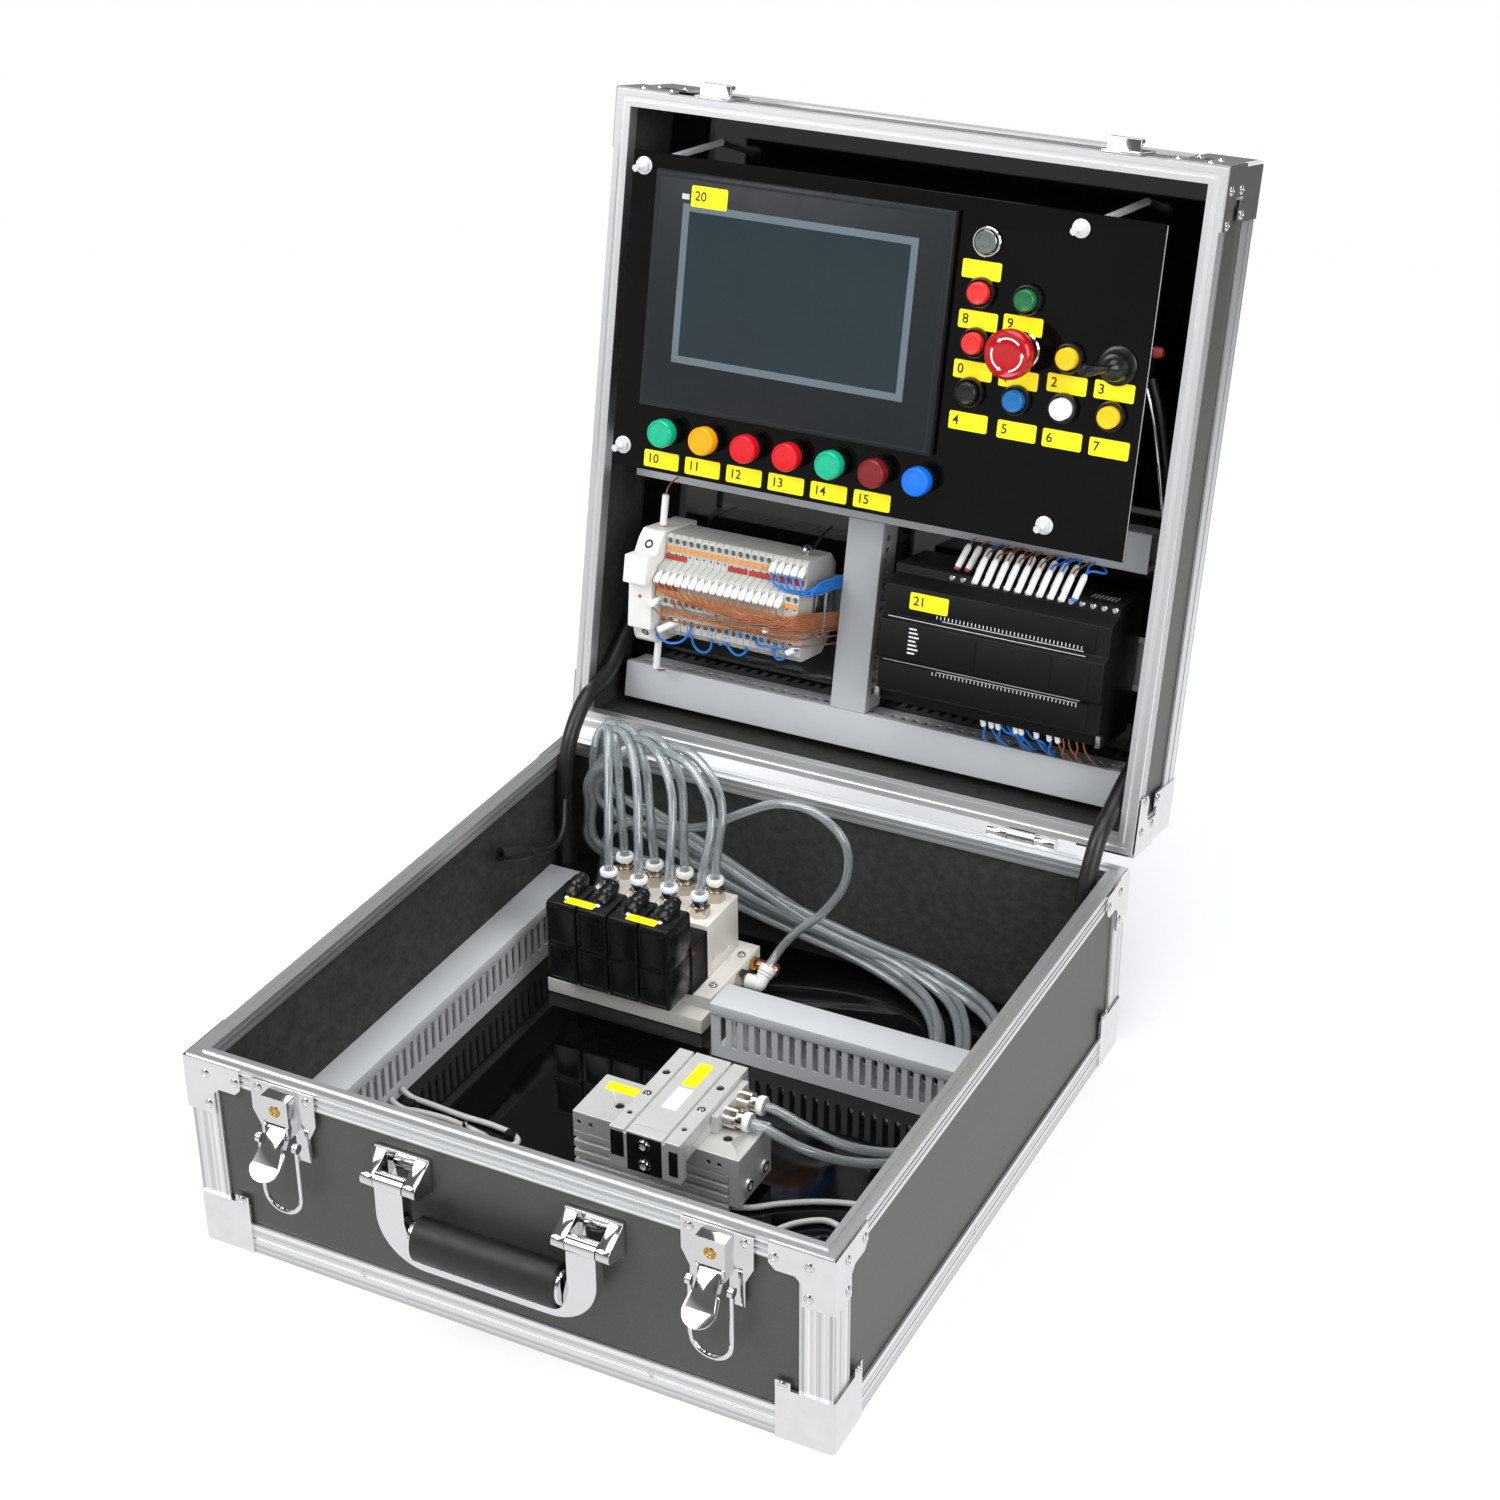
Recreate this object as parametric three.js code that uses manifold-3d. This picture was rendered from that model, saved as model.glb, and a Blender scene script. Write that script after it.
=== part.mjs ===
// A suitcase trainer for pneumatics and programmable control, opened on a table.
// Millimetres, +Z up, origin at the bottom centre of the case, its front face towards -Y.
// The lid is drawn closed, in a frame on its hinge line, and the group that holds it is turned open.
import * as THREE from "three";
import { mergeVertices } from "three/addons/utils/BufferGeometryUtils.js";
import Module from "manifold-3d";

const wasm = await Module();
wasm.setup();

// Driving dimensions
const gap = 0.3;
const overrun = 1;
const bite = 0.4;
const caseWidth = 400;
const caseDepth = 420;
const baseHeight = 129;
const lidHeight = 70;
const hingeBehind = 5;
const openAngle = THREE.MathUtils.degToRad(102);
const shellWall = 6;
const lidBackWall = 4;
const angleThickness = 1.5;
const angleLeg = 19.6;
const railHeight = 20;
const rimHeight = 13;
const rimWidth = 10;
const rimInset = 0.15;
const floorThickness = 2;
const tubeRadius = 3;

// Materials
const finish = (color, roughness, metalness) =>
  new THREE.MeshStandardMaterial({ color, roughness, metalness });
const aluminium = finish(0xd0d0d0, 0.35, 0.9);
const pebbledPlastic = finish(0x474947, 0.7, 0);
const chrome = finish(0xe4e4e4, 0.12, 1);
const blackAcrylic = finish(0x060708, 0.08, 0);
const blackPlastic = finish(0x151617, 0.45, 0);
const greyPlastic = finish(0xa5a7a9, 0.5, 0);
const terminalPlastic = finish(0xb9b9b4, 0.5, 0);
const whitePlastic = finish(0xe9e8e4, 0.4, 0);
const ivoryPaint = finish(0xd9d3c8, 0.5, 0.1);
const clearTube = finish(0xdfe4e6, 0.1, 0);
const greyCable = finish(0xb4b3ae, 0.5, 0);
const blackCable = finish(0x17181a, 0.5, 0);
const rubber = finish(0x1d1f1f, 0.8, 0);
const capColour = {
  metal: finish(0xc9c9c4, 0.25, 1),
  red: finish(0xe0312c, 0.35, 0),
  green: finish(0x16693c, 0.35, 0),
  yellow: finish(0xf2bd0e, 0.35, 0),
  blue: finish(0x0d6cb0, 0.35, 0),
  white: finish(0xf2f2f2, 0.35, 0),
  black: finish(0x161718, 0.35, 0),
};

// A closed three.js geometry as a solid that can be cut and joined
function solid(geometry) {
  const flat = geometry.index ? geometry.toNonIndexed() : geometry.clone();
  const bare = new THREE.BufferGeometry().setAttribute("position", flat.getAttribute("position"));
  const mergeDistance = 1e-4;
  const merged = mergeVertices(bare, mergeDistance);
  const mesh = new wasm.Mesh({
    numProp: 3,
    vertProperties: new Float32Array(merged.attributes.position.array),
    triVerts: new Uint32Array(merged.index.array),
  });
  return new wasm.Manifold(mesh);
}

function geometryOf(body) {
  const mesh = body.getMesh();
  const geometry = new THREE.BufferGeometry();
  geometry.setAttribute("position", new THREE.BufferAttribute(new Float32Array(mesh.vertProperties), 3));
  geometry.setIndex(new THREE.BufferAttribute(new Uint32Array(mesh.triVerts), 1));
  const faceted = geometry.toNonIndexed();
  faceted.computeVertexNormals();
  return faceted;
}

const join = (...bodies) => bodies.flat().reduce((sum, body) => sum.add(body));
const cut = (body, ...tools) => tools.flat().reduce((rest, tool) => rest.subtract(tool), body);

// The outer skin alone, so that no pocket stays sealed where pieces cross
const filled = (body) =>
  body.decompose().reduce((most, part) => (part.volume() > most.volume() ? part : most));

// A block between two values on each axis, given in any order
function block(x, y, z) {
  const size = [x, y, z].map(([from, to]) => Math.abs(to - from));
  const middle = [x, y, z].map(([from, to]) => (from + to) / 2);
  return solid(new THREE.BoxGeometry(...size).translate(...middle));
}

// An outline extruded along an axis: its points are (y, z) for x, (x, z) for y and (x, y) for z
function prism(points, axis, span) {
  const shape = new THREE.Shape(points.map(([u, v]) => new THREE.Vector2(u, v)));
  const from = Math.min(...span);
  const depth = Math.max(...span) - from;
  const geometry = new THREE.ExtrudeGeometry(shape, { depth, bevelEnabled: false });
  if (axis === "x") {
    const alongX = new THREE.Matrix4().set(0, 0, 1, from, 1, 0, 0, 0, 0, 1, 0, 0, 0, 0, 0, 1);
    geometry.applyMatrix4(alongX);
  }
  if (axis === "y") {
    geometry.rotateX(Math.PI / 2);
    geometry.translate(0, from + depth, 0);
  }
  if (axis === "z") {
    geometry.translate(0, 0, from);
  }
  return solid(geometry);
}

// A turned piece: its profile is a list of (radius, height) that starts and ends on the axis
function turned(profile, sides, axis, at) {
  const points = profile.map(([radius, height]) => new THREE.Vector2(radius, height));
  const geometry = new THREE.LatheGeometry(points, sides);
  aim(geometry, axis);
  geometry.translate(...at);
  return solid(geometry);
}

// Turns a geometry that stands along +Y to stand along another axis
function aim(geometry, axis) {
  const direction = new THREE.Vector3(...axis).normalize();
  const turn = new THREE.Quaternion().setFromUnitVectors(new THREE.Vector3(0, 1, 0), direction);
  geometry.applyQuaternion(turn);
}

// A round or many-sided bar between two points
function bar(radius, from, to, sides) {
  const start = new THREE.Vector3(...from);
  const run = new THREE.Vector3(...to).sub(start);
  const length = run.length();
  return turned([[0, 0], [radius, 0], [radius, length], [0, length]], sides, run.toArray(), from);
}

// A round section carried along a smooth curve through the points
function tube(points, radius, sides, stepLength) {
  const knots = points.map((point) => new THREE.Vector3(...point));
  const curve = new THREE.CatmullRomCurve3(knots, false, "centripetal");
  const corners = Array.from({ length: sides }, (_, i) => {
    const turn = (i / sides) * 2 * Math.PI;
    return new THREE.Vector2(radius * Math.cos(turn), radius * Math.sin(turn));
  });
  const steps = Math.ceil(curve.getLength() / stepLength);
  const section = new THREE.Shape(corners);
  return solid(new THREE.ExtrudeGeometry(section, { steps, bevelEnabled: false, extrudePath: curve }));
}

// Points on a round stretch of an outline
function arc([u, v], radius, fromDegrees, toDegrees, steps) {
  return Array.from({ length: steps + 1 }, (_, i) => {
    const turn = THREE.MathUtils.degToRad(fromDegrees + ((toDegrees - fromDegrees) * i) / steps);
    return [u + radius * Math.cos(turn), v + radius * Math.sin(turn)];
  });
}

const around = (middle, size) => [middle - size / 2, middle + size / 2];
const total = (lengths) => lengths.reduce((sum, length) => sum + length, 0);

// The share of their own width that gaps keep when the room they lie in changes
const spreadOf = (room, pieces, gaps) => (room - total(pieces)) / total(gaps);

// Side counts of small round and six-sided forms
const hexSides = 6;
const thinSides = 8;
const roundSides = 10;
const wideSides = 14;

const model = new THREE.Group();
const lid = new THREE.Group();
lid.position.set(0, caseDepth / 2 + hingeBehind, baseHeight);
lid.rotation.x = -openAngle;
model.add(lid);

function addPiece(group, name, body, material) {
  const mesh = new THREE.Mesh(geometryOf(body), material);
  mesh.name = name;
  group.add(mesh);
}

// The case. Base and lid share their forms: t counts from the meeting plane into either half.
const baseHalf = { middleY: 0, height: baseHeight, z: (t) => baseHeight - t, backWall: shellWall };
const lidHalf = {
  middleY: -hingeBehind - caseDepth / 2,
  height: lidHeight,
  z: (t) => t,
  backWall: lidBackWall,
};
const shellOut = angleThickness + gap;
const innerX = caseWidth / 2 - shellOut - shellWall;
const innerY = caseDepth / 2 - shellOut - shellWall;

// A block reaching the same distance inside all four outer faces
function ringBlock(half, inset, tFrom, tTo) {
  const x = caseWidth / 2 - inset;
  const y = caseDepth / 2 - inset;
  return block([-x, x], [half.middleY - y, half.middleY + y], [half.z(tFrom), half.z(tTo)]);
}

function shell(half) {
  const top = rimInset + rimWeb + gap;
  const outside = ringBlock(half, shellOut, top, half.height - shellOut);
  const inside = ringBlock(half, shellOut + shellWall, top - overrun, half.height - shellOut - half.backWall);
  return cut(outside, inside);
}

// The rim is an extrusion that straddles the wall, with a sealing groove and two face grooves
const rimWeb = 3;
const rimSkirt = 1.5;
const rimLip = 1.8;
const rimLipHeight = 10;
const rimGroove = { depth: 0.5, height: 1.2, firstShare: 0.3, secondShare: 0.62 };
const seal = { width: 3, depth: 1.4 };

function rim(half) {
  const outside = ringBlock(half, 0, rimInset, rimHeight);
  const opening = ringBlock(half, rimWidth, -overrun, rimHeight + overrun);
  const slot = cut(
    ringBlock(half, rimSkirt, rimInset + rimWeb, rimHeight + overrun),
    ringBlock(half, rimWidth - rimLip, rimInset + rimWeb - overrun, rimHeight + 2 * overrun),
  );
  const underLip = cut(
    ringBlock(half, rimWidth - rimLip - bite, rimLipHeight, rimHeight + overrun),
    ringBlock(half, rimWidth + overrun, rimLipHeight - overrun, rimHeight + 2 * overrun),
  );
  const sealInset = (rimWidth - seal.width) / 2;
  const sealGroove = cut(
    ringBlock(half, sealInset, -overrun, rimInset + seal.depth),
    ringBlock(half, sealInset + seal.width, -2 * overrun, rimInset + seal.depth + overrun),
  );
  const faceGrooves = [rimGroove.firstShare, rimGroove.secondShare].map((share) => {
    const t = rimHeight * share;
    return cut(
      ringBlock(half, -overrun, t, t + rimGroove.height),
      ringBlock(half, rimGroove.depth, t - overrun, t + rimGroove.height + overrun),
    );
  });
  return join(cut(outside, opening, slot, underLip, sealGroove, faceGrooves), cornerPlates(half));
}

// Stepped plates that wrap the four corners at the rim
const cornerPlate = {
  thickness: 1.2,
  length: 38,
  top: 1,
  bandHeight: 18,
  legWidth: 19,
  legHeight: 36,
  neck: 4,
};

function cornerPlates(half) {
  const { thickness, length, top, bandHeight, legWidth, legHeight, neck } = cornerPlate;
  const out = gap + thickness;
  const outline = (sign, edge) => {
    const u = (inward) => sign * (edge + out - inward);
    return [
      [u(0), half.z(top)],
      [u(length), half.z(top)],
      [u(length), half.z(bandHeight - neck)],
      [u(length - neck), half.z(bandHeight)],
      [u(legWidth + neck), half.z(bandHeight)],
      [u(legWidth), half.z(bandHeight + neck)],
      [u(legWidth), half.z(legHeight)],
      [u(0), half.z(legHeight)],
    ];
  };
  const seatTop = top;
  const seatBottom = rimHeight * rimGroove.firstShare - gap;
  const pieces = [];
  for (const sx of [-1, 1]) {
    for (const sy of [-1, 1]) {
      const faceY = (inward) => half.middleY + sy * (caseDepth / 2 - inward);
      const faceX = (inward) => sx * (caseWidth / 2 - inward);
      const front = prism(outline(sx, caseWidth / 2), "y", [faceY(-out), faceY(-gap)]);
      const sidePoints = outline(sy, caseDepth / 2).map(([u, v]) => [half.middleY + u, v]);
      const side = prism(sidePoints, "x", [faceX(-out), faceX(-gap)]);
      const seatX = block([faceX(0), faceX(length - out)], [faceY(bite), faceY(-gap - bite)],
        [half.z(seatTop), half.z(seatBottom)]);
      const seatY = block([faceX(bite), faceX(-gap - bite)], [faceY(0), faceY(length - out)],
        [half.z(seatTop), half.z(seatBottom)]);
      pieces.push(front, side, seatX, seatY);
    }
  }
  return join(pieces);
}

// Angle extrusions along the far edges and up the corners, with a pressed cap on each far corner
const cap = {
  reach: 33,
  height: 34,
  thickness: 1.2,
  cornerRadius: 3,
  earWidth: 9,
  earHeight: 5,
  arcSteps: 4,
};
const railGroove = { depth: 0.5, width: 1.4, share: 0.55 };

function edgeFrame(half) {
  const top = rimHeight + gap;
  const bottom = half.height;
  const outside = ringBlock(half, 0, top, bottom);
  const inside = ringBlock(half, angleThickness, top - overrun, bottom - angleThickness);
  const y = (inset) => [half.middleY - caseDepth / 2 + inset, half.middleY + caseDepth / 2 - inset];
  const x = (inset) => [-caseWidth / 2 + inset, caseWidth / 2 - inset];
  const sideZ = [half.z(top - overrun), half.z(bottom - railHeight)];
  const frontWindow = block(x(angleLeg), y(-overrun), sideZ);
  const sideWindow = block(x(-overrun), y(angleLeg), sideZ);
  const farWindow = block(x(railHeight), y(railHeight),
    [half.z(bottom - 2 * angleThickness), half.z(bottom + overrun)]);
  const grooveT = bottom - railHeight * railGroove.share;
  const groove = cut(
    ringBlock(half, -overrun, grooveT, grooveT + railGroove.width),
    ringBlock(half, railGroove.depth, grooveT - overrun, grooveT + railGroove.width + overrun),
  );
  return join(cut(outside, inside, frontWindow, sideWindow, farWindow, groove), cornerCaps(half));
}

function cornerCaps(half) {
  const { reach, height, thickness, cornerRadius, earWidth, earHeight, arcSteps } = cap;
  const pieces = [];
  for (const sx of [-1, 1]) {
    for (const sy of [-1, 1]) {
      const place = ([u, v]) => [sx * (caseWidth / 2 + u), half.middleY + sy * (caseDepth / 2 + v)];
      const round = arc([thickness - cornerRadius, thickness - cornerRadius], cornerRadius, 90, 0, arcSteps);
      const section = [
        [-reach, thickness],
        ...round,
        [thickness, -reach],
        [-bite, -reach],
        [-bite, -bite],
        [-reach, -bite],
      ];
      pieces.push(prism(section.map(place), "z", [half.z(half.height), half.z(half.height - height)]));
      const earZ = [half.z(half.height - height - earHeight), half.z(half.height - height + bite)];
      const ear = (u, v) => [sx * (caseWidth / 2 + u), half.middleY + sy * (caseDepth / 2 + v)];
      const [frontX, frontY] = ear(-reach + earWidth, thickness);
      const [backX, backY] = ear(-reach, gap);
      const [sideX, sideY] = ear(thickness, -reach + earWidth);
      const [innerSideX, innerSideY] = ear(gap, -reach);
      pieces.push(block([backX, frontX], [backY, frontY], earZ));
      pieces.push(block([innerSideX, sideX], [innerSideY, sideY], earZ));
    }
  }
  return join(pieces);
}

// Two hinges on the back, each a leaf on either half round one pin
const hinge = {
  fromSide: 72,
  width: 46,
  leafHeight: 20,
  leafThickness: 1.5,
  knuckleRadius: 4,
  pinRadius: 1.5,
  knuckleShare: 0.3,
  sides: 12,
  pinSides: 8,
};
const hingeY = caseDepth / 2 + hingeBehind;
const hingeX = caseWidth / 2 - hinge.fromSide;

function hingeKnuckle(fromX, toX, y, z) {
  return bar(hinge.knuckleRadius, [fromX, y, z], [toX, y, z], hinge.sides);
}

function caseLeaf(centreX) {
  const half = hinge.width / 2;
  const knuckle = hinge.width * hinge.knuckleShare;
  const leafY = caseDepth / 2 + gap;
  const leaf = block([centreX - half, centreX + half], [leafY, leafY + hinge.leafThickness],
    [baseHeight - rimInset - hinge.leafHeight, baseHeight - gap]);
  const relief = block([centreX - half + knuckle, centreX + half - knuckle], [leafY - overrun, hingeY],
    [baseHeight - hinge.knuckleRadius - gap, baseHeight + overrun]);
  const knuckles = [
    hingeKnuckle(centreX - half, centreX - half + knuckle, hingeY, baseHeight),
    hingeKnuckle(centreX + half - knuckle, centreX + half, hingeY, baseHeight),
  ];
  const pin = bar(hinge.pinRadius, [centreX - half + bite, hingeY, baseHeight],
    [centreX + half - bite, hingeY, baseHeight], hinge.pinSides);
  return join(cut(leaf, relief), knuckles, pin);
}

// The lid's leaf is part of its rim and turns on the pin with running clearance
function lidLeaf(centreX) {
  const middle = hinge.width / 2 - hinge.width * hinge.knuckleShare - gap;
  const leafBack = -hingeBehind + gap + hinge.leafThickness;
  const leaf = block([centreX - hinge.width / 2, centreX + hinge.width / 2], [-hingeBehind - bite, leafBack],
    [hinge.knuckleRadius + gap, hinge.leafHeight]);
  const tongue = block([centreX - middle, centreX + middle], [-hingeBehind + gap, leafBack],
    [0, hinge.leafHeight]);
  const knuckle = hingeKnuckle(centreX - middle, centreX + middle, 0, 0);
  const boreHalf = middle + overrun;
  const bore = bar(hinge.pinRadius + gap, [centreX - boreHalf, 0, 0], [centreX + boreHalf, 0, 0],
    hinge.pinSides);
  return cut(join(leaf, tongue, knuckle), bore);
}

addPiece(model, "base_shell", shell(baseHalf), pebbledPlastic);
addPiece(model, "base_rim", rim(baseHalf), aluminium);
addPiece(model, "base_edge_frame", edgeFrame(baseHalf), aluminium);
addPiece(model, "hinge_leaf_left", caseLeaf(-hingeX), chrome);
addPiece(model, "hinge_leaf_right", caseLeaf(hingeX), chrome);
addPiece(lid, "lid_shell", shell(lidHalf), pebbledPlastic);
addPiece(lid, "lid_rim", join(rim(lidHalf), lidLeaf(-hingeX), lidLeaf(hingeX)), aluminium);
addPiece(lid, "lid_edge_frame", edgeFrame(lidHalf), aluminium);

// Inside surfaces of the base
const insideFloor = shellOut + shellWall;
const floorBottom = insideFloor + gap;
const floorTop = floorBottom + floorThickness;
const seat = floorTop + gap;
const floorPlate = block(
  [-innerX + gap, innerX - gap],
  [-innerY + gap, innerY - gap],
  [floorBottom, floorTop],
);
addPiece(model, "floor_plate", floorPlate, blackAcrylic);

// Slotted wiring duct: a punched channel with its cover pressed on.
// It lies along +X from its start, stands along +Z, and its slots are in the walls asked for.
const duct = {
  width: 25,
  wall: 1.4,
  coverWall: 1.2,
  coverSkirt: 8,
  slotBelowCover: 0.8,
  slotPitch: 8,
  slotWidth: 4,
  slotFoot: 9,
};

function slottedDuct(length, height, slottedWalls) {
  const { width, wall, coverWall, coverSkirt, slotBelowCover, slotPitch, slotWidth, slotFoot } = duct;
  const wallTop = height - coverWall + bite;
  const wallOut = width / 2 - coverWall;
  const count = Math.floor((length - slotPitch) / slotPitch);
  const margin = (length - (count - 1) * slotPitch) / 2;
  const slotTop = height - coverSkirt - slotBelowCover;
  const walls = [-1, 1].map((side) => {
    const plain = block([0, length], [side * wallOut, side * (wallOut - wall)], [0, wallTop]);
    if (!slottedWalls.includes(side)) {
      return plain;
    }
    const slots = Array.from({ length: count }, (_, i) =>
      block(around(margin + i * slotPitch, slotWidth),
        [side * (wallOut + overrun), side * (wallOut - wall - overrun)],
        [slotFoot, slotTop]));
    return cut(plain, slots);
  });
  const floor = block([0, length], [-wallOut + bite, wallOut - bite], [0, wall]);
  const cover = block([0, length], around(0, width), [height - coverSkirt, height]);
  const coverInside = block([-overrun, length + overrun], [-wallOut + bite, wallOut - bite],
    [height - coverSkirt - overrun, height - coverWall]);
  return join(floor, walls, cut(cover, coverInside));
}

function placed(body, matrix) {
  return solid(geometryOf(body).applyMatrix4(matrix));
}

const ductHeight = 40;
const backBay = 35.2;
const valvePitch = 22.3;
const valveCount = 4;
const valveFromWall = 69;
const manifoldRun = 23.3;
const firstValveX = -innerX + valveFromWall;
const manifold = {
  rightX: firstValveX + (valveCount - 1) * valvePitch + manifoldRun,
  endMargin: 12,
  length: 83,
  backY: innerY - backBay,
  height: 19.2,
  stepDepth: 13,
  stepHeight: 9,
};
const leftDuct = { centreX: -innerX + gap + duct.width / 2, backY: manifold.backY };

// Distances forwards from the manifold's back
const forwards = {
  bodyBack: 7,
  silencer: 12,
  rearRow: 18,
  elbow: 31,
  frontRow: 39,
  bodyFront: 50,
  hoodBack: 70,
  pilotFront: 72,
  crossDuct: 88.5,
  hood: 89,
  coilFront: 101,
};
const crossDuctGap = 16;
const crossDuct = { fromX: manifold.rightX + crossDuctGap, centreY: manifold.backY - forwards.crossDuct };
const leftDuctLength = leftDuct.backY + innerY - 2 * gap;
const quarterTurn = new THREE.Matrix4().makeRotationZ(Math.PI / 2);
addPiece(model, "base_duct_left", placed(
  slottedDuct(leftDuctLength, ductHeight - gap, [-1]),
  quarterTurn.clone().premultiply(new THREE.Matrix4().makeTranslation(leftDuct.centreX, -innerY + gap, seat)),
), greyPlastic);
addPiece(model, "base_duct_cross", placed(
  slottedDuct(innerX - gap - crossDuct.fromX, ductHeight - gap, [-1]),
  new THREE.Matrix4().makeTranslation(crossDuct.fromX, crossDuct.centreY, seat),
), greyPlastic);

// The valve manifold on the floor, with its supply elbow and its silencer screwed into the right end
const manifoldFrontY = manifold.backY - manifold.length;
const manifoldLeftX = firstValveX - valvePitch / 2 - manifold.endMargin;
const manifoldTop = seat + manifold.height;
const elbow = {
  y: manifold.backY - forwards.elbow,
  height: 12,
  hexRadius: 6.6,
  hexLength: 6,
  bodyRadius: 4.6,
  reach: 15,
  rise: 9,
  run: 9,
  ring: 5.6,
};
const silencer = {
  y: manifold.backY - forwards.silencer,
  height: 12,
  hexRadius: 5.4,
  hexLength: 5,
  bodyRadius: 5,
  length: 16,
  tip: 2,
};

function elbowFitting() {
  const z = seat + elbow.height;
  const hexEnd = manifold.rightX + elbow.hexLength;
  const turnX = manifold.rightX + elbow.reach;
  const end = [turnX + elbow.ring / 2, elbow.y + elbow.run, z + elbow.rise];
  const ringFoot = [turnX + elbow.ring / 4, elbow.y + elbow.run / 2, z + elbow.rise / 2];
  return join(
    bar(elbow.hexRadius, [manifold.rightX - bite, elbow.y, z], [hexEnd, elbow.y, z], hexSides),
    bar(elbow.bodyRadius, [hexEnd - bite, elbow.y, z], [turnX + elbow.bodyRadius / 2, elbow.y, z],
      roundSides),
    bar(elbow.bodyRadius, [turnX, elbow.y, z], end, roundSides),
    bar(elbow.ring, ringFoot, end, roundSides),
  );
}
const elbowMouth = [
  manifold.rightX + elbow.reach + elbow.ring / 2,
  elbow.y + elbow.run,
  seat + elbow.height + elbow.rise,
];

function silencerPlug() {
  const z = seat + silencer.height;
  const hexEnd = manifold.rightX + silencer.hexLength;
  const end = hexEnd + silencer.length;
  return join(
    bar(silencer.hexRadius, [manifold.rightX - bite, silencer.y, z], [hexEnd, silencer.y, z], hexSides),
    bar(silencer.bodyRadius, [hexEnd - bite, silencer.y, z], [end - silencer.tip, silencer.y, z],
      roundSides),
    bar(silencer.bodyRadius - silencer.tip, [end - silencer.tip - bite, silencer.y, z], [end, silencer.y, z],
      roundSides),
  );
}

const manifoldBlock = cut(
  block([manifoldLeftX, manifold.rightX], [manifoldFrontY, manifold.backY], [seat, manifoldTop]),
  block(
    [manifoldLeftX - overrun, manifold.rightX + overrun],
    [manifoldFrontY - overrun, manifoldFrontY + manifold.stepDepth],
    [manifoldTop - manifold.stepHeight, manifoldTop + overrun],
  ),
);
addPiece(model, "valve_manifold", join(manifoldBlock, elbowFitting(), silencerPlug()), ivoryPaint);

// One valve: ivory body with two push-in fittings, black pilot block, coil with its cable hood
const valve = {
  width: 21.9,
  bodyFrontY: manifold.backY - forwards.bodyFront,
  bodyBackY: manifold.backY - forwards.bodyBack,
  bodyTop: 69,
  pilotFrontY: manifold.backY - forwards.pilotFront,
  pilotTop: 66,
  coilFrontY: manifold.backY - forwards.coilFront,
  coilBottom: 35,
  coilTop: 93,
  coilWidth: 21,
  seamHeight: 62,
  seamDepth: 0.8,
  chamfer: 1.5,
};
const hood = {
  radius: 5.6,
  y: manifold.backY - forwards.hood,
  backY: manifold.backY - forwards.hoodBack,
  z: 92,
  backZ: 97,
};
const fitting = {
  rows: [manifold.backY - forwards.frontRow, manifold.backY - forwards.rearRow],
  hexRadius: 6.4,
  hexHeight: 8,
  collarRadius: 5,
  collarHeight: 4.5,
  ringRadius: 5.8,
  ringHeight: 4,
};
const fittingTop = valve.bodyTop + fitting.hexHeight + fitting.collarHeight + fitting.ringHeight;

function pushInFitting(at, direction) {
  const axis = new THREE.Vector3(...direction);
  const along = (distance) => new THREE.Vector3(...at).addScaledVector(axis, distance).toArray();
  const { hexRadius, hexHeight, collarRadius, collarHeight, ringRadius, ringHeight } = fitting;
  const collarTop = hexHeight + collarHeight;
  return join(
    bar(hexRadius, along(-bite), along(hexHeight), hexSides),
    bar(collarRadius, along(hexHeight - bite), along(collarTop), thinSides),
    bar(ringRadius, along(collarTop - bite), along(collarTop + ringHeight), thinSides),
  );
}

function valveUnit(x) {
  const top = valve.bodyTop;
  const c = valve.chamfer;
  const bottom = manifoldTop + gap;
  const section = [
    [valve.bodyFrontY, bottom],
    [valve.bodyBackY, bottom],
    [valve.bodyBackY, top - c],
    [valve.bodyBackY - c, top],
    [valve.bodyFrontY, top],
  ];
  const body = prism(section, "x", around(x, valve.width));
  const pilot = block(around(x, valve.width), [valve.pilotFrontY, valve.bodyFrontY + bite],
    [bottom, valve.pilotTop]);
  const coilSection = [
    [valve.coilFrontY, valve.coilBottom],
    [valve.pilotFrontY + bite, valve.coilBottom],
    [valve.pilotFrontY + bite, valve.coilTop],
    [valve.coilFrontY, valve.coilTop],
    [valve.coilFrontY, valve.seamHeight + valve.seamDepth],
    [valve.coilFrontY + valve.seamDepth, valve.seamHeight],
    [valve.coilFrontY, valve.seamHeight - valve.seamDepth],
  ];
  const coil = prism(coilSection, "x", around(x, valve.coilWidth));
  const cableHood = bar(hood.radius, [x, hood.y, hood.z], [x, hood.backY, hood.backZ], thinSides);
  const fittings = fitting.rows.map((y) => pushInFitting([x, y, top], [0, 0, 1]));
  return join(body, pilot, coil, cableHood, fittings);
}
const valveX = Array.from({ length: valveCount }, (_, i) => firstValveX + i * valvePitch);
valveX.forEach((x, i) => addPiece(model, `solenoid_valve_${i + 1}`, valveUnit(x), ivoryPaint));

// Two crossed slide cylinders. The lower one moves along X and carries the upper one, which moves along Y.
const lower = {
  leftX: -37,
  rightX: 66,
  frontY: -69,
  backY: -28,
  bodyTop: 36,
  tableTop: 50,
  endPlate: 7,
  endPlateFoot: 16,
  railWidth: 14,
  railHeight: 5,
  slotDepth: 3,
  slotWidth: 2.6,
  slotShares: [0.22, 0.5, 0.78],
  screwRadius: 4.2,
  screwProud: 1.6,
  screwSpread: 20,
};

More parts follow.
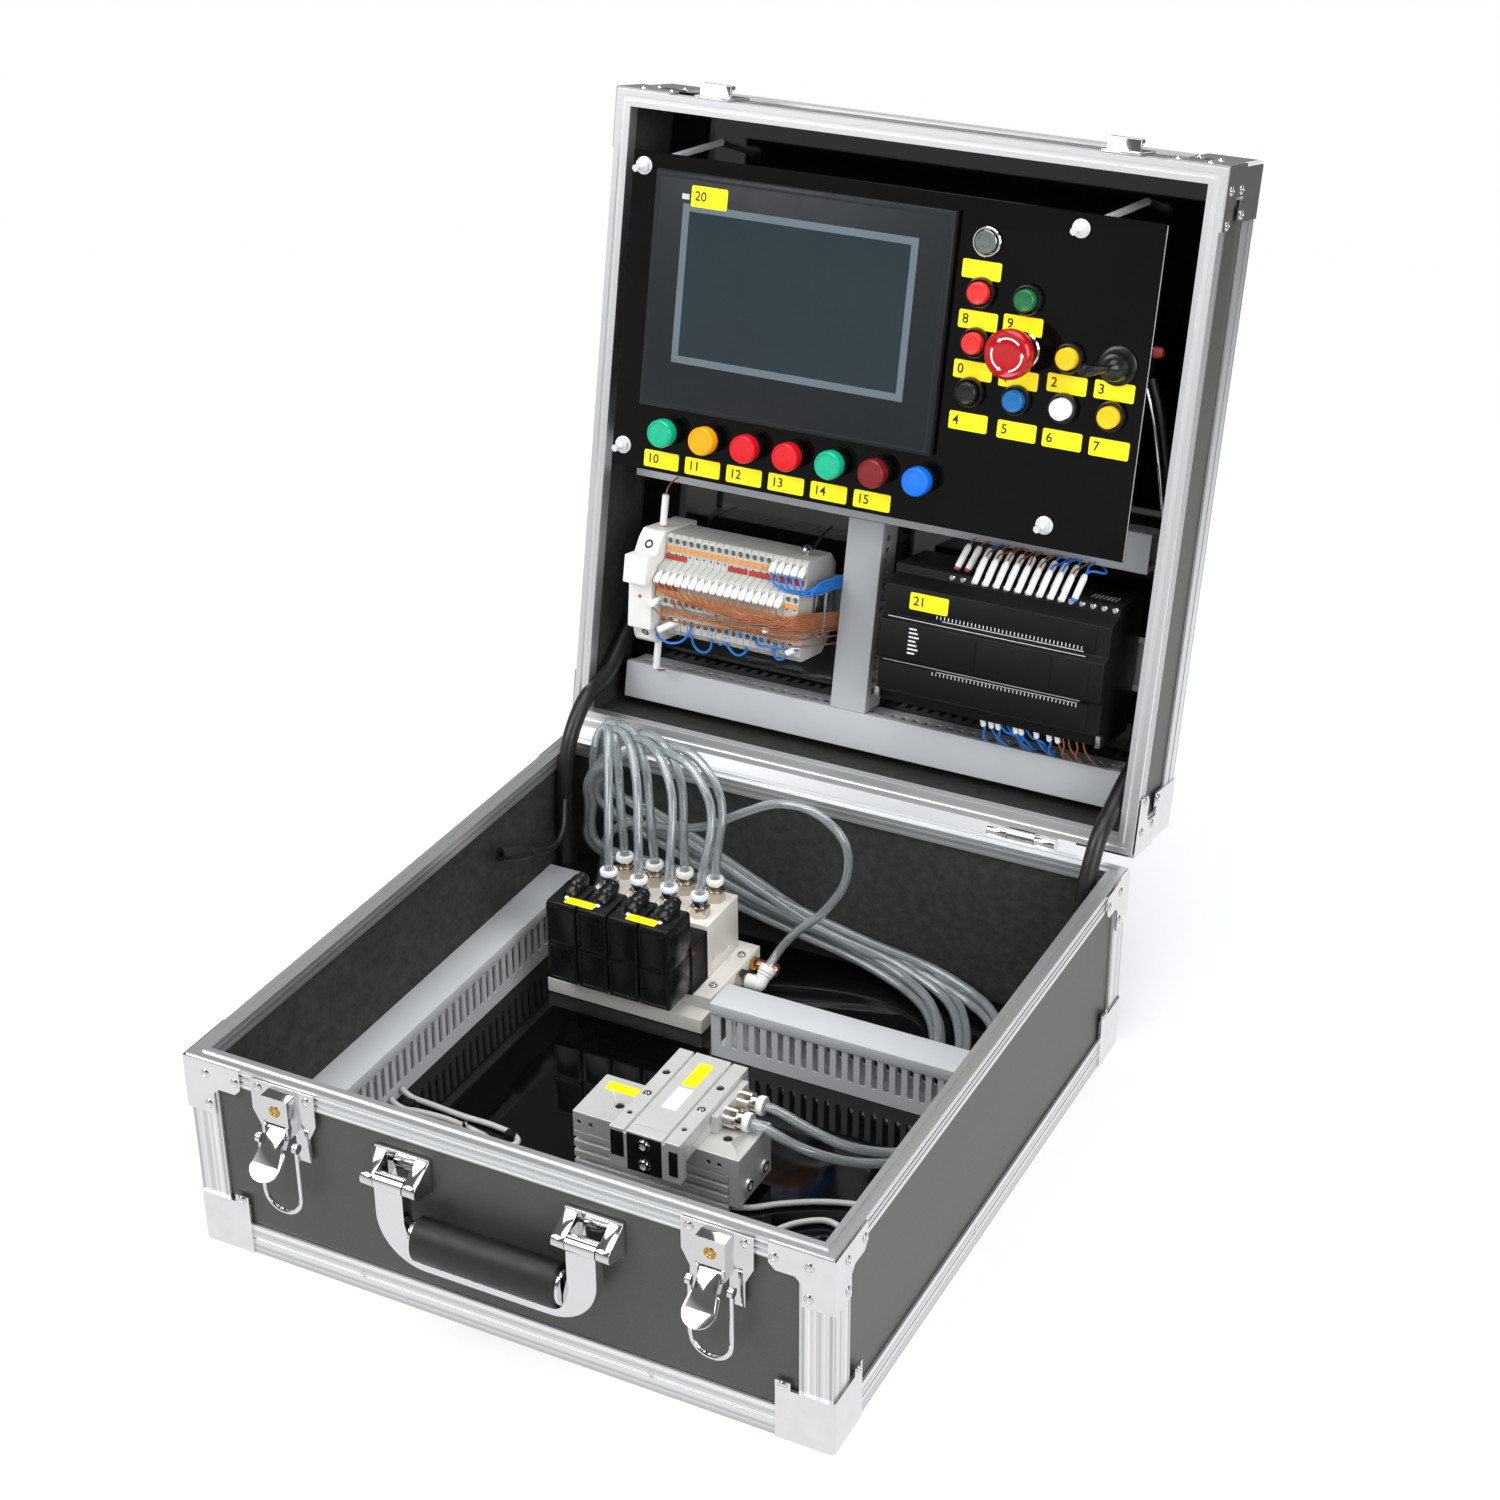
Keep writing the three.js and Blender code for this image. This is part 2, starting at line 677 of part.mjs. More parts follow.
function lowerBody() {
  const { leftX, rightX, frontY, backY, bodyTop, railWidth, railHeight } = lower;
  const { slotDepth, slotWidth, slotShares } = lower;
  const bed = block([leftX, rightX - gap], [frontY, backY], [seat, bodyTop]);
  const middle = (frontY + backY) / 2;
  const rail = block([leftX, rightX - gap], around(middle, railWidth),
    [bodyTop - bite, bodyTop + railHeight]);
  const slots = slotShares.flatMap((share) => {
    const z = around(seat + (bodyTop - seat) * share, slotWidth);
    return [
      block([leftX - overrun, rightX + overrun], [frontY - overrun, frontY + slotDepth], z),
      block([leftX - overrun, rightX + overrun], [backY - slotDepth, backY + overrun], z),
    ];
  });
  return join(cut(bed, slots), rail);
}

function lowerTable() {
  const { leftX, rightX, frontY, backY, bodyTop, tableTop, endPlate, endPlateFoot } = lower;
  const { railWidth, railHeight } = lower;
  const middle = (frontY + backY) / 2;
  const table = block([leftX, rightX + endPlate], [frontY, backY], [bodyTop + gap, tableTop]);
  const channel = block([leftX - overrun, rightX], around(middle, railWidth + 2 * gap),
    [bodyTop - overrun, bodyTop + railHeight + gap]);
  const end = block([rightX, rightX + endPlate], [frontY, backY], [endPlateFoot, tableTop]);
  const screws = [-1, 1].map((side) => {
    const y = middle + (side * lower.screwSpread) / 2;
    const z = (endPlateFoot + bodyTop) / 2;
    const face = rightX + endPlate;
    return bar(lower.screwRadius, [face - bite, y, z], [face + lower.screwProud, y, z], roundSides);
  });
  return join(cut(table, channel), end, screws);
}

const upper = {
  leftX: 0,
  width: 46,
  backY: -4,
  frontY: -82,
  plateThickness: 8,
  plateFoot: 38,
  top: 65.6,
  ledgeTop: 56,
  railWidth: 10.4,
  portDepth: 4,
  portTop: 62,
  portFrontY: -52,
  portBackY: -12,
  fittingRows: [-41, -23],
  fittingZ: 56.5,
  screwRadius: 4,
  screwProud: 1.4,
  screwSpread: 14,
};
const upperFoot = lower.tableTop + gap;
const upperRightX = upper.leftX + upper.width;

function upperBody() {
  const { leftX, backY, frontY, top, ledgeTop, railWidth, portDepth, portTop, portFrontY, portBackY } = upper;
  const foot = block([leftX, upperRightX], [frontY + gap, backY], [upperFoot, ledgeTop]);
  const spine = block([leftX + railWidth + gap, upperRightX - railWidth - gap], [frontY + gap, backY],
    [ledgeTop - bite, top]);
  const portX = [upperRightX + gap, upperRightX + gap + portDepth];
  const port = block(portX, [portFrontY, portBackY], [upperFoot, portTop]);
  const portSeat = block([upperRightX - bite, portX[0] + bite], [portFrontY, portBackY],
    [upperFoot, ledgeTop]);
  const fittings = upper.fittingRows.map((y) => pushInFitting([portX[1], y, upper.fittingZ], [1, 0, 0]));
  return join(foot, spine, port, portSeat, fittings);
}

function upperTable() {
  const { leftX, width, backY, frontY, plateThickness, plateFoot, top, ledgeTop, railWidth } = upper;
  const plate = block([leftX, upperRightX], [frontY - plateThickness, frontY], [plateFoot, top]);
  const rails = [leftX, upperRightX - railWidth].map((x) =>
    block([x, x + railWidth], [frontY - bite, backY], [ledgeTop + gap, top]));
  const screws = [-1, 1].map((side) => {
    const z = (plateFoot + top) / 2 + (side * upper.screwSpread) / 2;
    const y = frontY - plateThickness;
    const x = leftX + width / 2;
    return bar(upper.screwRadius, [x, y + bite, z], [x, y - upper.screwProud, z], roundSides);
  });
  return join(plate, rails, screws);
}
addPiece(model, "slide_x_body", lowerBody(), aluminium);
addPiece(model, "slide_x_table", lowerTable(), aluminium);
addPiece(model, "slide_y_body", upperBody(), aluminium);
addPiece(model, "slide_y_table", upperTable(), aluminium);

// Draw latches on the front: plate with its lock housing, lever, and wire bail hung on the lever
const front = -caseDepth / 2;
const latchFromSide = 65.5;
const latch = {
  centreX: caseWidth / 2 - latchFromSide,
  top: 126.6,
  width: 42,
  thickness: 1.5,
  shoulderHeight: 20,
  waist: 32,
  footHeight: 46,
  footWidth: 9,
  housingWidth: 17,
  housingDepth: 7.5,
  housingFoot: 107,
  housingTop: 124,
  earWidth: 1.6,
  pivotZ: 102.5,
  pivotOut: 5.5,
  pinRadius: 1.2,
  earRadius: 3,
};
const plateY = front - gap;
const pivotY = plateY - latch.thickness - latch.pivotOut;

function latchPlate(x) {
  const { top, width, thickness, shoulderHeight, waist, footHeight, footWidth } = latch;
  const half = width / 2;
  const narrow = waist / 2;
  const slope = shoulderHeight / 2;
  const outline = [
    [x - half, top],
    [x + half, top],
    [x + half, top - shoulderHeight],
    [x + narrow, top - shoulderHeight - slope],
    [x + narrow, top - footHeight],
    [x + narrow - footWidth, top - footHeight],
    [x + narrow - footWidth, top - shoulderHeight - slope],
    [x - narrow + footWidth, top - shoulderHeight - slope],
    [x - narrow + footWidth, top - footHeight],
    [x - narrow, top - footHeight],
    [x - narrow, top - shoulderHeight - slope],
    [x - half, top - shoulderHeight],
  ];
  const plate = prism(outline, "y", [plateY - thickness, plateY]);
  const { housingWidth, housingDepth, housingFoot, housingTop } = latch;
  const { earWidth, pivotZ, pinRadius, earRadius } = latch;
  const face = plateY - thickness;
  const housing = block(around(x, housingWidth), [face - housingDepth, face + bite],
    [housingFoot, housingTop]);
  const hollow = block(around(x, housingWidth - 2 * thickness), [plateY - housingDepth, face],
    [housingFoot - overrun, housingTop - thickness]);
  const ears = [-1, 1].map((side) => {
    const inner = x + side * (housingWidth / 2 - earWidth);
    const earSpan = [inner, inner + side * earWidth];
    return block(earSpan, [pivotY - earRadius, face + bite], [pivotZ - earRadius, housingFoot + bite]);
  });
  const pinHalf = housingWidth / 2 - bite;
  const pin = bar(pinRadius, [x - pinHalf, pivotY, pivotZ], [x + pinHalf, pivotY, pivotZ], thinSides);
  return join(plate, cut(housing, hollow), ears, pin);
}

// The lever's barrel turns on the pin. It is drawn at rest, tipped forward, with a rounded thumb pad.
const lever = {
  barrelRadius: 2.4,
  width: 12.6,
  thickness: 1.6,
  length: 21,
  padRadius: 9.5,
  padSteps: 6,
  padWidth: 17,
  tip: THREE.MathUtils.degToRad(38),
  bailAt: 7.5,
  bailEarDepth: 3.4,
  bailEarRadius: 2.6,
};
const bail = { wire: 1.5, halfWidth: 12.2, length: 47, arcSteps: 6, stepLength: 8, eye: 1.5 };
const leverDown = [-Math.sin(lever.tip), -Math.cos(lever.tip)];
const leverOut = [-Math.cos(lever.tip), Math.sin(lever.tip)];
const leverPoint = (along, out) => [
  pivotY + leverDown[0] * along + leverOut[0] * out,
  latch.pivotZ + leverDown[1] * along + leverOut[1] * out,
];
const bailPivot = leverPoint(lever.bailAt, -lever.bailEarDepth);

function latchLever(x) {
  const { barrelRadius, width, thickness, length, padRadius, padSteps, bailEarRadius } = lever;
  const rod = (radius, half, sides) =>
    bar(radius, [x - half, pivotY, latch.pivotZ], [x + half, pivotY, latch.pivotZ], sides);
  const barrel = rod(barrelRadius + gap, width / 2, roundSides);
  const bore = rod(latch.pinRadius + gap, width, thinSides);
  const out = barrelRadius + gap;
  const strap = prism(
    [
      leverPoint(0, out - thickness),
      leverPoint(length, out - thickness),
      leverPoint(length, out),
      leverPoint(0, out),
    ],
    "x", around(x, width),
  );
  const padOutline = [
    ...arc([0, 0], padRadius, 0, -180, padSteps),
    [-lever.padWidth / 2, padRadius],
    [lever.padWidth / 2, padRadius],
  ];
  const padShape = new THREE.Shape(padOutline.map(([u, v]) => new THREE.Vector2(u, v)));
  const pad = solid(new THREE.ExtrudeGeometry(padShape, { depth: thickness, bevelEnabled: false })
    .rotateX(Math.PI / 2)
    .rotateX(lever.tip - Math.PI / 2)
    .translate(x, ...leverPoint(length, out - thickness / 2)));
  const arms = [-1, 1].map((side) => {
    const inner = x + side * (width / 2 - thickness);
    const [y, z] = bailPivot;
    const ear = bar(bailEarRadius, [inner, y, z], [inner + side * thickness, y, z], thinSides);
    const link = prism(
      [
        leverPoint(lever.bailAt - bailEarRadius, out),
        leverPoint(lever.bailAt + bailEarRadius, out),
        leverPoint(lever.bailAt + bailEarRadius, -lever.bailEarDepth),
        leverPoint(lever.bailAt - bailEarRadius, -lever.bailEarDepth),
      ],
      "x", [inner, inner + side * thickness],
    );
    return join(ear, link);
  });
  const trunnion = bar(latch.pinRadius, [x - bail.halfWidth - bail.wire, ...bailPivot],
    [x + bail.halfWidth + bail.wire, ...bailPivot], thinSides);
  return join(cut(join(barrel, strap), bore), pad, arms, trunnion);
}

function latchBail(x) {
  const { wire, halfWidth, length, arcSteps, stepLength, eye } = bail;
  const [y, z] = bailPivot;
  const bottom = z - length;
  const route = [
    [x - halfWidth, y, z - latch.pinRadius],
    [x - halfWidth, y, z - length / 2],
    ...arc([0, bottom + halfWidth], halfWidth, 180, 360, arcSteps).map(([u, v]) => [x + u, y, v]),
    [x + halfWidth, y, z - length / 2],
    [x + halfWidth, y, z - latch.pinRadius],
  ];
  const loop = tube(route, wire, thinSides, stepLength);
  const eyes = [-1, 1].map((side) => {
    const middle = x + side * halfWidth;
    return bar(latch.pinRadius + gap + eye, [middle - wire, y, z], [middle + wire, y, z], roundSides);
  });
  const reach = halfWidth + 2 * wire;
  const bore = bar(latch.pinRadius + gap, [x - reach, y, z], [x + reach, y, z], thinSides);
  return cut(join(loop, eyes), bore);
}
for (const [side, x] of [["left", -latch.centreX], ["right", latch.centreX]]) {
  addPiece(model, `latch_plate_${side}`, latchPlate(x), chrome);
  addPiece(model, `latch_lever_${side}`, latchLever(x), chrome);
  addPiece(model, `latch_bail_${side}`, latchBail(x), chrome);
}

// Hooks on the lid for the bails
const catchHook = {
  width: 24,
  plateHeight: 30,
  thickness: 1.5,
  hookOut: 9,
  hookAt: 7,
  hookThick: 2.5,
  lipHeight: 4,
  from: 2,
};

function lidCatch(x) {
  const frontY = -hingeBehind - caseDepth - gap;
  const { width, plateHeight, thickness, hookOut, hookAt, hookThick, lipHeight, from } = catchHook;
  const plate = block(around(x, width), [frontY - thickness, frontY], [from, from + plateHeight]);
  const shelf = block(around(x, width - 2 * thickness), [frontY - hookOut, frontY - thickness + bite],
    [hookAt, hookAt + hookThick]);
  const lip = block(around(x, width - 2 * thickness), [frontY - hookOut, frontY - hookOut + hookThick],
    [hookAt, hookAt + hookThick + lipHeight]);
  return join(plate, shelf, lip);
}
addPiece(lid, "lid_catch_left", lidCatch(-latch.centreX), chrome);
addPiece(lid, "lid_catch_right", lidCatch(latch.centreX), chrome);

// Drop handle: two mounts with ears, a flat U frame, and a moulded roll grip
const handle = {
  centreX: 1.6,
  spacing: 119.5,
  mountWidth: 35,
  mountTop: 108,
  mountFoot: 86,
  mountThickness: 2.4,
  earWidth: 8,
  axisZ: 95,
  axisOut: 12,
  barrelRadius: 5,
  boreRadius: 2,
  armWidth: 18,
  thickness: 8,
  drop: 50,
  cornerRadius: 30,
  cornerSteps: 6,
  innerCorner: 12,
  footHeight: 4.5,
  innerWidth: 96,
};
const grip = { radiusY: 11, radiusZ: 13.5, length: 88, steps: 16, collar: 4, collarShare: 0.72 };
const handleY = front - handle.axisOut;
const panelFace = front + shellOut;

function handleMount(x) {
  const { mountWidth, mountTop, mountFoot, mountThickness, earWidth } = handle;
  const { axisZ, barrelRadius, boreRadius } = handle;
  const base = block(around(x, mountWidth), [panelFace - gap - mountThickness, panelFace - gap],
    [mountFoot, mountTop]);
  const ears = [-1, 1].map((side) => {
    const inner = x + side * (mountWidth / 2 - earWidth);
    const outer = x + (side * mountWidth) / 2;
    const web = prism(
      [
        [panelFace - gap - bite, mountFoot],
        [panelFace - gap - bite, mountTop],
        [handleY, axisZ + barrelRadius],
        [handleY, axisZ - barrelRadius],
      ],
      "x", [inner, outer],
    );
    const round = bar(barrelRadius, [inner, handleY, axisZ], [outer, handleY, axisZ], wideSides);
    return join(web, round);
  });
  const pinHalf = mountWidth / 2 - bite;
  const pin = bar(boreRadius, [x - pinHalf, handleY, axisZ], [x + pinHalf, handleY, axisZ], thinSides);
  return join(base, ears, pin);
}

function handleFrame() {
  const { centreX, spacing, armWidth, axisZ, drop, thickness } = handle;
  const { cornerRadius, cornerSteps, innerCorner, footHeight, boreRadius } = handle;
  const outerHalf = (spacing + armWidth) / 2;
  const innerHalf = handle.innerWidth / 2;
  const bottom = axisZ - drop;
  const x = (u) => centreX + u;
  const outline = [
    [x(-outerHalf), axisZ],
    ...arc([x(-outerHalf + cornerRadius), bottom + cornerRadius], cornerRadius, 180, 270, cornerSteps),
    ...arc([x(outerHalf - cornerRadius), bottom + cornerRadius], cornerRadius, 270, 360, cornerSteps),
    [x(outerHalf), axisZ],
    [x(outerHalf - armWidth), axisZ],
    [x(outerHalf - armWidth), bottom + innerCorner + footHeight + innerCorner],
    [x(innerHalf), bottom + footHeight + innerCorner],
    [x(innerHalf), bottom + footHeight],
    [x(-innerHalf), bottom + footHeight],
    [x(-innerHalf), bottom + footHeight + innerCorner],
    [x(-outerHalf + armWidth), bottom + innerCorner + footHeight + innerCorner],
    [x(-outerHalf + armWidth), axisZ],
  ];
  const frame = prism(outline, "y", around(handleY, thickness));
  const barrels = [-1, 1].map((side) => {
    const middle = centreX + (side * spacing) / 2;
    const half = armWidth / 2;
    return bar(handle.barrelRadius, [middle - half, handleY, axisZ], [middle + half, handleY, axisZ],
      wideSides);
  });
  const clear = [-1, 1].map((side) => {
    const middle = centreX + (side * spacing) / 2;
    return bar(boreRadius + gap, [middle - armWidth, handleY, axisZ], [middle + armWidth, handleY, axisZ],
      thinSides);
  });
  return cut(join(frame, barrels), clear);
}

function handleGrip() {
  const { radiusY, radiusZ, length, steps, collar, collarShare } = grip;
  const middleZ = handle.axisZ - handle.drop + handle.footHeight + gap + radiusZ;
  const oval = (share = 1) => Array.from({ length: steps }, (_, i) => {
    const turn = (i / steps) * 2 * Math.PI;
    return [handleY + radiusY * share * Math.cos(turn), middleZ + radiusZ * share * Math.sin(turn)];
  });
  const half = length / 2;
  return join(
    prism(oval(), "x", [handle.centreX - half, handle.centreX + half]),
    prism(oval(collarShare), "x", around(handle.centreX, 2 * (half + collar - gap))),
  );
}
for (const [side, sign] of [["left", -1], ["right", 1]]) {
  addPiece(model, `handle_mount_${side}`, handleMount(handle.centreX + (sign * handle.spacing) / 2), chrome);
}
addPiece(model, "handle_frame", handleFrame(), chrome);
addPiece(model, "handle_grip", handleGrip(), rubber);

// The lid's inside. s runs from the hinge side, d from the rim plane towards the lid's back.
const lidY = (s) => -hingeBehind - s;
const lidBlock = (x, s, d) => block(x, s.map(lidY), d);
const plate = { thickness: 2, margin: 1 };
const lidFloor = lidHeight - shellOut - lidBackWall;
const plateBack = lidFloor - gap;
const plateFront = plateBack - plate.thickness;

// Mounting plate with two top-hat rails and four leaning studs that carry the control panel on nuts
const panel = { height: 200, depth: -18, thickness: 3 };
const screen = { width: 202, height: 148, proud: 7, chamfer: 3, rearInset: 7, rearDepth: 38 };
const housing = { outer: 9, bore: 7.4, proud: 4.5, depth: 23, floor: 11, block: 18, columns: 4 };
const lampHead = {
  radius: 9,
  shoulder: 7.4,
  proud: 14.5,
  bevel: 1.5,
  block: 16,
  depth: 14,
  fromLeft: 20,
  fromRight: 5,
  count: 7,
};
const stud = {
  radius: 2.4,
  rightColumn: 1.9,
  lowMargin: 13.5,
  highMargin: 9,
  leanX: 12,
  leanS: 12,
  tip: 6,
  nutRadius: 4.6,
  nutHeight: 3.6,
  holeRadius: 3.8,
};
const dinRail = { width: 35, brim: 4, height: 7.5, wall: 1.2, aboveFoot: 44 };
const plc = {
  width: 150,
  height: 90,
  frontFace: -10,
  coverFace: -4,
  stripFace: 8,
  stripWidth: 11,
  coverWidth: 19,
  stepHeight: 2.5,
  ventCount: 12,
  ventWidth: 2,
  ventDepth: 2,
  ventMargin: 11,
};
const fuseWidth = 17.6;
const terminalPitch = 5.18;
const terminalCount = 20;

// Along the lid: gaps between wall, lower duct, controller, upper duct, panel and far wall
const alongGaps = { wallDuct: 7.2, ductController: 22, controllerDuct: 16.5, panelWall: 26.2 };
const ductShown = 17.5;
const lidSpread = spreadOf(
  2 * innerY,
  [duct.width, plc.height, ductShown, panel.height],
  Object.values(alongGaps),
);
const lowerDuctS = shellOut + shellWall + alongGaps.wallDuct * lidSpread + duct.width / 2;
const controllerFootS = lowerDuctS + duct.width / 2 + alongGaps.ductController * lidSpread;
const controllerTopS = controllerFootS + plc.height;
const upperDuctS = controllerTopS + alongGaps.controllerDuct * lidSpread + duct.width / 2;
const panelFoot = upperDuctS - duct.width / 2 + ductShown;
const railMiddle = controllerFootS + dinRail.aboveFoot;

// Across the lid below the panel: gaps between wall, fuse holder, upright duct, controller and wall
const railGaps = { wallFuse: 29.6, terminalDuct: 14.1, ductController: 22, controllerWall: 22.2 };
const terminalLength = terminalPitch * terminalCount;
const railPieces = [fuseWidth + gap, terminalLength, duct.width, plc.width];
const railSpread = spreadOf(2 * innerX, railPieces, Object.values(railGaps));
const fuseLeft = -innerX + railGaps.wallFuse * railSpread;
const terminalLeft = fuseLeft + fuseWidth + gap;
const terminalRight = terminalLeft + terminalLength;
const uprightDuctX = terminalRight + railGaps.terminalDuct * railSpread + duct.width / 2;
const controllerLeft = uprightDuctX + duct.width / 2 + railGaps.ductController * railSpread;
const railOverhang = { fuseEnd: 9.4, terminalEnd: 11.1, controllerLeft: 14, controllerRight: 16 };
const terminalRail = [
  fuseLeft - railOverhang.fuseEnd * railSpread,
  terminalRight + railOverhang.terminalEnd * railSpread,
];
const controllerRail = [
  controllerLeft - railOverhang.controllerLeft * railSpread,
  controllerLeft + plc.width + railOverhang.controllerRight * railSpread,
];

// Across the panel: gaps between wall, panel edge, stud, screen, the columns of controls and wall
const panelGaps = { side: 17.2, edgeStud: 3.4, studScreen: 7.4, screenCup: 10.5, cups: 12, cupEdge: 9.5 };
const panelSpread = spreadOf(
  2 * innerX,
  [2 * stud.nutRadius, screen.width, 2 * housing.outer * housing.columns],
  [...Object.values(panelGaps), panelGaps.side, (housing.columns - 2) * panelGaps.cups],
);
const panelHalf = innerX - panelGaps.side * panelSpread;
const leftStudX = -panelHalf + panelGaps.edgeStud * panelSpread + stud.nutRadius;
const screenLeft = leftStudX + stud.nutRadius + panelGaps.studScreen * panelSpread;
const screenX = screenLeft + screen.width / 2;
const control = {
  firstX: screenLeft + screen.width + panelGaps.screenCup * panelSpread + housing.outer,
  columnPitch: 2 * housing.outer + panelGaps.cups * panelSpread,
  firstShare: 0.4275,
  rowShare: 0.15,
};
const lampPitch = (screen.width - lampHead.fromLeft - lampHead.fromRight) / (lampHead.count - 1);

// Up the panel: gaps between its foot, the lamps, the screen and its top
const riseGaps = { footLamp: 18.5, lampScreen: 6.5, screenTop: 9 };
const riseSpread = spreadOf(panel.height, [2 * lampHead.radius, screen.height], Object.values(riseGaps));
const lampS = panelFoot + riseGaps.footLamp * riseSpread + lampHead.radius;
const screenS = lampS + lampHead.radius + riseGaps.lampScreen * riseSpread + screen.height / 2;
const studColumns = [leftStudX, control.firstX + stud.rightColumn * control.columnPitch];
const studRows = [panelFoot + stud.lowMargin, panelFoot + panel.height - stud.highMargin];

function topHatRail(span) {
  const { width, brim, height, wall } = dinRail;
  const middle = railMiddle;
  const half = width / 2;
  const foot = half - brim;
  const from = plateFront + bite;
  const to = plateFront - height;
  const profile = [
    [middle - half, to],
    [middle - foot, to],
    [middle - foot, from - wall - bite],
    [middle + foot, from - wall - bite],
    [middle + foot, to],
    [middle + half, to],
    [middle + half, to + wall],
    [middle + foot + wall, to + wall],
    [middle + foot + wall, from],
    [middle - foot - wall, from],
    [middle - foot - wall, to + wall],
    [middle - half, to + wall],
  ];
  return prism(profile.map(([s, d]) => [lidY(s), d]), "x", span);
}

function studs() {
  const frontTip = panel.depth - stud.nutHeight - stud.tip;
  const run = plateFront - panel.depth;
  const lean = (x, s, d) => {
    const share = (d - panel.depth) / run;
    return [x + stud.leanX * panelSpread * share, lidY(s + stud.leanS * lidSpread * share), d];
  };
  return studColumns.flatMap((x) => studRows.flatMap((s) => {
    const nut = (from, to) => bar(stud.nutRadius, [x, lidY(s), from], [x, lidY(s), to], hexSides);
    const back = panel.depth + panel.thickness;
    return [
      bar(stud.radius, lean(x, s, plateFront + bite), lean(x, s, frontTip), hexSides),
      nut(panel.depth - gap, panel.depth - gap - stud.nutHeight),
      nut(back + gap, back + gap + stud.nutHeight),
    ];
  }));
}
const mountingPlate = lidBlock(
  [-innerX + plate.margin, innerX - plate.margin],
  [shellOut + shellWall + plate.margin, caseDepth - shellOut - shellWall - plate.margin],
  [plateFront, plateBack],
);
const rails = [topHatRail(terminalRail), topHatRail(controllerRail)];
addPiece(lid, "mounting_plate", join(mountingPlate, rails, studs()), blackAcrylic);

// Control panel with its operator screen cut-out, fixed lamp heads and the housings of the moving controls
const buttons = [
  { name: "push_button_power", column: 0, row: 3, colour: "metal" },
  { name: "push_button_red_upper", column: 0, row: 2, colour: "red" },
  { name: "push_button_green", column: 1, row: 2, colour: "green" },
  { name: "push_button_red_lower", column: 0, row: 1, colour: "red" },
  { name: "push_button_yellow_upper", column: 2, row: 1, colour: "yellow" },
  { name: "push_button_black", column: 0, row: 0, colour: "black" },
  { name: "push_button_blue", column: 1, row: 0, colour: "blue" },
  { name: "push_button_white", column: 2, row: 0, colour: "white" },
  { name: "push_button_yellow_lower", column: 3, row: 0, colour: "yellow" },
];
const stopPlace = { column: 1, row: 1 };
const togglePlace = { column: 3, row: 1 };
const controlX = ({ column }) => control.firstX + column * control.columnPitch;
const controlS = ({ row }) => panelFoot + panel.height * (control.firstShare + row * control.rowShare);
const rearWidth = screen.width - 2 * screen.rearInset;
const rearHeight = screen.height - 2 * screen.rearInset;

function housingCup(place) {
  const at = [controlX(place), lidY(controlS(place))];
  const frontD = panel.depth - housing.proud;
  const backD = panel.depth + panel.thickness + housing.depth;
  const contactBlock = block(around(at[0], housing.block), around(at[1], housing.block),
    [panel.depth + panel.thickness - bite, backD]);
  return {
    body: join(bar(housing.outer, [...at, frontD], [...at, panel.depth + bite], roundSides), contactBlock),
    bore: bar(housing.bore, [...at, frontD - overrun], [...at, backD - housing.floor], roundSides),
  };
}

function lamp(x) {
  const y = lidY(lampS);
  const { radius, shoulder, proud, bevel, depth } = lampHead;
  const head = turned(
    [[0, 0], [radius, 0], [radius, proud - bevel], [shoulder, proud], [0, proud]],
    thinSides, [0, 0, -1], [x, y, panel.depth + bite],
  );
  const tail = block(around(x, lampHead.block), around(y, lampHead.block),
    [panel.depth + panel.thickness - bite, panel.depth + panel.thickness + depth]);
  return join(head, tail);
}

function controlPanel() {
  const through = [panel.depth - overrun, panel.depth + panel.thickness + overrun];
  const slab = lidBlock([-panelHalf, panelHalf], [panelFoot, panelFoot + panel.height],
    [panel.depth, panel.depth + panel.thickness]);
  const window = lidBlock(around(screenX, rearWidth + 2 * gap), around(screenS, rearHeight + 2 * gap),
    through);
  const holes = studColumns.flatMap((x) => studRows.map((s) =>
    bar(stud.holeRadius, [x, lidY(s), through[0]], [x, lidY(s), through[1]], hexSides)));
  const cups = [...buttons, stopPlace].map(housingCup);
  const firstLampX = screenLeft + lampHead.fromLeft;
  const lamps = Array.from({ length: lampHead.count }, (_, i) => lamp(firstLampX + i * lampPitch));
  const switchBody = toggleHousing();
  return cut(join(cut(slab, window, holes), cups.map((cup) => cup.body), lamps, switchBody.body),
    cups.map((cup) => cup.bore), switchBody.bore);
}

// Operator screen: chamfered bezel with a sunk display, and the rear box that passes through the panel
const display = { widthShare: 0.79, heightShare: 0.67, liftShare: -0.04, sink: 0.8 };

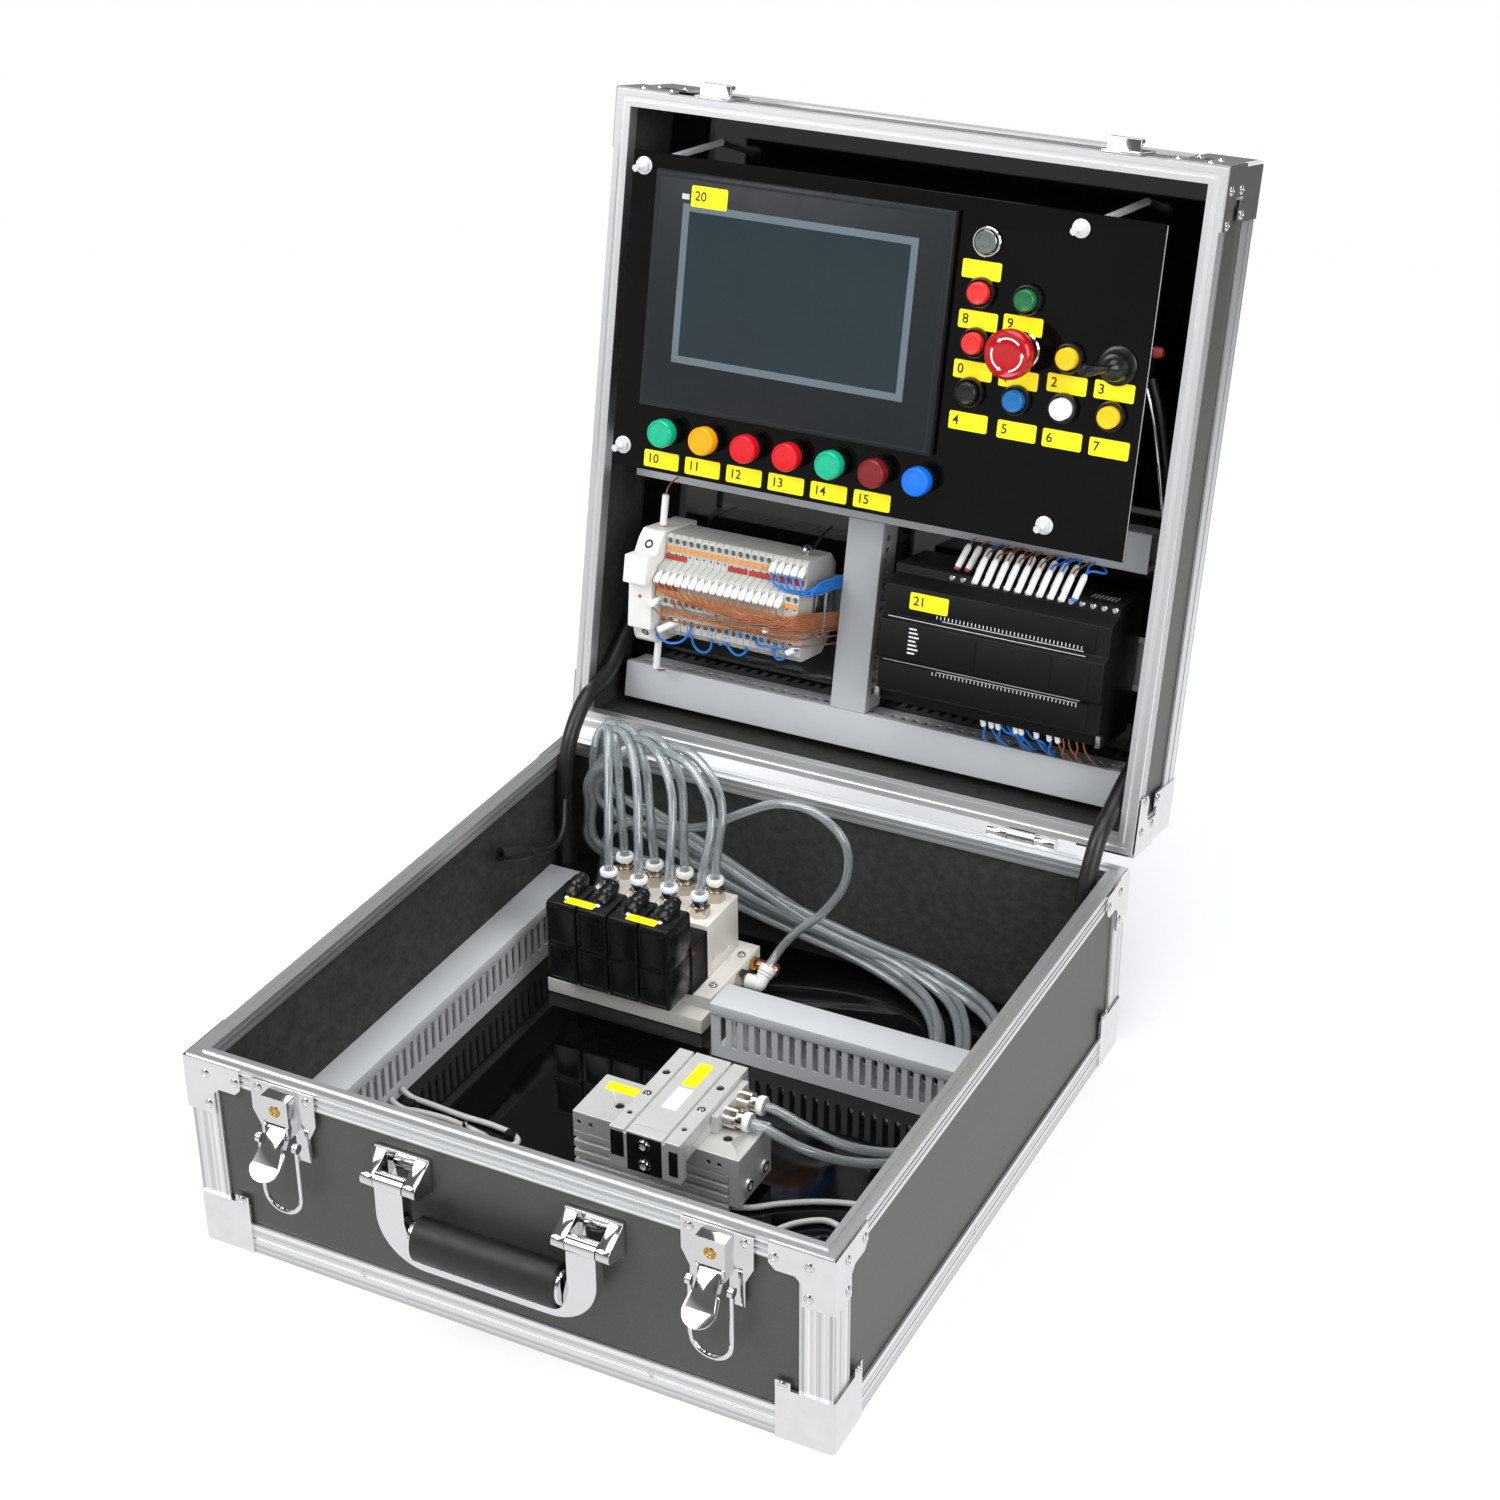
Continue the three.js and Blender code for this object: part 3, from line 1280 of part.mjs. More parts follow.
function operatorScreen() {
  const { width, height, proud, chamfer, rearDepth } = screen;
  const back = panel.depth - gap;
  const frontFace = back - proud;
  const halfW = width / 2;
  const halfH = height / 2;
  const middleY = lidY(screenS);
  const bevelled = new THREE.ExtrudeGeometry(
    new THREE.Shape([
      new THREE.Vector2(-halfW + chamfer, -halfH + chamfer),
      new THREE.Vector2(halfW - chamfer, -halfH + chamfer),
      new THREE.Vector2(halfW - chamfer, halfH - chamfer),
      new THREE.Vector2(-halfW + chamfer, halfH - chamfer),
    ]),
    {
      depth: proud - chamfer,
      bevelEnabled: true,
      bevelThickness: chamfer,
      bevelSize: chamfer,
      bevelSegments: 1,
    },
  );
  bevelled.translate(screenX, middleY, frontFace + chamfer);
  const trimmed = cut(
    solid(bevelled),
    block(around(screenX, width + 2 * overrun), around(middleY, height + 2 * overrun),
      [back, back + chamfer + overrun]),
  );
  const sunk = block(
    around(screenX, width * display.widthShare),
    around(middleY + height * display.liftShare, height * display.heightShare),
    [frontFace - overrun, frontFace + display.sink],
  );
  const rear = block(around(screenX, rearWidth), around(middleY, rearHeight),
    [back - bite, back + rearDepth]);
  return join(cut(trimmed, sunk), rear);
}

// Push-button caps slide in their housings
const button = { radius: 6.7, proud: 9, tail: 10, dome: 1 };

function pushButton(place) {
  const y = lidY(controlS(place));
  const { radius, proud, tail, dome } = button;
  const length = proud + tail;
  return turned(
    [[0, 0], [radius, 0], [radius, length - dome], [radius - dome, length], [0, length]],
    roundSides, [0, 0, -1], [controlX(place), y, panel.depth + tail],
  );
}

// Mushroom head of the emergency stop
const stop = { radius: 15, headThickness: 8, face: 27, neckRadius: 6.7, tail: 10, rim: 2 };

function emergencyStop() {
  const { radius, headThickness, face, neckRadius, tail, rim: edge } = stop;
  const length = face + tail;
  return turned(
    [
      [0, 0],
      [neckRadius, 0],
      [neckRadius, length - headThickness],
      [radius - edge, length - headThickness],
      [radius, length - headThickness + edge],
      [radius, length - edge],
      [radius - edge, length],
      [0, length],
    ],
    wideSides, [0, 0, -1], [controlX(stopPlace), lidY(controlS(stopPlace)), panel.depth + tail],
  );
}

// Toggle switch: booted housing on the panel, bat lever on a ball that turns about the lid's depth line
const toggle = {
  bootRadius: 9.5,
  bootTop: 8,
  bootHeight: 10,
  socketRadius: 6.6,
  ballRadius: 6,
  batLength: 24,
  batRoot: 2.4,
  batTip: 3.4,
  tilt: THREE.MathUtils.degToRad(20),
  tail: 16,
  tailRadius: 8,
  mouth: 7.6,
  sides: 12,
  ballSteps: 4,
  ballArc: 60,
};
const toggleAt = [controlX(togglePlace), lidY(controlS(togglePlace)), panel.depth - toggle.ballRadius - gap];

function toggleHousing() {
  const [x, y] = toggleAt;
  const { bootRadius, bootTop, bootHeight, socketRadius, mouth, tail, tailRadius, sides } = toggle;
  const body = turned(
    [
      [0, 0],
      [tailRadius, 0],
      [tailRadius, tail],
      [bootRadius, tail],
      [bootTop, tail + bootHeight],
      [0, tail + bootHeight],
    ],
    sides, [0, 0, -1], [x, y, panel.depth + tail],
  );
  const bore = turned(
    [[0, 0], [socketRadius, 0], [mouth, bootHeight + overrun], [0, bootHeight + overrun]],
    sides, [0, 0, -1], [x, y, panel.depth],
  );
  return { body, bore };
}

function toggleLever() {
  const { ballRadius, batLength, batRoot, batTip, tilt, sides, ballSteps, ballArc } = toggle;
  const profile = [[0, -ballRadius], ...arc([0, 0], ballRadius, -ballArc, ballArc, ballSteps)];
  profile.push([batRoot, ballRadius], [batTip, batLength - batTip], [batTip / 2, batLength], [0, batLength]);
  return turned(profile, sides, [-Math.sin(tilt), 0, -Math.cos(tilt)], toggleAt);
}
addPiece(lid, "control_panel", controlPanel(), blackAcrylic);
addPiece(lid, "operator_screen", operatorScreen(), blackPlastic);
buttons.forEach((place) => addPiece(lid, place.name, pushButton(place), capColour[place.colour]));
addPiece(lid, "emergency_stop", emergencyStop(), capColour.red);
addPiece(lid, "toggle_lever", toggleLever(), blackPlastic);

// Lid ducts stand on the mounting plate and face the rim
const lidDuctHeight = 27;
const ductEnds = { lowerLeft: 12.2, lowerRight: 11.2, upperLeft: 8.2, upperRight: 17.2 };
const lidDucts = {
  lower: {
    fromX: -innerX + ductEnds.lowerLeft,
    toX: innerX - ductEnds.lowerRight,
    middleS: lowerDuctS,
  },
  upper: {
    fromX: -innerX + ductEnds.upperLeft,
    toX: innerX - ductEnds.upperRight,
    middleS: upperDuctS,
  },
};
const flipToLid = new THREE.Matrix4().makeRotationX(Math.PI);

function lidDuctAcross({ fromX, toX, middleS }, slottedWalls) {
  const place = new THREE.Matrix4().makeTranslation(fromX, lidY(middleS), plateFront - gap);
  return placed(slottedDuct(toX - fromX, lidDuctHeight, slottedWalls), place.multiply(flipToLid));
}

function lidDuctUp() {
  const fromS = lidDucts.lower.middleS + duct.width / 2 + gap;
  const toS = lidDucts.upper.middleS - duct.width / 2 - gap;
  const turn = new THREE.Matrix4().makeRotationZ(-Math.PI / 2);
  const place = new THREE.Matrix4().makeTranslation(uprightDuctX, lidY(fromS), plateFront - gap);
  return placed(slottedDuct(toS - fromS, lidDuctHeight, [1]), place.multiply(turn).multiply(flipToLid));
}
addPiece(lid, "lid_duct_lower", lidDuctAcross(lidDucts.lower, [1]), greyPlastic);
addPiece(lid, "lid_duct_upper", lidDuctAcross(lidDucts.upper, []), greyPlastic);
addPiece(lid, "lid_duct_upright", lidDuctUp(), greyPlastic);

// How far the terminals and the fuse holder reach below and above the rail's middle
const stripReach = { half: 34, crownBelow: 12, crownAbove: 13 };
const fuseReach = { below: 42, above: 35, carrierBelow: 2, carrierAbove: 21, nose: 44 };

// Three-level terminal strip: one stepped profile, split into terminals by saw cuts
const terminal = {
  footS: railMiddle - stripReach.half,
  topS: railMiddle + stripReach.half,
  shoulder: 10,
  crownFrom: railMiddle - stripReach.crownBelow,
  crownTo: railMiddle + stripReach.crownAbove,
  slope: 4,
  backHalf: 26,
  sawWidth: 0.5,
  sawDepth: 2.5,
};
const railSeat = plateFront - dinRail.height - gap;

function terminalStrip() {
  const { footS, topS, shoulder, crownFrom, crownTo, slope, backHalf, sawWidth, sawDepth } = terminal;
  const middle = railMiddle;
  const profile = [
    [middle - backHalf, railSeat],
    [footS, railSeat - shoulder],
    [footS, shoulder + slope],
    [footS + slope, shoulder],
    [crownFrom - slope, shoulder],
    [crownFrom, 0],
    [crownTo, 0],
    [crownTo + slope, shoulder],
    [topS - slope, shoulder],
    [topS, shoulder + slope],
    [topS, railSeat - shoulder],
    [middle + backHalf, railSeat],
  ];
  const strip = prism(profile.map(([s, d]) => [lidY(s), d]), "x", [terminalLeft, terminalRight]);
  const cuts = Array.from({ length: terminalCount - 1 }, (_, i) => {
    const x = terminalLeft + (i + 1) * terminalPitch;
    return lidBlock(around(x, sawWidth), [footS - overrun, topS + overrun], [-overrun, shoulder + sawDepth]);
  });
  return cut(strip, cuts);
}
addPiece(lid, "terminal_strip", terminalStrip(), terminalPlastic);

// Fuse holder with its swing-out carrier
const fuse = {
  footS: railMiddle - fuseReach.below,
  topS: railMiddle + fuseReach.above,
  bodyFront: 4,
  carrierFront: -14,
  carrierFrom: railMiddle - fuseReach.carrierBelow,
  carrierTo: railMiddle + fuseReach.carrierAbove,
  nose: railMiddle - fuseReach.nose,
  wall: 5,
};

function fuseHolder() {
  const { footS, topS, bodyFront, carrierFront, carrierFrom, carrierTo, nose, wall } = fuse;
  const profile = [
    [footS, railSeat],
    [footS, bodyFront + wall],
    [footS + wall, bodyFront],
    [nose + wall, bodyFront - wall],
    [carrierFrom, bodyFront - 2 * wall],
    [carrierFrom, carrierFront],
    [carrierTo, carrierFront],
    [carrierTo, bodyFront - wall],
    [topS - wall, bodyFront],
    [topS, bodyFront + wall],
    [topS, railSeat],
  ];
  return prism(profile.map(([s, d]) => [lidY(s), d]), "x", [fuseLeft, fuseLeft + fuseWidth]);
}
addPiece(lid, "fuse_holder", fuseHolder(), whitePlastic);

// Logic controller: stepped moulded housing with a terminal strip behind each cover
function controller() {
  const { width, frontFace, coverFace, stripFace, stripWidth, coverWidth, stepHeight } = plc;
  const footS = controllerFootS;
  const topS = controllerTopS;
  const profile = [
    [footS, railSeat],
    [footS, stripFace],
    [footS + stripWidth / 2, stripFace],
    [footS + stripWidth, coverFace],
    [footS + stripWidth + coverWidth, coverFace],
    [footS + stripWidth + coverWidth + stepHeight, frontFace],
    [topS - stripWidth - coverWidth - stepHeight, frontFace],
    [topS - stripWidth - coverWidth, coverFace],
    [topS - stripWidth, coverFace],
    [topS - stripWidth / 2, stripFace],
    [topS, stripFace],
    [topS, railSeat],
  ];
  const body = prism(profile.map(([s, d]) => [lidY(s), d]), "x", [controllerLeft, controllerLeft + width]);
  const vents = Array.from({ length: plc.ventCount }, (_, i) => {
    const x = controllerLeft + ((i + 1) * width) / (plc.ventCount + 1);
    return lidBlock(around(x, plc.ventWidth), [topS - plc.ventDepth, topS + overrun],
      [stripFace + plc.ventMargin, railSeat - plc.ventMargin]);
  });
  return cut(body, vents);
}
addPiece(lid, "logic_controller", controller(), blackPlastic);

// Cables and tubes, each along its own hand-laid route. Points count inwards from the walls beside them:
// from the left or right wall, and forwards from the back wall
const cable = {
  step: 18,
  outletStep: 25,
  wideStep: 26,
  thinStep: 12,
  bundleRadius: 5.4,
  wrapRadius: 6,
  sensorRadius: 1.9,
  leadRadius: 2.2,
};
const fromLeft = ([x, y, z]) => [-innerX + x, innerY - y, z];
const fromRight = ([x, y, z]) => [innerX - x, innerY - y, z];
const acrossBack = ([share, y, z]) => [-innerX + 2 * innerX * share, innerY - y, z];
const lidPoint = (x, s, d) => {
  const point = new THREE.Vector3(x, lidY(s), d).applyAxisAngle(new THREE.Vector3(1, 0, 0), -openAngle);
  return point.add(lid.position).toArray();
};
const leftBundleInLid = [
  [6, 62, 61.4],
  [6, 62, 48],
  [6.6, 50, 33],
  [8, 37, 18],
  [8.4, 29, 3],
  [8.2, 23, -13],
];
const leftBundleInCase = [
  [8.2, 16.2, 139],
  [8.2, 23.7, 118],
  [8.2, 26.7, 95],
  [8.7, 27.7, 70],
  [10.2, 28.7, 45],
  [12.2, 30.2, 30],
  [12.8, 34.9, 28],
];
const rightBundleInLid = [
  [6.6, 62, 61.4],
  [6.6, 62, 47],
  [6.6, 50, 31],
  [8.2, 36, 13],
  [8.8, 24, -3],
  [9.2, 14, -16],
];
const rightBundleInCase = [
  [10.2, 13.2, 128],
  [11.2, 16.2, 112],
  [11.7, 18.2, 85],
  [11.7, 21.2, 55],
  [12.2, 30.2, 32],
  [14.2, 52.2, 22],
  [16.2, 82.2, 20],
  [17.2, 110.9, 20],
];
const leftBundleRoute = [
  ...leftBundleInLid.map(([x, s, d]) => lidPoint(-innerX + x, s, d)),
  ...leftBundleInCase.map(fromLeft),
];
const rightBundleRoute = [
  ...rightBundleInLid.map(([x, s, d]) => lidPoint(innerX - x, s, d)),
  ...rightBundleInCase.map(fromRight),
];
const leftBundle = tube(leftBundleRoute, cable.bundleRadius, thinSides, cable.wideStep);
const rightBundle = tube(rightBundleRoute, cable.wrapRadius, thinSides, cable.wideStep);
addPiece(model, "cable_bundle_left", leftBundle, blackCable);
addPiece(model, "cable_bundle_right", rightBundle, blackCable);

const leadRoute = [
  [11.6, 31.7, 100.7],
  [15.3, 38.9, 94.8],
  [19.4, 48.2, 88],
  [21.2, 60.2, 84.5],
  [20.7, 74.2, 87],
  [18.7, 84.8, 91.2],
].map(fromLeft);
const plug = { radius: 5, bootRadius: 3.6, bootLength: 7, length: 26, sides: 12 };
addPiece(model, "power_lead", tube(leadRoute, cable.leadRadius, thinSides, cable.thinStep), blackCable);

function powerSocket() {
  const end = new THREE.Vector3(...leadRoute.at(-1));
  const before = new THREE.Vector3(...leadRoute.at(-2));
  const direction = end.clone().sub(before).normalize();
  const along = (distance) => end.clone().addScaledVector(direction, distance).toArray();
  const foot = gap + plug.bootLength;
  return join(
    bar(plug.bootRadius, along(gap), along(foot + bite), plug.sides),
    bar(plug.radius, along(foot), along(foot + plug.length), plug.sides),
  );
}
addPiece(model, "power_socket", powerSocket(), blackPlastic);

// Eight outlet tubes rise from the fittings to the back corner and fall into one bundle;
// the supply tube loops over from the elbow, and three returns cross the back to the cross duct
const bundleRadius = 9;
const bundleCorner = [
  [34.2, 21.2, 138],
  [28.2, 16.2, 118],
  [26.2, 13.2, 90],
  [26.2, 12.2, 60],
  [28.2, 12.2, 32],
  [36.2, 13.2, 21],
].map(fromLeft);
const [, bundleTop, bundleMiddle, bundleLow] = bundleCorner;
const outletRoutes = [
  [
    [66.2, 0, 112],
    [55.2, 0.45, 142],
    [42.2, 0.9, 160],
    [33.2, 1, 150],
    [32.2, 1, 136],
  ],
  [
    [88.2, 0, 112],
    [77.2, 0.4, 142],
    [57.2, 0.85, 160],
    [40.2, 1, 154],
    [34.2, 1, 134],
  ],
  [
    [112.2, 0, 112],
    [104.2, 0.35, 140],
    [80.2, 0.75, 159],
    [52.2, 1, 150],
    [36.2, 1, 132],
  ],
  [
    [138.2, 0, 112],
    [134.2, 0.3, 136],
    [110.2, 0.6, 156],
    [78.2, 0.85, 153],
    [48.2, 1, 136],
    [34.2, 1, 122],
  ],
];
const outletSwing = [
  { start: 68.2, end: 21.2 },
  { start: 51.2, end: 14.2 },
];

function outletRoute(valveIndex, rowIndex) {
  const swing = outletSwing[rowIndex];
  const from = innerY - swing.start;
  const run = swing.start - swing.end;
  const start = [valveX[valveIndex], fitting.rows[rowIndex], fittingTop + gap];
  const lifted = [start[0], start[1], start[2] + fitting.ringHeight];
  const rest = outletRoutes[valveIndex].map(([x, share, z]) => [-innerX + x, from + run * share, z]);
  return [start, lifted, ...rest];
}
const supplyRoute = [
  [190.2, 44.2, 54],
  [210.2, 46.2, 76],
  [225.2, 45.2, 103],
  [224.2, 44.7, 130],
  [204.2, 44.2, 146],
  [178.2, 43.2, 146],
  [150.2, 41.2, 131],
  [122.2, 36.2, 112],
  [87.2, 26.2, 96],
  [52.2, 18.2, 86],
].map(fromLeft);
const upperReturn = [
  [0.1878, 8.2, 92],
  [0.3439, 4.2, 62],
  [0.5, 5.2, 38],
  [0.6561, 6.2, 26],
  [0.7601, 20.2, 18],
  [0.8174, 52.2, 15],
  [0.8434, 84.2, 16],
  [0.859, 110.9, 20],
].map(acrossBack);
const middleReturn = [
  [0.2138, 6.2, 70],
  [0.3959, 5.2, 46],
  [0.578, 5.2, 30],
  [0.7341, 6.2, 20],
  [0.8434, 26.2, 15],
  [0.885, 62.2, 15],
  [0.8954, 90.2, 16],
  [0.9006, 110.9, 20],
].map(acrossBack);
const lowerReturn = [
  [0.2399, 7.2, 48],
  [0.422, 5.2, 32],
  [0.6041, 8.2, 20],
  [0.7185, 26.2, 15],
  [0.7758, 56.2, 15],
  [0.8018, 86.2, 16],
  [0.8122, 110.9, 20],
].map(acrossBack);
const returnRoutes = [
  [bundleTop, ...upperReturn],
  [bundleMiddle, ...middleReturn],
  [bundleLow, ...lowerReturn],
];

function valveTubes() {
  const outlets = valveX.flatMap((_, i) => fitting.rows.map((_, row) =>
    tube(outletRoute(i, row), tubeRadius, thinSides, cable.outletStep)));
  const returns = returnRoutes.map((route) => tube(route, tubeRadius, thinSides, cable.wideStep));
  const supplyStart = new THREE.Vector3(...elbowMouth);
  const towards = new THREE.Vector3(elbow.ring / 2, elbow.run, elbow.rise).normalize();
  const start = supplyStart.clone().addScaledVector(towards, 2 * gap).toArray();
  const straight = supplyStart.addScaledVector(towards, elbow.run).toArray();
  const supply = tube([start, straight, ...supplyRoute, bundleMiddle], tubeRadius, thinSides, cable.wideStep);
  const bundle = tube(bundleCorner, bundleRadius, thinSides, cable.step);
  return filled(join(bundle, outlets, returns, supply));
}
addPiece(model, "valve_tubes", valveTubes(), clearTube);

// Two tubes from the upper slide to the cross duct: shares of the way to the right wall and to the duct
const slideTubeStart = upperRightX + gap + upper.portDepth + fittingTop - valve.bodyTop + gap;
const slideTubeEndY = crossDuct.centreY - duct.width / 2 - gap;
const frontSlideTube = [
  [0, 0, 56.5],
  [0.0552, 0, 56],
  [0.231, 0.0281, 47],
  [0.4229, 0.1406, 37],
  [0.6307, 0.3468, 30],
  [0.7746, 0.6092, 26],
  [0.8225, 0.8341, 23],
  [0.8225, 1, 22],
];
const backSlideTube = [
  [0, 0, 56.5],
  [0.0552, 0, 56],
  [0.215, 0.0113, 49],
  [0.3909, 0.0676, 40.5],
  [0.5827, 0.2368, 33.5],
  [0.7266, 0.5073, 29],
  [0.7786, 0.7779, 24],
  [0.7826, 1, 22],
];

function slideTube(points, startY) {
  const route = points.map(([shareX, shareY, z]) => [
    slideTubeStart + (innerX - slideTubeStart) * shareX,
    startY + (slideTubeEndY - startY) * shareY,
    z,
  ]);
  return tube(route, tubeRadius, thinSides, cable.step);
}
const [frontPortY, backPortY] = upper.fittingRows;
const slideTubes = join(slideTube(frontSlideTube, frontPortY), slideTube(backSlideTube, backPortY));
addPiece(model, "slide_tubes", slideTubes, clearTube);

// Sensor cables lie on the floor plate, the left one from its duct, the right one from the slide's end.
// The left counts from the left wall, the right is given as shares of the way to the right wall.
const sensorZ = seat + cable.sensorRadius;
const sensorLift = 0.6;
const sensorExitZ = 17;
const leftSensorRoute = [
  [25.6, -58, sensorExitZ],
  [32.2, -58, sensorZ + sensorLift],
  [46.2, -58.5, sensorZ],
  [70.2, -60, sensorZ],
  [94.2, -60, sensorZ],
  [110.2, -63, sensorZ],
  [115.2, -69, sensorZ],
  [108.2, -74, sensorZ],
  [88.2, -70, sensorZ],
  [64.2, -67, sensorZ],
  [46.2, -68, sensorZ],
  [32.2, -70, sensorZ + sensorLift],
  [25.6, -70, sensorExitZ],
].map(([x, y, z]) => [-innerX + x, y, z]);
const rightSensorShares = [
  [0, -65],
  [0.0763, -61],
  [0.1876, -50],
  [0.3625, -37],
  [0.5374, -30],
  [0.7122, -30],
  [0.8394, -38],
  [0.8712, -54],
  [0.7758, -66],
  [0.601, -60],
  [0.442, -52],
  [0.3148, -62],
  [0.2512, -74],
  [0.1876, -90],
];
const sensorStart = lower.rightX + bite;
const rightSensorRoute = rightSensorShares.map(([share, y]) => [
  sensorStart + (innerX - sensorStart) * share,
  y,
  sensorZ,
]);
const sensorCable = (route) => tube(route, cable.sensorRadius, thinSides, cable.thinStep);
addPiece(model, "sensor_cable_left", sensorCable(leftSensorRoute), greyCable);
addPiece(model, "sensor_cable_right", sensorCable(rightSensorRoute), greyCable);

export default model;
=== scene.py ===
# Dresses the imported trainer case: cords first, then the case, the pneumatics and the lid.
import math
import bpy
from mathutils import Matrix, Vector


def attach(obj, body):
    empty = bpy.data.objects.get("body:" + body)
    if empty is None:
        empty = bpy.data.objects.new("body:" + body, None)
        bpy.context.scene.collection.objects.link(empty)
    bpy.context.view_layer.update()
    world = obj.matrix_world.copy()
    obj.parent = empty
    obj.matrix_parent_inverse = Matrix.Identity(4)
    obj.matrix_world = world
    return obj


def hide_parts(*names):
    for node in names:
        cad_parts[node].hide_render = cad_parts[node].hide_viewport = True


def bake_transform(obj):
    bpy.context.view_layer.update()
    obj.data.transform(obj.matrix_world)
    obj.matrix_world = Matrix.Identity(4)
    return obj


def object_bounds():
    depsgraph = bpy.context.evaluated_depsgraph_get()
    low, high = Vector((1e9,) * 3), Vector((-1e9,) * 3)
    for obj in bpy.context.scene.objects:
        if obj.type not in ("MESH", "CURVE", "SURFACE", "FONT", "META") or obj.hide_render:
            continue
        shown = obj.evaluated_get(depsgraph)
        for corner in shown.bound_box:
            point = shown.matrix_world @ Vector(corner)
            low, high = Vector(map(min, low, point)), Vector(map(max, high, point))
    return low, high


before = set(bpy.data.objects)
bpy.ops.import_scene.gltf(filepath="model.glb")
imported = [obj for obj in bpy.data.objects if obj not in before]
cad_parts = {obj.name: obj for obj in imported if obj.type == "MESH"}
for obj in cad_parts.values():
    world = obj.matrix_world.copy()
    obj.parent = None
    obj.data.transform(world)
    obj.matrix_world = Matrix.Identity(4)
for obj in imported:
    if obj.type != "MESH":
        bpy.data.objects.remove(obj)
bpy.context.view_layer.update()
millimetre = 0.001

# The lid stands open: s runs up it from the hinge, o comes out of it towards the user
lidTurn = math.radians(78)
lidFrame = Matrix.Translation((0, 0.21604, 0.13389)) @ Matrix.Rotation(lidTurn, 4, "X")


def mm(x, y, z):
    return Vector((x, y, z)) * millimetre


def clearSelection():
    active = bpy.context.view_layer.objects.active
    if active and active.mode != "OBJECT":
        bpy.ops.object.mode_set(mode="OBJECT")
    bpy.ops.object.select_all(action="DESELECT")


def takeUp(piece):
    clearSelection()
    piece.select_set(True)
    bpy.context.view_layer.objects.active = piece


def settle(piece):
    takeUp(piece)
    bpy.ops.object.transform_apply(location=True, rotation=True, scale=True)
    return piece


def addBlock(name, low, high):
    clearSelection()
    middle = [(a + b) / 2 * millimetre for a, b in zip(low, high)]
    bpy.ops.mesh.primitive_cube_add(size=1, location=middle)
    block = bpy.context.object
    block.name = name
    block.scale = [abs(b - a) * millimetre for a, b in zip(low, high)]
    return settle(block)


def turnTo(direction):
    return Vector((0, 0, 1)).rotation_difference(Vector(direction).normalized()).to_matrix().to_4x4()


def startEdit(piece):
    takeUp(piece)
    bpy.ops.object.mode_set(mode="EDIT")
    bpy.ops.mesh.select_all(action="SELECT")


def endEdit():
    bpy.ops.object.mode_set(mode="OBJECT")


# A turned piece grows from a disc: each (radius, height) extrudes and scales the last ring
def turnPiece(name, profile, foot=(0, 0, 0), axis=(0, 0, 1), sides=32):
    clearSelection()
    radius, height = profile[0]
    bpy.ops.mesh.primitive_circle_add(
        vertices=sides, radius=radius * millimetre, fill_type="NGON", location=(0, 0, height * millimetre)
    )
    piece = bpy.context.object
    piece.name = name
    settle(piece)
    startEdit(piece)
    for nextRadius, nextHeight in profile[1:]:
        rise = (nextHeight - height) * millimetre
        bpy.ops.mesh.extrude_region_move(TRANSFORM_OT_translate={"value": (0, 0, rise)})
        if abs(nextRadius - radius) > 1e-6:
            share = nextRadius / radius
            bpy.ops.transform.resize(value=(share, share, 1), center_override=(0, 0, nextHeight * millimetre))
        radius, height = nextRadius, nextHeight
    bpy.ops.mesh.select_all(action="SELECT")
    bpy.ops.mesh.normals_make_consistent(inside=False)
    endEdit()
    piece.data.transform(Matrix.Translation(mm(*foot)) @ turnTo(axis))
    return piece


def bevelEdges(piece, width, segments=2, angle=40):
    takeUp(piece)
    bevel = piece.modifiers.new("edge", "BEVEL")
    bevel.width = width * millimetre
    bevel.segments = segments
    bevel.limit_method = "ANGLE"
    bevel.angle_limit = math.radians(angle)
    bpy.ops.object.modifier_apply(modifier="edge")
    return piece


def pickFaces(piece, test):
    takeUp(piece)
    bpy.ops.object.mode_set(mode="EDIT")
    bpy.ops.mesh.select_mode(type="FACE")
    bpy.ops.mesh.select_all(action="DESELECT")
    bpy.ops.object.mode_set(mode="OBJECT")
    for face in piece.data.polygons:
        face.select = bool(test(face.center / millimetre, face.normal))
    bpy.ops.object.mode_set(mode="EDIT")


def sinkFaces(piece, test, rim, depth):
    pickFaces(piece, test)
    bpy.ops.mesh.inset(thickness=rim * millimetre, depth=0)
    bpy.ops.mesh.inset(thickness=0.0001 * millimetre, depth=-depth * millimetre)
    endEdit()
    return piece


def joinPieces(name, pieces):
    clearSelection()
    for piece in pieces:
        piece.select_set(True)
    bpy.context.view_layer.objects.active = pieces[0]
    bpy.ops.object.join()
    pieces[0].name = name
    return pieces[0]


# Boxes given by their low and high corners, joined, with their edges softened
def addBlocks(name, boxes, edge=0, segments=2):
    blocks = joinPieces(name, [addBlock("block", low, high) for low, high in boxes])
    return bevelEdges(blocks, edge, segments) if edge else blocks


def copyPiece(piece, name, place):
    twin = piece.copy()
    twin.data = piece.data.copy()
    twin.name = name
    bpy.context.scene.collection.objects.link(twin)
    twin.data.transform(place)
    return twin


def shifted(x, y, z):
    return Matrix.Translation(mm(x, y, z))


def stand(foot, axis):
    return Matrix.Translation(mm(*foot)) @ turnTo(axis)


def placeCopies(name, piece, places):
    copies = [copyPiece(piece, f"{name}{i}", place) for i, place in enumerate(places)]
    bpy.data.objects.remove(piece)
    return joinPieces(name, copies)


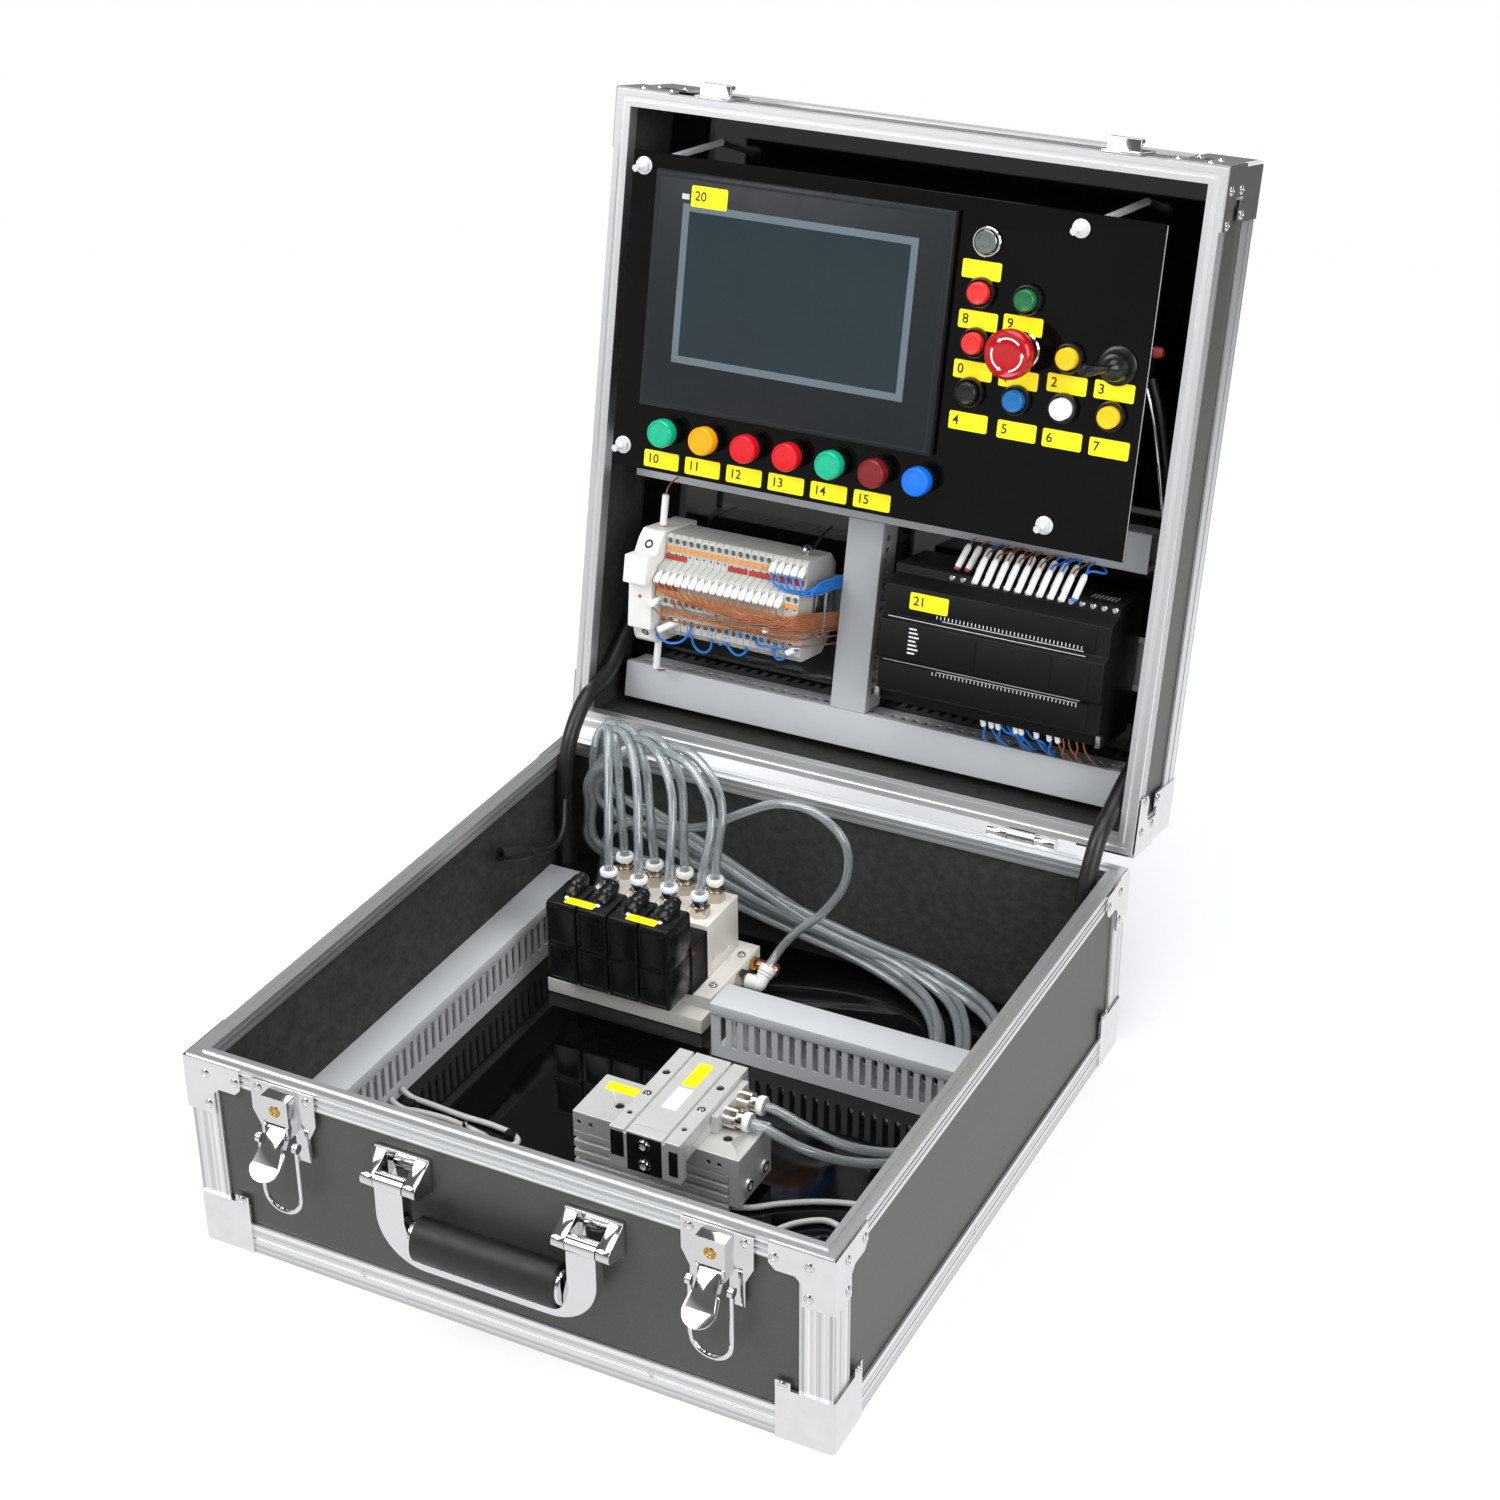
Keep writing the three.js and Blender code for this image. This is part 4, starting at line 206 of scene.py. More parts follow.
# A loose-triangle CAD node, merged and given soft edges
def softenNode(nodeName, name, width):
    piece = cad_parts[nodeName].copy()
    piece.data = piece.data.copy()
    piece.name = name
    piece.parent = None
    piece.matrix_world = Matrix.Identity(4)
    for key in [key for key in piece.keys() if key.startswith("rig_")]:
        del piece[key]
    bpy.context.scene.collection.objects.link(piece)
    startEdit(piece)
    bpy.ops.mesh.remove_doubles(threshold=0.01 * millimetre)
    bpy.ops.mesh.dissolve_limited(angle_limit=math.radians(1))
    endEdit()
    return bevelEdges(piece, width)


def dressPiece(piece, body, surface, replaces=(), onLid=False, smooth=35):
    if onLid:
        piece.data.transform(lidFrame)
    piece.data.materials.clear()
    piece.data.materials.append(surfaces[surface])
    takeUp(piece)
    bpy.ops.object.shade_smooth_by_angle(angle=math.radians(smooth))
    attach(piece, body)
    if replaces:
        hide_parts(*replaces)
    return piece


# The same for a piece modelled in the lid's flat frame
def dressOnLid(piece, surface, replaces=(), body="lid", smooth=35):
    return dressPiece(piece, body, surface, replaces, True, smooth)


# Materials
def linear(hexColour):
    channels = [int(hexColour[i:i + 2], 16) / 255 for i in (1, 3, 5)]
    return [c / 12.92 if c <= 0.04045 else ((c + 0.055) / 1.055) ** 2.4 for c in channels] + [1.0]


# A setting that is another node's output becomes a link
def addNode(tree, kind, settings=None):
    node = tree.nodes.new("ShaderNode" + kind)
    for key, value in (settings or {}).items():
        if isinstance(value, bpy.types.NodeSocket):
            tree.links.new(value, node.inputs[key])
        elif isinstance(key, int) or key in node.inputs:
            node.inputs[key].default_value = value
        else:
            setattr(node, key, value)
    return node


def compute(tree, operation, first, second=0.0, third=0.0):
    return addNode(tree, "Math", {"operation": operation, 0: first, 1: second, 2: third}).outputs[0]


def mixTones(tree, share, first, second):
    first, second = (linear(tone) if isinstance(tone, str) else tone for tone in (first, second))
    return addNode(tree, "Mix", {"data_type": "RGBA", 0: share, 6: first, 7: second}).outputs[2]


def mixValues(tree, share, first, second):
    return addNode(tree, "Mix", {"data_type": "FLOAT", 0: share, 2: first, 3: second}).outputs[0]


def mapValue(tree, value, low, high, fromLow=0.0, fromHigh=1.0):
    settings = {"Value": value, "From Min": fromLow, "From Max": fromHigh, "To Min": low, "To Max": high}
    return addNode(tree, "MapRange", settings).outputs["Result"]


# Cloudy noise, its patches of a size in mm
def addNoise(tree, vector, size, detail=2.0, roughness=0.5):
    settings = {"Vector": vector, "Scale": 1000 / size, "Detail": detail, "Roughness": roughness}
    return addNode(tree, "TexNoise", settings).outputs["Fac"]


def addBump(tree, height, strength, depth):
    settings = {"Height": height, "Strength": strength, "Distance": depth * millimetre}
    return addNode(tree, "Bump", settings).outputs["Normal"]


surfaces = {}


def startMaterial(name):
    surface = bpy.data.materials.new(name)
    surface.use_nodes = True
    surface.node_tree.nodes.clear()
    surfaces[name] = surface
    return surface.node_tree


def closeSurface(tree, settings):
    shader = addNode(tree, "BsdfPrincipled", settings)
    addNode(tree, "OutputMaterial", {"Surface": shader.outputs["BSDF"]})


# A look has two tones, the range of roughness between them and the grain of their clouding in mm.
# relief and depth are the size and height in mm of the surface texture
plainLook = {"metal": 0, "relief": 1, "depth": 0.01, "bump": 0.2, "specular": 0.5}


def lookOf(base, second, smoothest, roughest, grain, **others):
    return {**plainLook, "tones": (base, second), "rough": (smoothest, roughest), "grain": grain, **others}


looks = {
    # Milled slide bodies, clear anodised: paler and flatter than the case trim
    "milledAluminium": lookOf("#e4e4e1", "#d8d8d5", 0.38, 0.5, 7, metal=0.6, relief=0.5, bump=0.3),
    # Nickel-plated pressed steel: a mirror with a slight ripple from the press
    "nickelPlate": lookOf("#dededf", "#d2d3d6", 0.05, 0.13, 14, metal=1, relief=9, depth=0.08, bump=0.35),
    # Chromed zinc casting of the handle: the brightest mirror here
    "chromedZinc": lookOf("#e6e6e8", "#dcdde0", 0.04, 0.09, 20, metal=1, relief=16, depth=0.08, bump=0.25),
    # Zinc-plated rail clamps: duller, slightly blue
    "zincPlate": lookOf("#c3c6c9", "#aeb2b6", 0.22, 0.36, 3, metal=1, relief=1.2, depth=0.02, bump=0.3),
    # Bright plated studs of the operator panel
    "studSteel": lookOf("#e2e3e4", "#d3d4d6", 0.2, 0.3, 3, metal=0.3, relief=1.2, depth=0.02),
    # Rigid PVC duct, extruded: even grey with a low sheen
    "rigidPvc": lookOf("#bbbdbf", "#b1b3b5", 0.36, 0.48, 24, relief=2, depth=0.02),
    # Cast acrylic sheet, polished: deep black that mirrors what stands on it
    "castAcrylic": lookOf("#070809", "#040505", 0.03, 0.08, 40, relief=30, depth=0.05, bump=0.15,
                          specular=0.4),
    "panelAcrylic": lookOf("#050606", "#040404", 0.06, 0.12, 40, relief=30, depth=0.05, bump=0.1,
                           specular=0.12),
    # Spark-eroded ABS of the controller: matt black
    "mattAbs": lookOf("#0f1011", "#0b0c0c", 0.44, 0.56, 12, relief=0.5, depth=0.03, bump=0.4, specular=0.22),
    # Glass-filled coil mouldings: black with a soft gloss
    "glossAbs": lookOf("#121314", "#0b0c0d", 0.2, 0.34, 9, relief=1.2, depth=0.02, bump=0.25),
    # Enamelled die casting of the valve bodies: warm off-white
    "ivoryEnamel": lookOf("#ebe7df", "#e1dcd2", 0.3, 0.42, 10, relief=1.6, depth=0.02, bump=0.3),
    # Nickel-plated brass fittings: a warm metal
    "nickelBrass": lookOf("#cfc5b6", "#bfb4a3", 0.14, 0.26, 4, metal=1),
    # Acetal release rings: milky white
    "acetal": lookOf("#f0f0ee", "#e4e4e1", 0.3, 0.42, 3),
    # Laminated label tape and its figures
    "labelTape": lookOf("#ffe600", "#f7dc00", 0.3, 0.4, 8, relief=3, depth=0.02),
    "labelInk": lookOf("#26251c", "#1c1b14", 0.4, 0.5, 2, depth=0.005, bump=0.1),
    # Polyamide mouldings of the terminals and the fuse holder
    "greyPolyamide": lookOf("#bcbcb6", "#b0b0aa", 0.4, 0.52, 6, depth=0.02, bump=0.3),
    "whitePolyamide": lookOf("#e6e6e2", "#dadad5", 0.36, 0.46, 8, depth=0.02, bump=0.3),
    "orangePolyamide": lookOf("#e8953a", "#d98428", 0.34, 0.44, 3),
    "redPolyamide": lookOf("#b0382e", "#9c2d25", 0.34, 0.44, 3),
    # Near-black discs set just inside bores: painted shade at their bottoms
    "darkHole": lookOf("#0b0b0c", "#070708", 0.6, 0.7, 2, bump=0.1),
    # Flexible PVC jackets, and the polyamide collars of the conductors
    "brownPvc": lookOf("#a0643f", "#8a5030", 0.34, 0.44, 5, relief=2, depth=0.02),
    "bluePvc": lookOf("#1f7ad6", "#1a6dc2", 0.34, 0.44, 5, relief=2, depth=0.02),
    "blackPvc": lookOf("#191a1c", "#111213", 0.34, 0.46, 6, relief=2, depth=0.03, bump=0.3),
    "greyPvc": lookOf("#bab9b4", "#adaca7", 0.4, 0.5, 6, relief=2, depth=0.02),
    "ferruleWhite": lookOf("#f1f1ef", "#e5e5e2", 0.4, 0.5, 3),
    # Moulded rubber roll of the handle, with a fine crease
    "mouldedRubber": lookOf("#141515", "#0e0f0f", 0.42, 0.56, 12, relief=0.8, depth=0.05, bump=0.4),
    "brass": lookOf("#c9a052", "#b78c3f", 0.14, 0.26, 2, metal=1),
    "copperFlash": lookOf("#e0a78f", "#cf8f76", 0.14, 0.26, 5, metal=1, relief=2, depth=0.02),
    # Glossy mushroom head of the emergency stop, and the dull plated centre of the power button
    "stopRed": lookOf("#a90d17", "#980a13", 0.08, 0.14, 9, relief=6, depth=0.02, bump=0.15),
    "buttonSteel": lookOf("#8f9b93", "#7c8981", 0.2, 0.3, 3, metal=1, relief=2),
    # The screen: matt bezel, grey printed border, glass over a dark panel
    "screenBezel": lookOf("#1f2326", "#191c1f", 0.36, 0.46, 14, relief=0.5, depth=0.02, bump=0.3,
                          specular=0.25),
    "screenBorder": lookOf("#5b676e", "#525d64", 0.18, 0.26, 30, relief=9, bump=0.1),
    "screenGlass": lookOf("#1c2930", "#162127", 0.05, 0.1, 60, relief=30, bump=0.1, specular=0.3),
    "whitePrint": lookOf("#dfe0e0", "#cfd0d0", 0.4, 0.5, 2, depth=0.005, bump=0.1),
}
# Polycarbonate caps of the controls
capTones = {
    "redCap": ("#e0312c", "#cf2621"), "greenCap": ("#16693c", "#115a32"), "yellowCap": ("#f2bd0e", "#e6b005"),
    "blueCap": ("#0d6cb0", "#0a5f9d"), "whiteCap": ("#f2f2f2", "#e7e7e7"), "blackCap": ("#161718", "#0f1011"),
}
for name, tones in capTones.items():
    looks[name] = lookOf(*tones, 0.2, 0.3, 6, relief=3)
# Ribbed signal lenses, unlit
lensTones = {
    "greenLens": ("#0fb38a", "#0a9974"), "amberLens": ("#f7a400", "#e79200"),
    "redLens": ("#d6121f", "#bd0c18"),
    "darkRedLens": ("#7c1a1d", "#671417"), "blueLens": ("#0c6fe6", "#085fcb"),
}
for name, tones in lensTones.items():
    looks[name] = lookOf(*tones, 0.12, 0.2, 4, relief=1.6, depth=0.1, bump=0.5)
looks["darkRedLens"]["rough"] = (0.2, 0.3)


def buildSurface(name, look):
    tree = startMaterial(name)
    coords = addNode(tree, "TexCoord").outputs["Object"]
    cloud = addNoise(tree, coords, look["grain"], 4.0)
    fine = addNoise(tree, coords, look["relief"], 3.0)
    closeSurface(tree, {
        "Base Color": mixTones(tree, cloud, *look["tones"]),
        "Roughness": mapValue(tree, cloud, *look["rough"], 0.3, 0.7),
        "Normal": addBump(tree, fine, look["bump"], look["depth"]),
        "Metallic": look["metal"], "Specular IOR Level": look["specular"],
    })


# Coordinates of a case half in its own flat frame, so that inside and outside can be told apart
lidMiddle = 210


def halfCoordinates(tree, onLid):
    settings = {"Vector": addNode(tree, "TexCoord").outputs["Object"]}
    if onLid:
        settings["Rotation"] = (-lidTurn, 0, 0)
        settings["Location"] = tuple(lidFrame.inverted().translation - mm(0, lidMiddle, 0))
    vector = addNode(tree, "Mapping", settings).outputs["Vector"]
    axes = addNode(tree, "SeparateXYZ", {"Vector": vector}).outputs
    return vector, compute(tree, "ABSOLUTE", axes["X"]), compute(tree, "ABSOLUTE", axes["Y"]), axes["Z"]


# Pebbled ABS laminate outside, mottled foam lining inside
shellLook = {"panel": ("#424443", "#383a38"), "lining": ("#333633", "#202321"), "pebble": 0.9, "mottle": 7,
             "wallX": 195, "wallY": 205, "floor": 5, "lidFloor": -66, "rough": (0.4, 0.85),
             "bump": (0.6, 0.12)}


def buildShellSurface(name, onLid):
    look = shellLook
    tree = startMaterial(name)
    vector, absX, absY, z = halfCoordinates(tree, onLid)
    withinX = compute(tree, "LESS_THAN", absX, look["wallX"] * millimetre)
    withinY = compute(tree, "LESS_THAN", absY, look["wallY"] * millimetre)
    above = compute(tree, "GREATER_THAN", z, look["lidFloor" if onLid else "floor"] * millimetre)
    inside = compute(tree, "MULTIPLY", compute(tree, "MULTIPLY", withinX, withinY), above)
    pebble = addNode(tree, "TexVoronoi",
                     {"Vector": vector, "Scale": 1000 / look["pebble"]}).outputs["Distance"]
    mottle = mapValue(tree, addNoise(tree, vector, look["mottle"], 6.0, 0.7), 0.0, 1.0, 0.35, 0.65)
    panel = mixTones(tree, pebble, *look["panel"])
    lining = mixTones(tree, mottle, *look["lining"])
    closeSurface(tree, {
        "Base Color": mixTones(tree, inside, panel, lining),
        "Roughness": mapValue(tree, inside, *look["rough"]),
        "Normal": addBump(tree, pebble, *look["bump"]),
    })


# Satin extrusion, with the corner plates and caps that stand proud of it nickel plated.
# A corner post is given by its middle and half its height, ranges run from satin to plate
trimLook = {"satin": ("#f0f1f1", "#b4b7b9"), "plate": ("#eeeeef", "#dcdde0"), "faceX": 200.15,
            "faceY": 210.15,
            "postX": 180, "postY": 190, "post": (59, 57), "lidPost": (-40.5, 27.5), "line": 3.2, "ripple": 14,
            "rough": (0.32, 0.1), "metal": (0.85, 1.0), "bump": (0.3, 0.04)}


def buildTrimSurface(name, onLid):
    look = trimLook
    tree = startMaterial(name)
    vector, absX, absY, z = halfCoordinates(tree, onLid)
    pastX = compute(tree, "GREATER_THAN", absX, look["faceX"] * millimetre)
    pastY = compute(tree, "GREATER_THAN", absY, look["faceY"] * millimetre)
    plated = compute(tree, "MAXIMUM", pastX, pastY)
    # Light and dark lines run along each length, painted highlights and shade standing in for the extrusion's
    # ribs: upright on the corner posts, level elsewhere
    nearX = compute(tree, "GREATER_THAN", absX, look["postX"] * millimetre)
    nearY = compute(tree, "GREATER_THAN", absY, look["postY"] * millimetre)
    middle, reach = look["lidPost" if onLid else "post"]
    level = compute(tree, "COMPARE", z, middle * millimetre, reach * millimetre)
    post = compute(tree, "MULTIPLY", compute(tree, "MULTIPLY", nearX, nearY), level)
    along = mixValues(tree, post, z, compute(tree, "ADD", absX, absY))
    settings = {"noise_dimensions": "1D", "W": along, "Scale": 1000 / look["line"], "Detail": 2.0}
    paintedRibLines = mapValue(tree, addNode(tree, "TexNoise", settings).outputs["Fac"], 0.0, 1.0, 0.35, 0.65)
    ripple = addNoise(tree, vector, look["ripple"])
    # The satin colour runs between a painted highlight and a painted shade along those lines
    satin = mixTones(tree, paintedRibLines, *look["satin"])
    plate = mixTones(tree, ripple, *look["plate"])
    closeSurface(tree, {
        "Base Color": mixTones(tree, plated, satin, plate),
        "Roughness": mapValue(tree, plated, *look["rough"]),
        "Metallic": mapValue(tree, plated, *look["metal"]),
        "Normal": addBump(tree, mixValues(tree, plated, paintedRibLines, ripple), *look["bump"]),
    })


# Acrylic mounting plate whose rails and rods, in front of it, are bright plated
mountingLook = {"acrylic": ("#070809", "#040505"), "plating": "#d9dbdd", "cloud": 30, "front": -61.7,
                "rough": (0.05, 0.28), "metal": (0.0, 0.3)}


def buildMountingSurface(name):
    look = mountingLook
    tree = startMaterial(name)
    vector, absX, absY, z = halfCoordinates(tree, True)
    proud = compute(tree, "GREATER_THAN", z, look["front"] * millimetre)
    acrylic = mixTones(tree, addNoise(tree, vector, look["cloud"]), *look["acrylic"])
    closeSurface(tree, {
        "Base Color": mixTones(tree, proud, acrylic, look["plating"]),
        "Roughness": mapValue(tree, proud, *look["rough"]),
        "Metallic": mapValue(tree, proud, *look["metal"]),
    })


# Clear polyurethane tube: glassy walls round an open bore, faintly blue
tubeLook = {"tones": ("#f4f8f9", "#e6eef1"), "cloud": 9, "rough": (0.02, 0.08), "radius": 3, "wall": 0.9,
            "glass": {"IOR": 1.45, "Transmission Weight": 0.88, "Coat Weight": 0.4, "Coat Roughness": 0.04}}


def buildTubeSurface(name):
    look = tubeLook
    tree = startMaterial(name)
    cloud = addNoise(tree, addNode(tree, "TexCoord").outputs["Object"], look["cloud"])
    closeSurface(tree, {
        "Base Color": mixTones(tree, cloud, *look["tones"]),
        "Roughness": mapValue(tree, cloud, *look["rough"]), **look["glass"],
    })


for name, look in looks.items():
    buildSurface(name, look)
for half, onLid in (("", False), ("Lid", True)):
    buildShellSurface("pebbledLaminate" + half, onLid)
    buildTrimSurface("caseTrim" + half, onLid)
buildMountingSurface("acrylicAndZinc")
buildTubeSurface("clearPolyurethane")
print("materials ready:", len(surfaces))

# Camera, as fitted to the photograph
cameraSettings = {"place": (0.651, -1.1738, 0.999), "azimuth": 27.246, "elevation": 28.658, "roll": -0.429,
                  "lens": 65.16, "sensor": 36}


def addCamera(settings):
    azimuth, elevation, roll = (math.radians(settings[key]) for key in ("azimuth", "elevation", "roll"))
    back = Vector((math.sin(azimuth) * math.cos(elevation), -math.cos(azimuth) * math.cos(elevation),
                   math.sin(elevation)))
    right = Vector((0, 0, 1)).cross(back).normalized()
    up = back.cross(right)
    turnedRight = right * math.cos(roll) + up * math.sin(roll)
    turnedUp = up * math.cos(roll) - right * math.sin(roll)
    clearSelection()
    bpy.ops.object.camera_add(location=settings["place"])
    camera = bpy.context.object
    camera.name = "photoCamera"
    camera.data.lens = settings["lens"]
    camera.data.sensor_width = settings["sensor"]
    camera.data.sensor_fit = "HORIZONTAL"
    rotation = Matrix((turnedRight, turnedUp, back)).transposed()
    camera.matrix_world = Matrix.Translation(settings["place"]) @ rotation.to_4x4()
    bpy.context.scene.camera = camera


addCamera(cameraSettings)
bpy.context.scene.view_settings.view_transform = "Standard"


def ringOf(radius, count, centre=(0, 0), fromTurn=0, toTurn=360):
    span = toTurn - fromTurn
    steps = count if span == 360 else count - 1
    turns = [math.radians(fromTurn + span * i / steps) for i in range(count)]
    return [(centre[0] + radius * math.cos(t), centre[1] + radius * math.sin(t)) for t in turns]


# Cords: each follows its solid's own route, in mm here and laid in metres
def evenPoints(points, count):
    lengths = [0.0]
    for before, after in zip(points, points[1:]):
        lengths.append(lengths[-1] + (after - before).length)
    out = []
    index = 0
    for step in range(count):
        target = lengths[-1] * step / (count - 1)
        while index < len(points) - 2 and lengths[index + 1] < target:
            index += 1
        span = max(lengths[index + 1] - lengths[index], 1e-9)
        out.append(points[index].lerp(points[index + 1], min(1, (target - lengths[index]) / span)))
    return out


def smoothRoute(points, count):
    knots = [mm(*point) for point in points]
    knots = [2 * knots[0] - knots[1]] + knots + [2 * knots[-1] - knots[-2]]
    dense = []
    for a, b, c, d in zip(knots, knots[1:], knots[2:], knots[3:]):
        first, middle, last = [max((q - p).length, 1e-6) ** 0.5 for p, q in ((a, b), (b, c), (c, d))]
        leave = ((b - a) / first - (c - a) / (first + middle) + (c - b) / middle) * middle
        arrive = ((c - b) / middle - (d - b) / (middle + last) + (d - c) / last) * middle
        for step in range(30):
            t = step / 30
            dense.append(
                b * (2 * t ** 3 - 3 * t ** 2 + 1) + leave * (t ** 3 - 2 * t ** 2 + t)
                + c * (3 * t ** 2 - 2 * t ** 3) + arrive * (t ** 3 - t ** 2)
            )
    dense.append(knots[-2])
    return evenPoints(dense, count)


def layTube(name, path, radius, roundness=2, wall=None):
    data = bpy.data.curves.new(name, "CURVE")
    data.dimensions = "3D"
    data.resolution_u = 4
    data.bevel_depth = radius * millimetre
    data.bevel_resolution = roundness
    data.use_fill_caps = wall is None
    spline = data.splines.new("BEZIER")
    spline.bezier_points.add(len(path) - 1)
    for knot, point in zip(spline.bezier_points, path):
        knot.co = point
        knot.handle_left_type = knot.handle_right_type = "AUTO"
    piece = bpy.data.objects.new(name, data)
    bpy.context.scene.collection.objects.link(piece)
    takeUp(piece)
    bpy.ops.object.convert(target="MESH")
    piece = bpy.context.object
    if wall:
        shellWall = piece.modifiers.new("wall", "SOLIDIFY")
        shellWall.thickness = wall * millimetre
        shellWall.offset = -1
        bpy.ops.object.modifier_apply(modifier="wall")
    return piece


def layCord(name, route, radius, knots, surface, slot, node, body="case", bend=None, wall=None, lay="taut",
            roundness=2, pathKnots=None, farEnd="object", **carried):
    piece = layTube(name, smoothRoute(route, knots), radius, roundness, wall)
    piece.data.materials.append(surfaces[surface])
    takeUp(piece)
    bpy.ops.object.shade_smooth_by_angle(angle=math.radians(50))
    if bend:
        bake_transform(piece)
    else:
        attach(piece, body)
    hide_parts(node)
    return piece


def lidPoint(x, s, d):
    return tuple((lidFrame @ mm(x, s, -d)) / millimetre)


hingeBend = ("case", "lid", (0, 0.19, 0.1), (0, 0.19, 0.18))
bundles = {
    "leftBundle": {
        "node": "cable_bundle_left", "radius": 5.4,
        "lid": [(-186.2, 62, 61.4), (-186.2, 62, 48), (-185.6, 50, 33), (-184.2, 37, 18), (-183.8, 29, 3),
                (-184, 23, -13)],
        "case": [(-184, 186, 139), (-184, 178.5, 118), (-184, 175.5, 95), (-183.5, 174.5, 70),
                 (-182, 173.5, 45), (-180, 172, 30), (-179.4, 167.3, 28)],
    },
    "rightBundle": {
        "node": "cable_bundle_right", "radius": 5.6,
        "lid": [(185.6, 62, 61.4), (185.6, 62, 47), (185.6, 50, 31), (184, 36, 13), (183.4, 24, -3),
                (183, 14, -16)],
        "case": [(182, 189, 128), (181, 186, 112), (180.5, 184, 85), (180.5, 181, 55), (180, 172, 32),
                 (178, 150, 22), (176, 120, 20), (175, 91.3, 20)],
    },
}
for name, cable in bundles.items():
    route = [lidPoint(*point) for point in cable["lid"]] + cable["case"]
    layCord(name, route, cable["radius"], 32, "blackPvc", "black_cable", cable["node"], bend=hingeBend,
            roundness=4)

# Sensor cables of the slides, lying on the floor plate
sensorZ = 12.3
sensorRoutes = {
    "leftSensorCable": {
        "node": "sensor_cable_left",
        "route": [(-166.6, -58, 17), (-160, -58, 12.9), (-146, -58.5, sensorZ), (-122, -60, sensorZ),
                  (-98, -60, sensorZ), (-82, -63, sensorZ), (-77, -69, sensorZ), (-84, -74, sensorZ),
                  (-104, -70, sensorZ), (-128, -67, sensorZ), (-146, -68, sensorZ), (-160, -70, 12.9),
                  (-166.6, -70, 17)],
    },
    "rightSensorCable": {
        "node": "sensor_cable_right",
        "route": [(66.4, -65, sensorZ), (76, -61, sensorZ), (90, -50, sensorZ), (112, -37, sensorZ),
                  (134, -30, sensorZ), (156, -30, sensorZ), (172, -38, sensorZ), (176, -54, sensorZ),
                  (164, -66, sensorZ), (142, -60, sensorZ), (122, -52, sensorZ), (106, -62, sensorZ),
                  (98, -74, sensorZ), (90, -90, sensorZ)],
    },
}
for name, cable in sensorRoutes.items():
    layCord(name, cable["route"], 1.9, 40, "greyPvc", "grey_cable", cable["node"], lay="loose")

# Power lead, whose in-line socket hangs from it in its last direction
leadRoute = [(-180.6, 170.5, 100.7), (-176.9, 163.3, 94.8), (-172.8, 154, 88), (-171, 142, 84.5),
             (-171.5, 128, 87), (-173.5, 117.4, 91.2)]
socketProfile = [
    (2.4, 0.3), (3.4, 0.8), (3.6, 2), (3.2, 3), (3.6, 4), (3.2, 5), (3.6, 6), (3.6, 7.3), (4.4, 7.6),
    (5, 8.4), (5, 31.6), (4.4, 33.3), (2.1, 33.3), (2.1, 24),
]
pinProfile = [(0.6, 24.2), (0.6, 31), (0.3, 31.6)]
leadEnd = Vector(leadRoute[-1])
leadDirection = (leadEnd - Vector(leadRoute[-2])).normalized()
powerSocket = turnPiece("powerSocket", socketProfile, leadEnd, leadDirection, 28)
dressPiece(powerSocket, "case", "blackPvc", ["power_socket"])
socketPin = turnPiece("powerSocketPin", pinProfile, leadEnd, leadDirection, 10)
dressPiece(socketPin, "case", "brass")
layCord("powerLead", leadRoute, 2.2, 16, "blackPvc", "black_cable", "power_lead", lay="hanging", pathKnots=60,
        farEnd="connector", with_pieces=[powerSocket, socketPin])


def layClearTube(name, route, knots, node, **others):
    layCord(name, route, tubeLook["radius"], knots, "clearPolyurethane", "clear_tube", node,
            wall=tubeLook["wall"], lay="loose", **others)


# Valve tubes: eight outlets rise, fall as one bundle in the back corner and cross the back to the duct
ductSide = 91.3
backMost = 198
valveX = [-123.2, -100.9, -78.6, -56.3]
outletRows = [(128, 134, 181), (149, 151, 188)]
outletRise = [
    [(-126, 0, 112), (-137, 0.45, 142), (-150, 0.9, 160), (-159, 1, 150)],
    [(-104, 0, 112), (-115, 0.4, 142), (-135, 0.85, 160), (-152, 1, 154)],
    [(-80, 0, 112), (-88, 0.35, 140), (-112, 0.75, 159), (-140, 1, 150)],
    [(-54, 0, 112), (-58, 0.3, 136), (-82, 0.6, 156), (-114, 0.85, 153), (-144, 1, 136)],
]
cornerFall = [(-164, 186, 112), (-166, 189, 90), (-166, 190, 60)]
bundlePlaces = [(0, 0)] + ringOf(6.2, 7, (0, 0), 15, 321)
crossings = [
    [(-120, 194, 92), (-60, 198, 62), (0, 197, 38), (60, 196, 26), (100, 182, 18), (122, 150, 15),
     (132, 118, 16), (138, ductSide, 20)],
    [(-110, 196, 70), (-40, 197, 46), (30, 197, 30), (90, 196, 20), (132, 176, 15), (148, 140, 15),
     (152, 112, 16), (154, ductSide, 20)],
    [(-100, 195, 48), (-30, 197, 32), (40, 194, 20), (84, 176, 15), (106, 146, 15), (116, 116, 16),
     (120, ductSide, 20)],
]
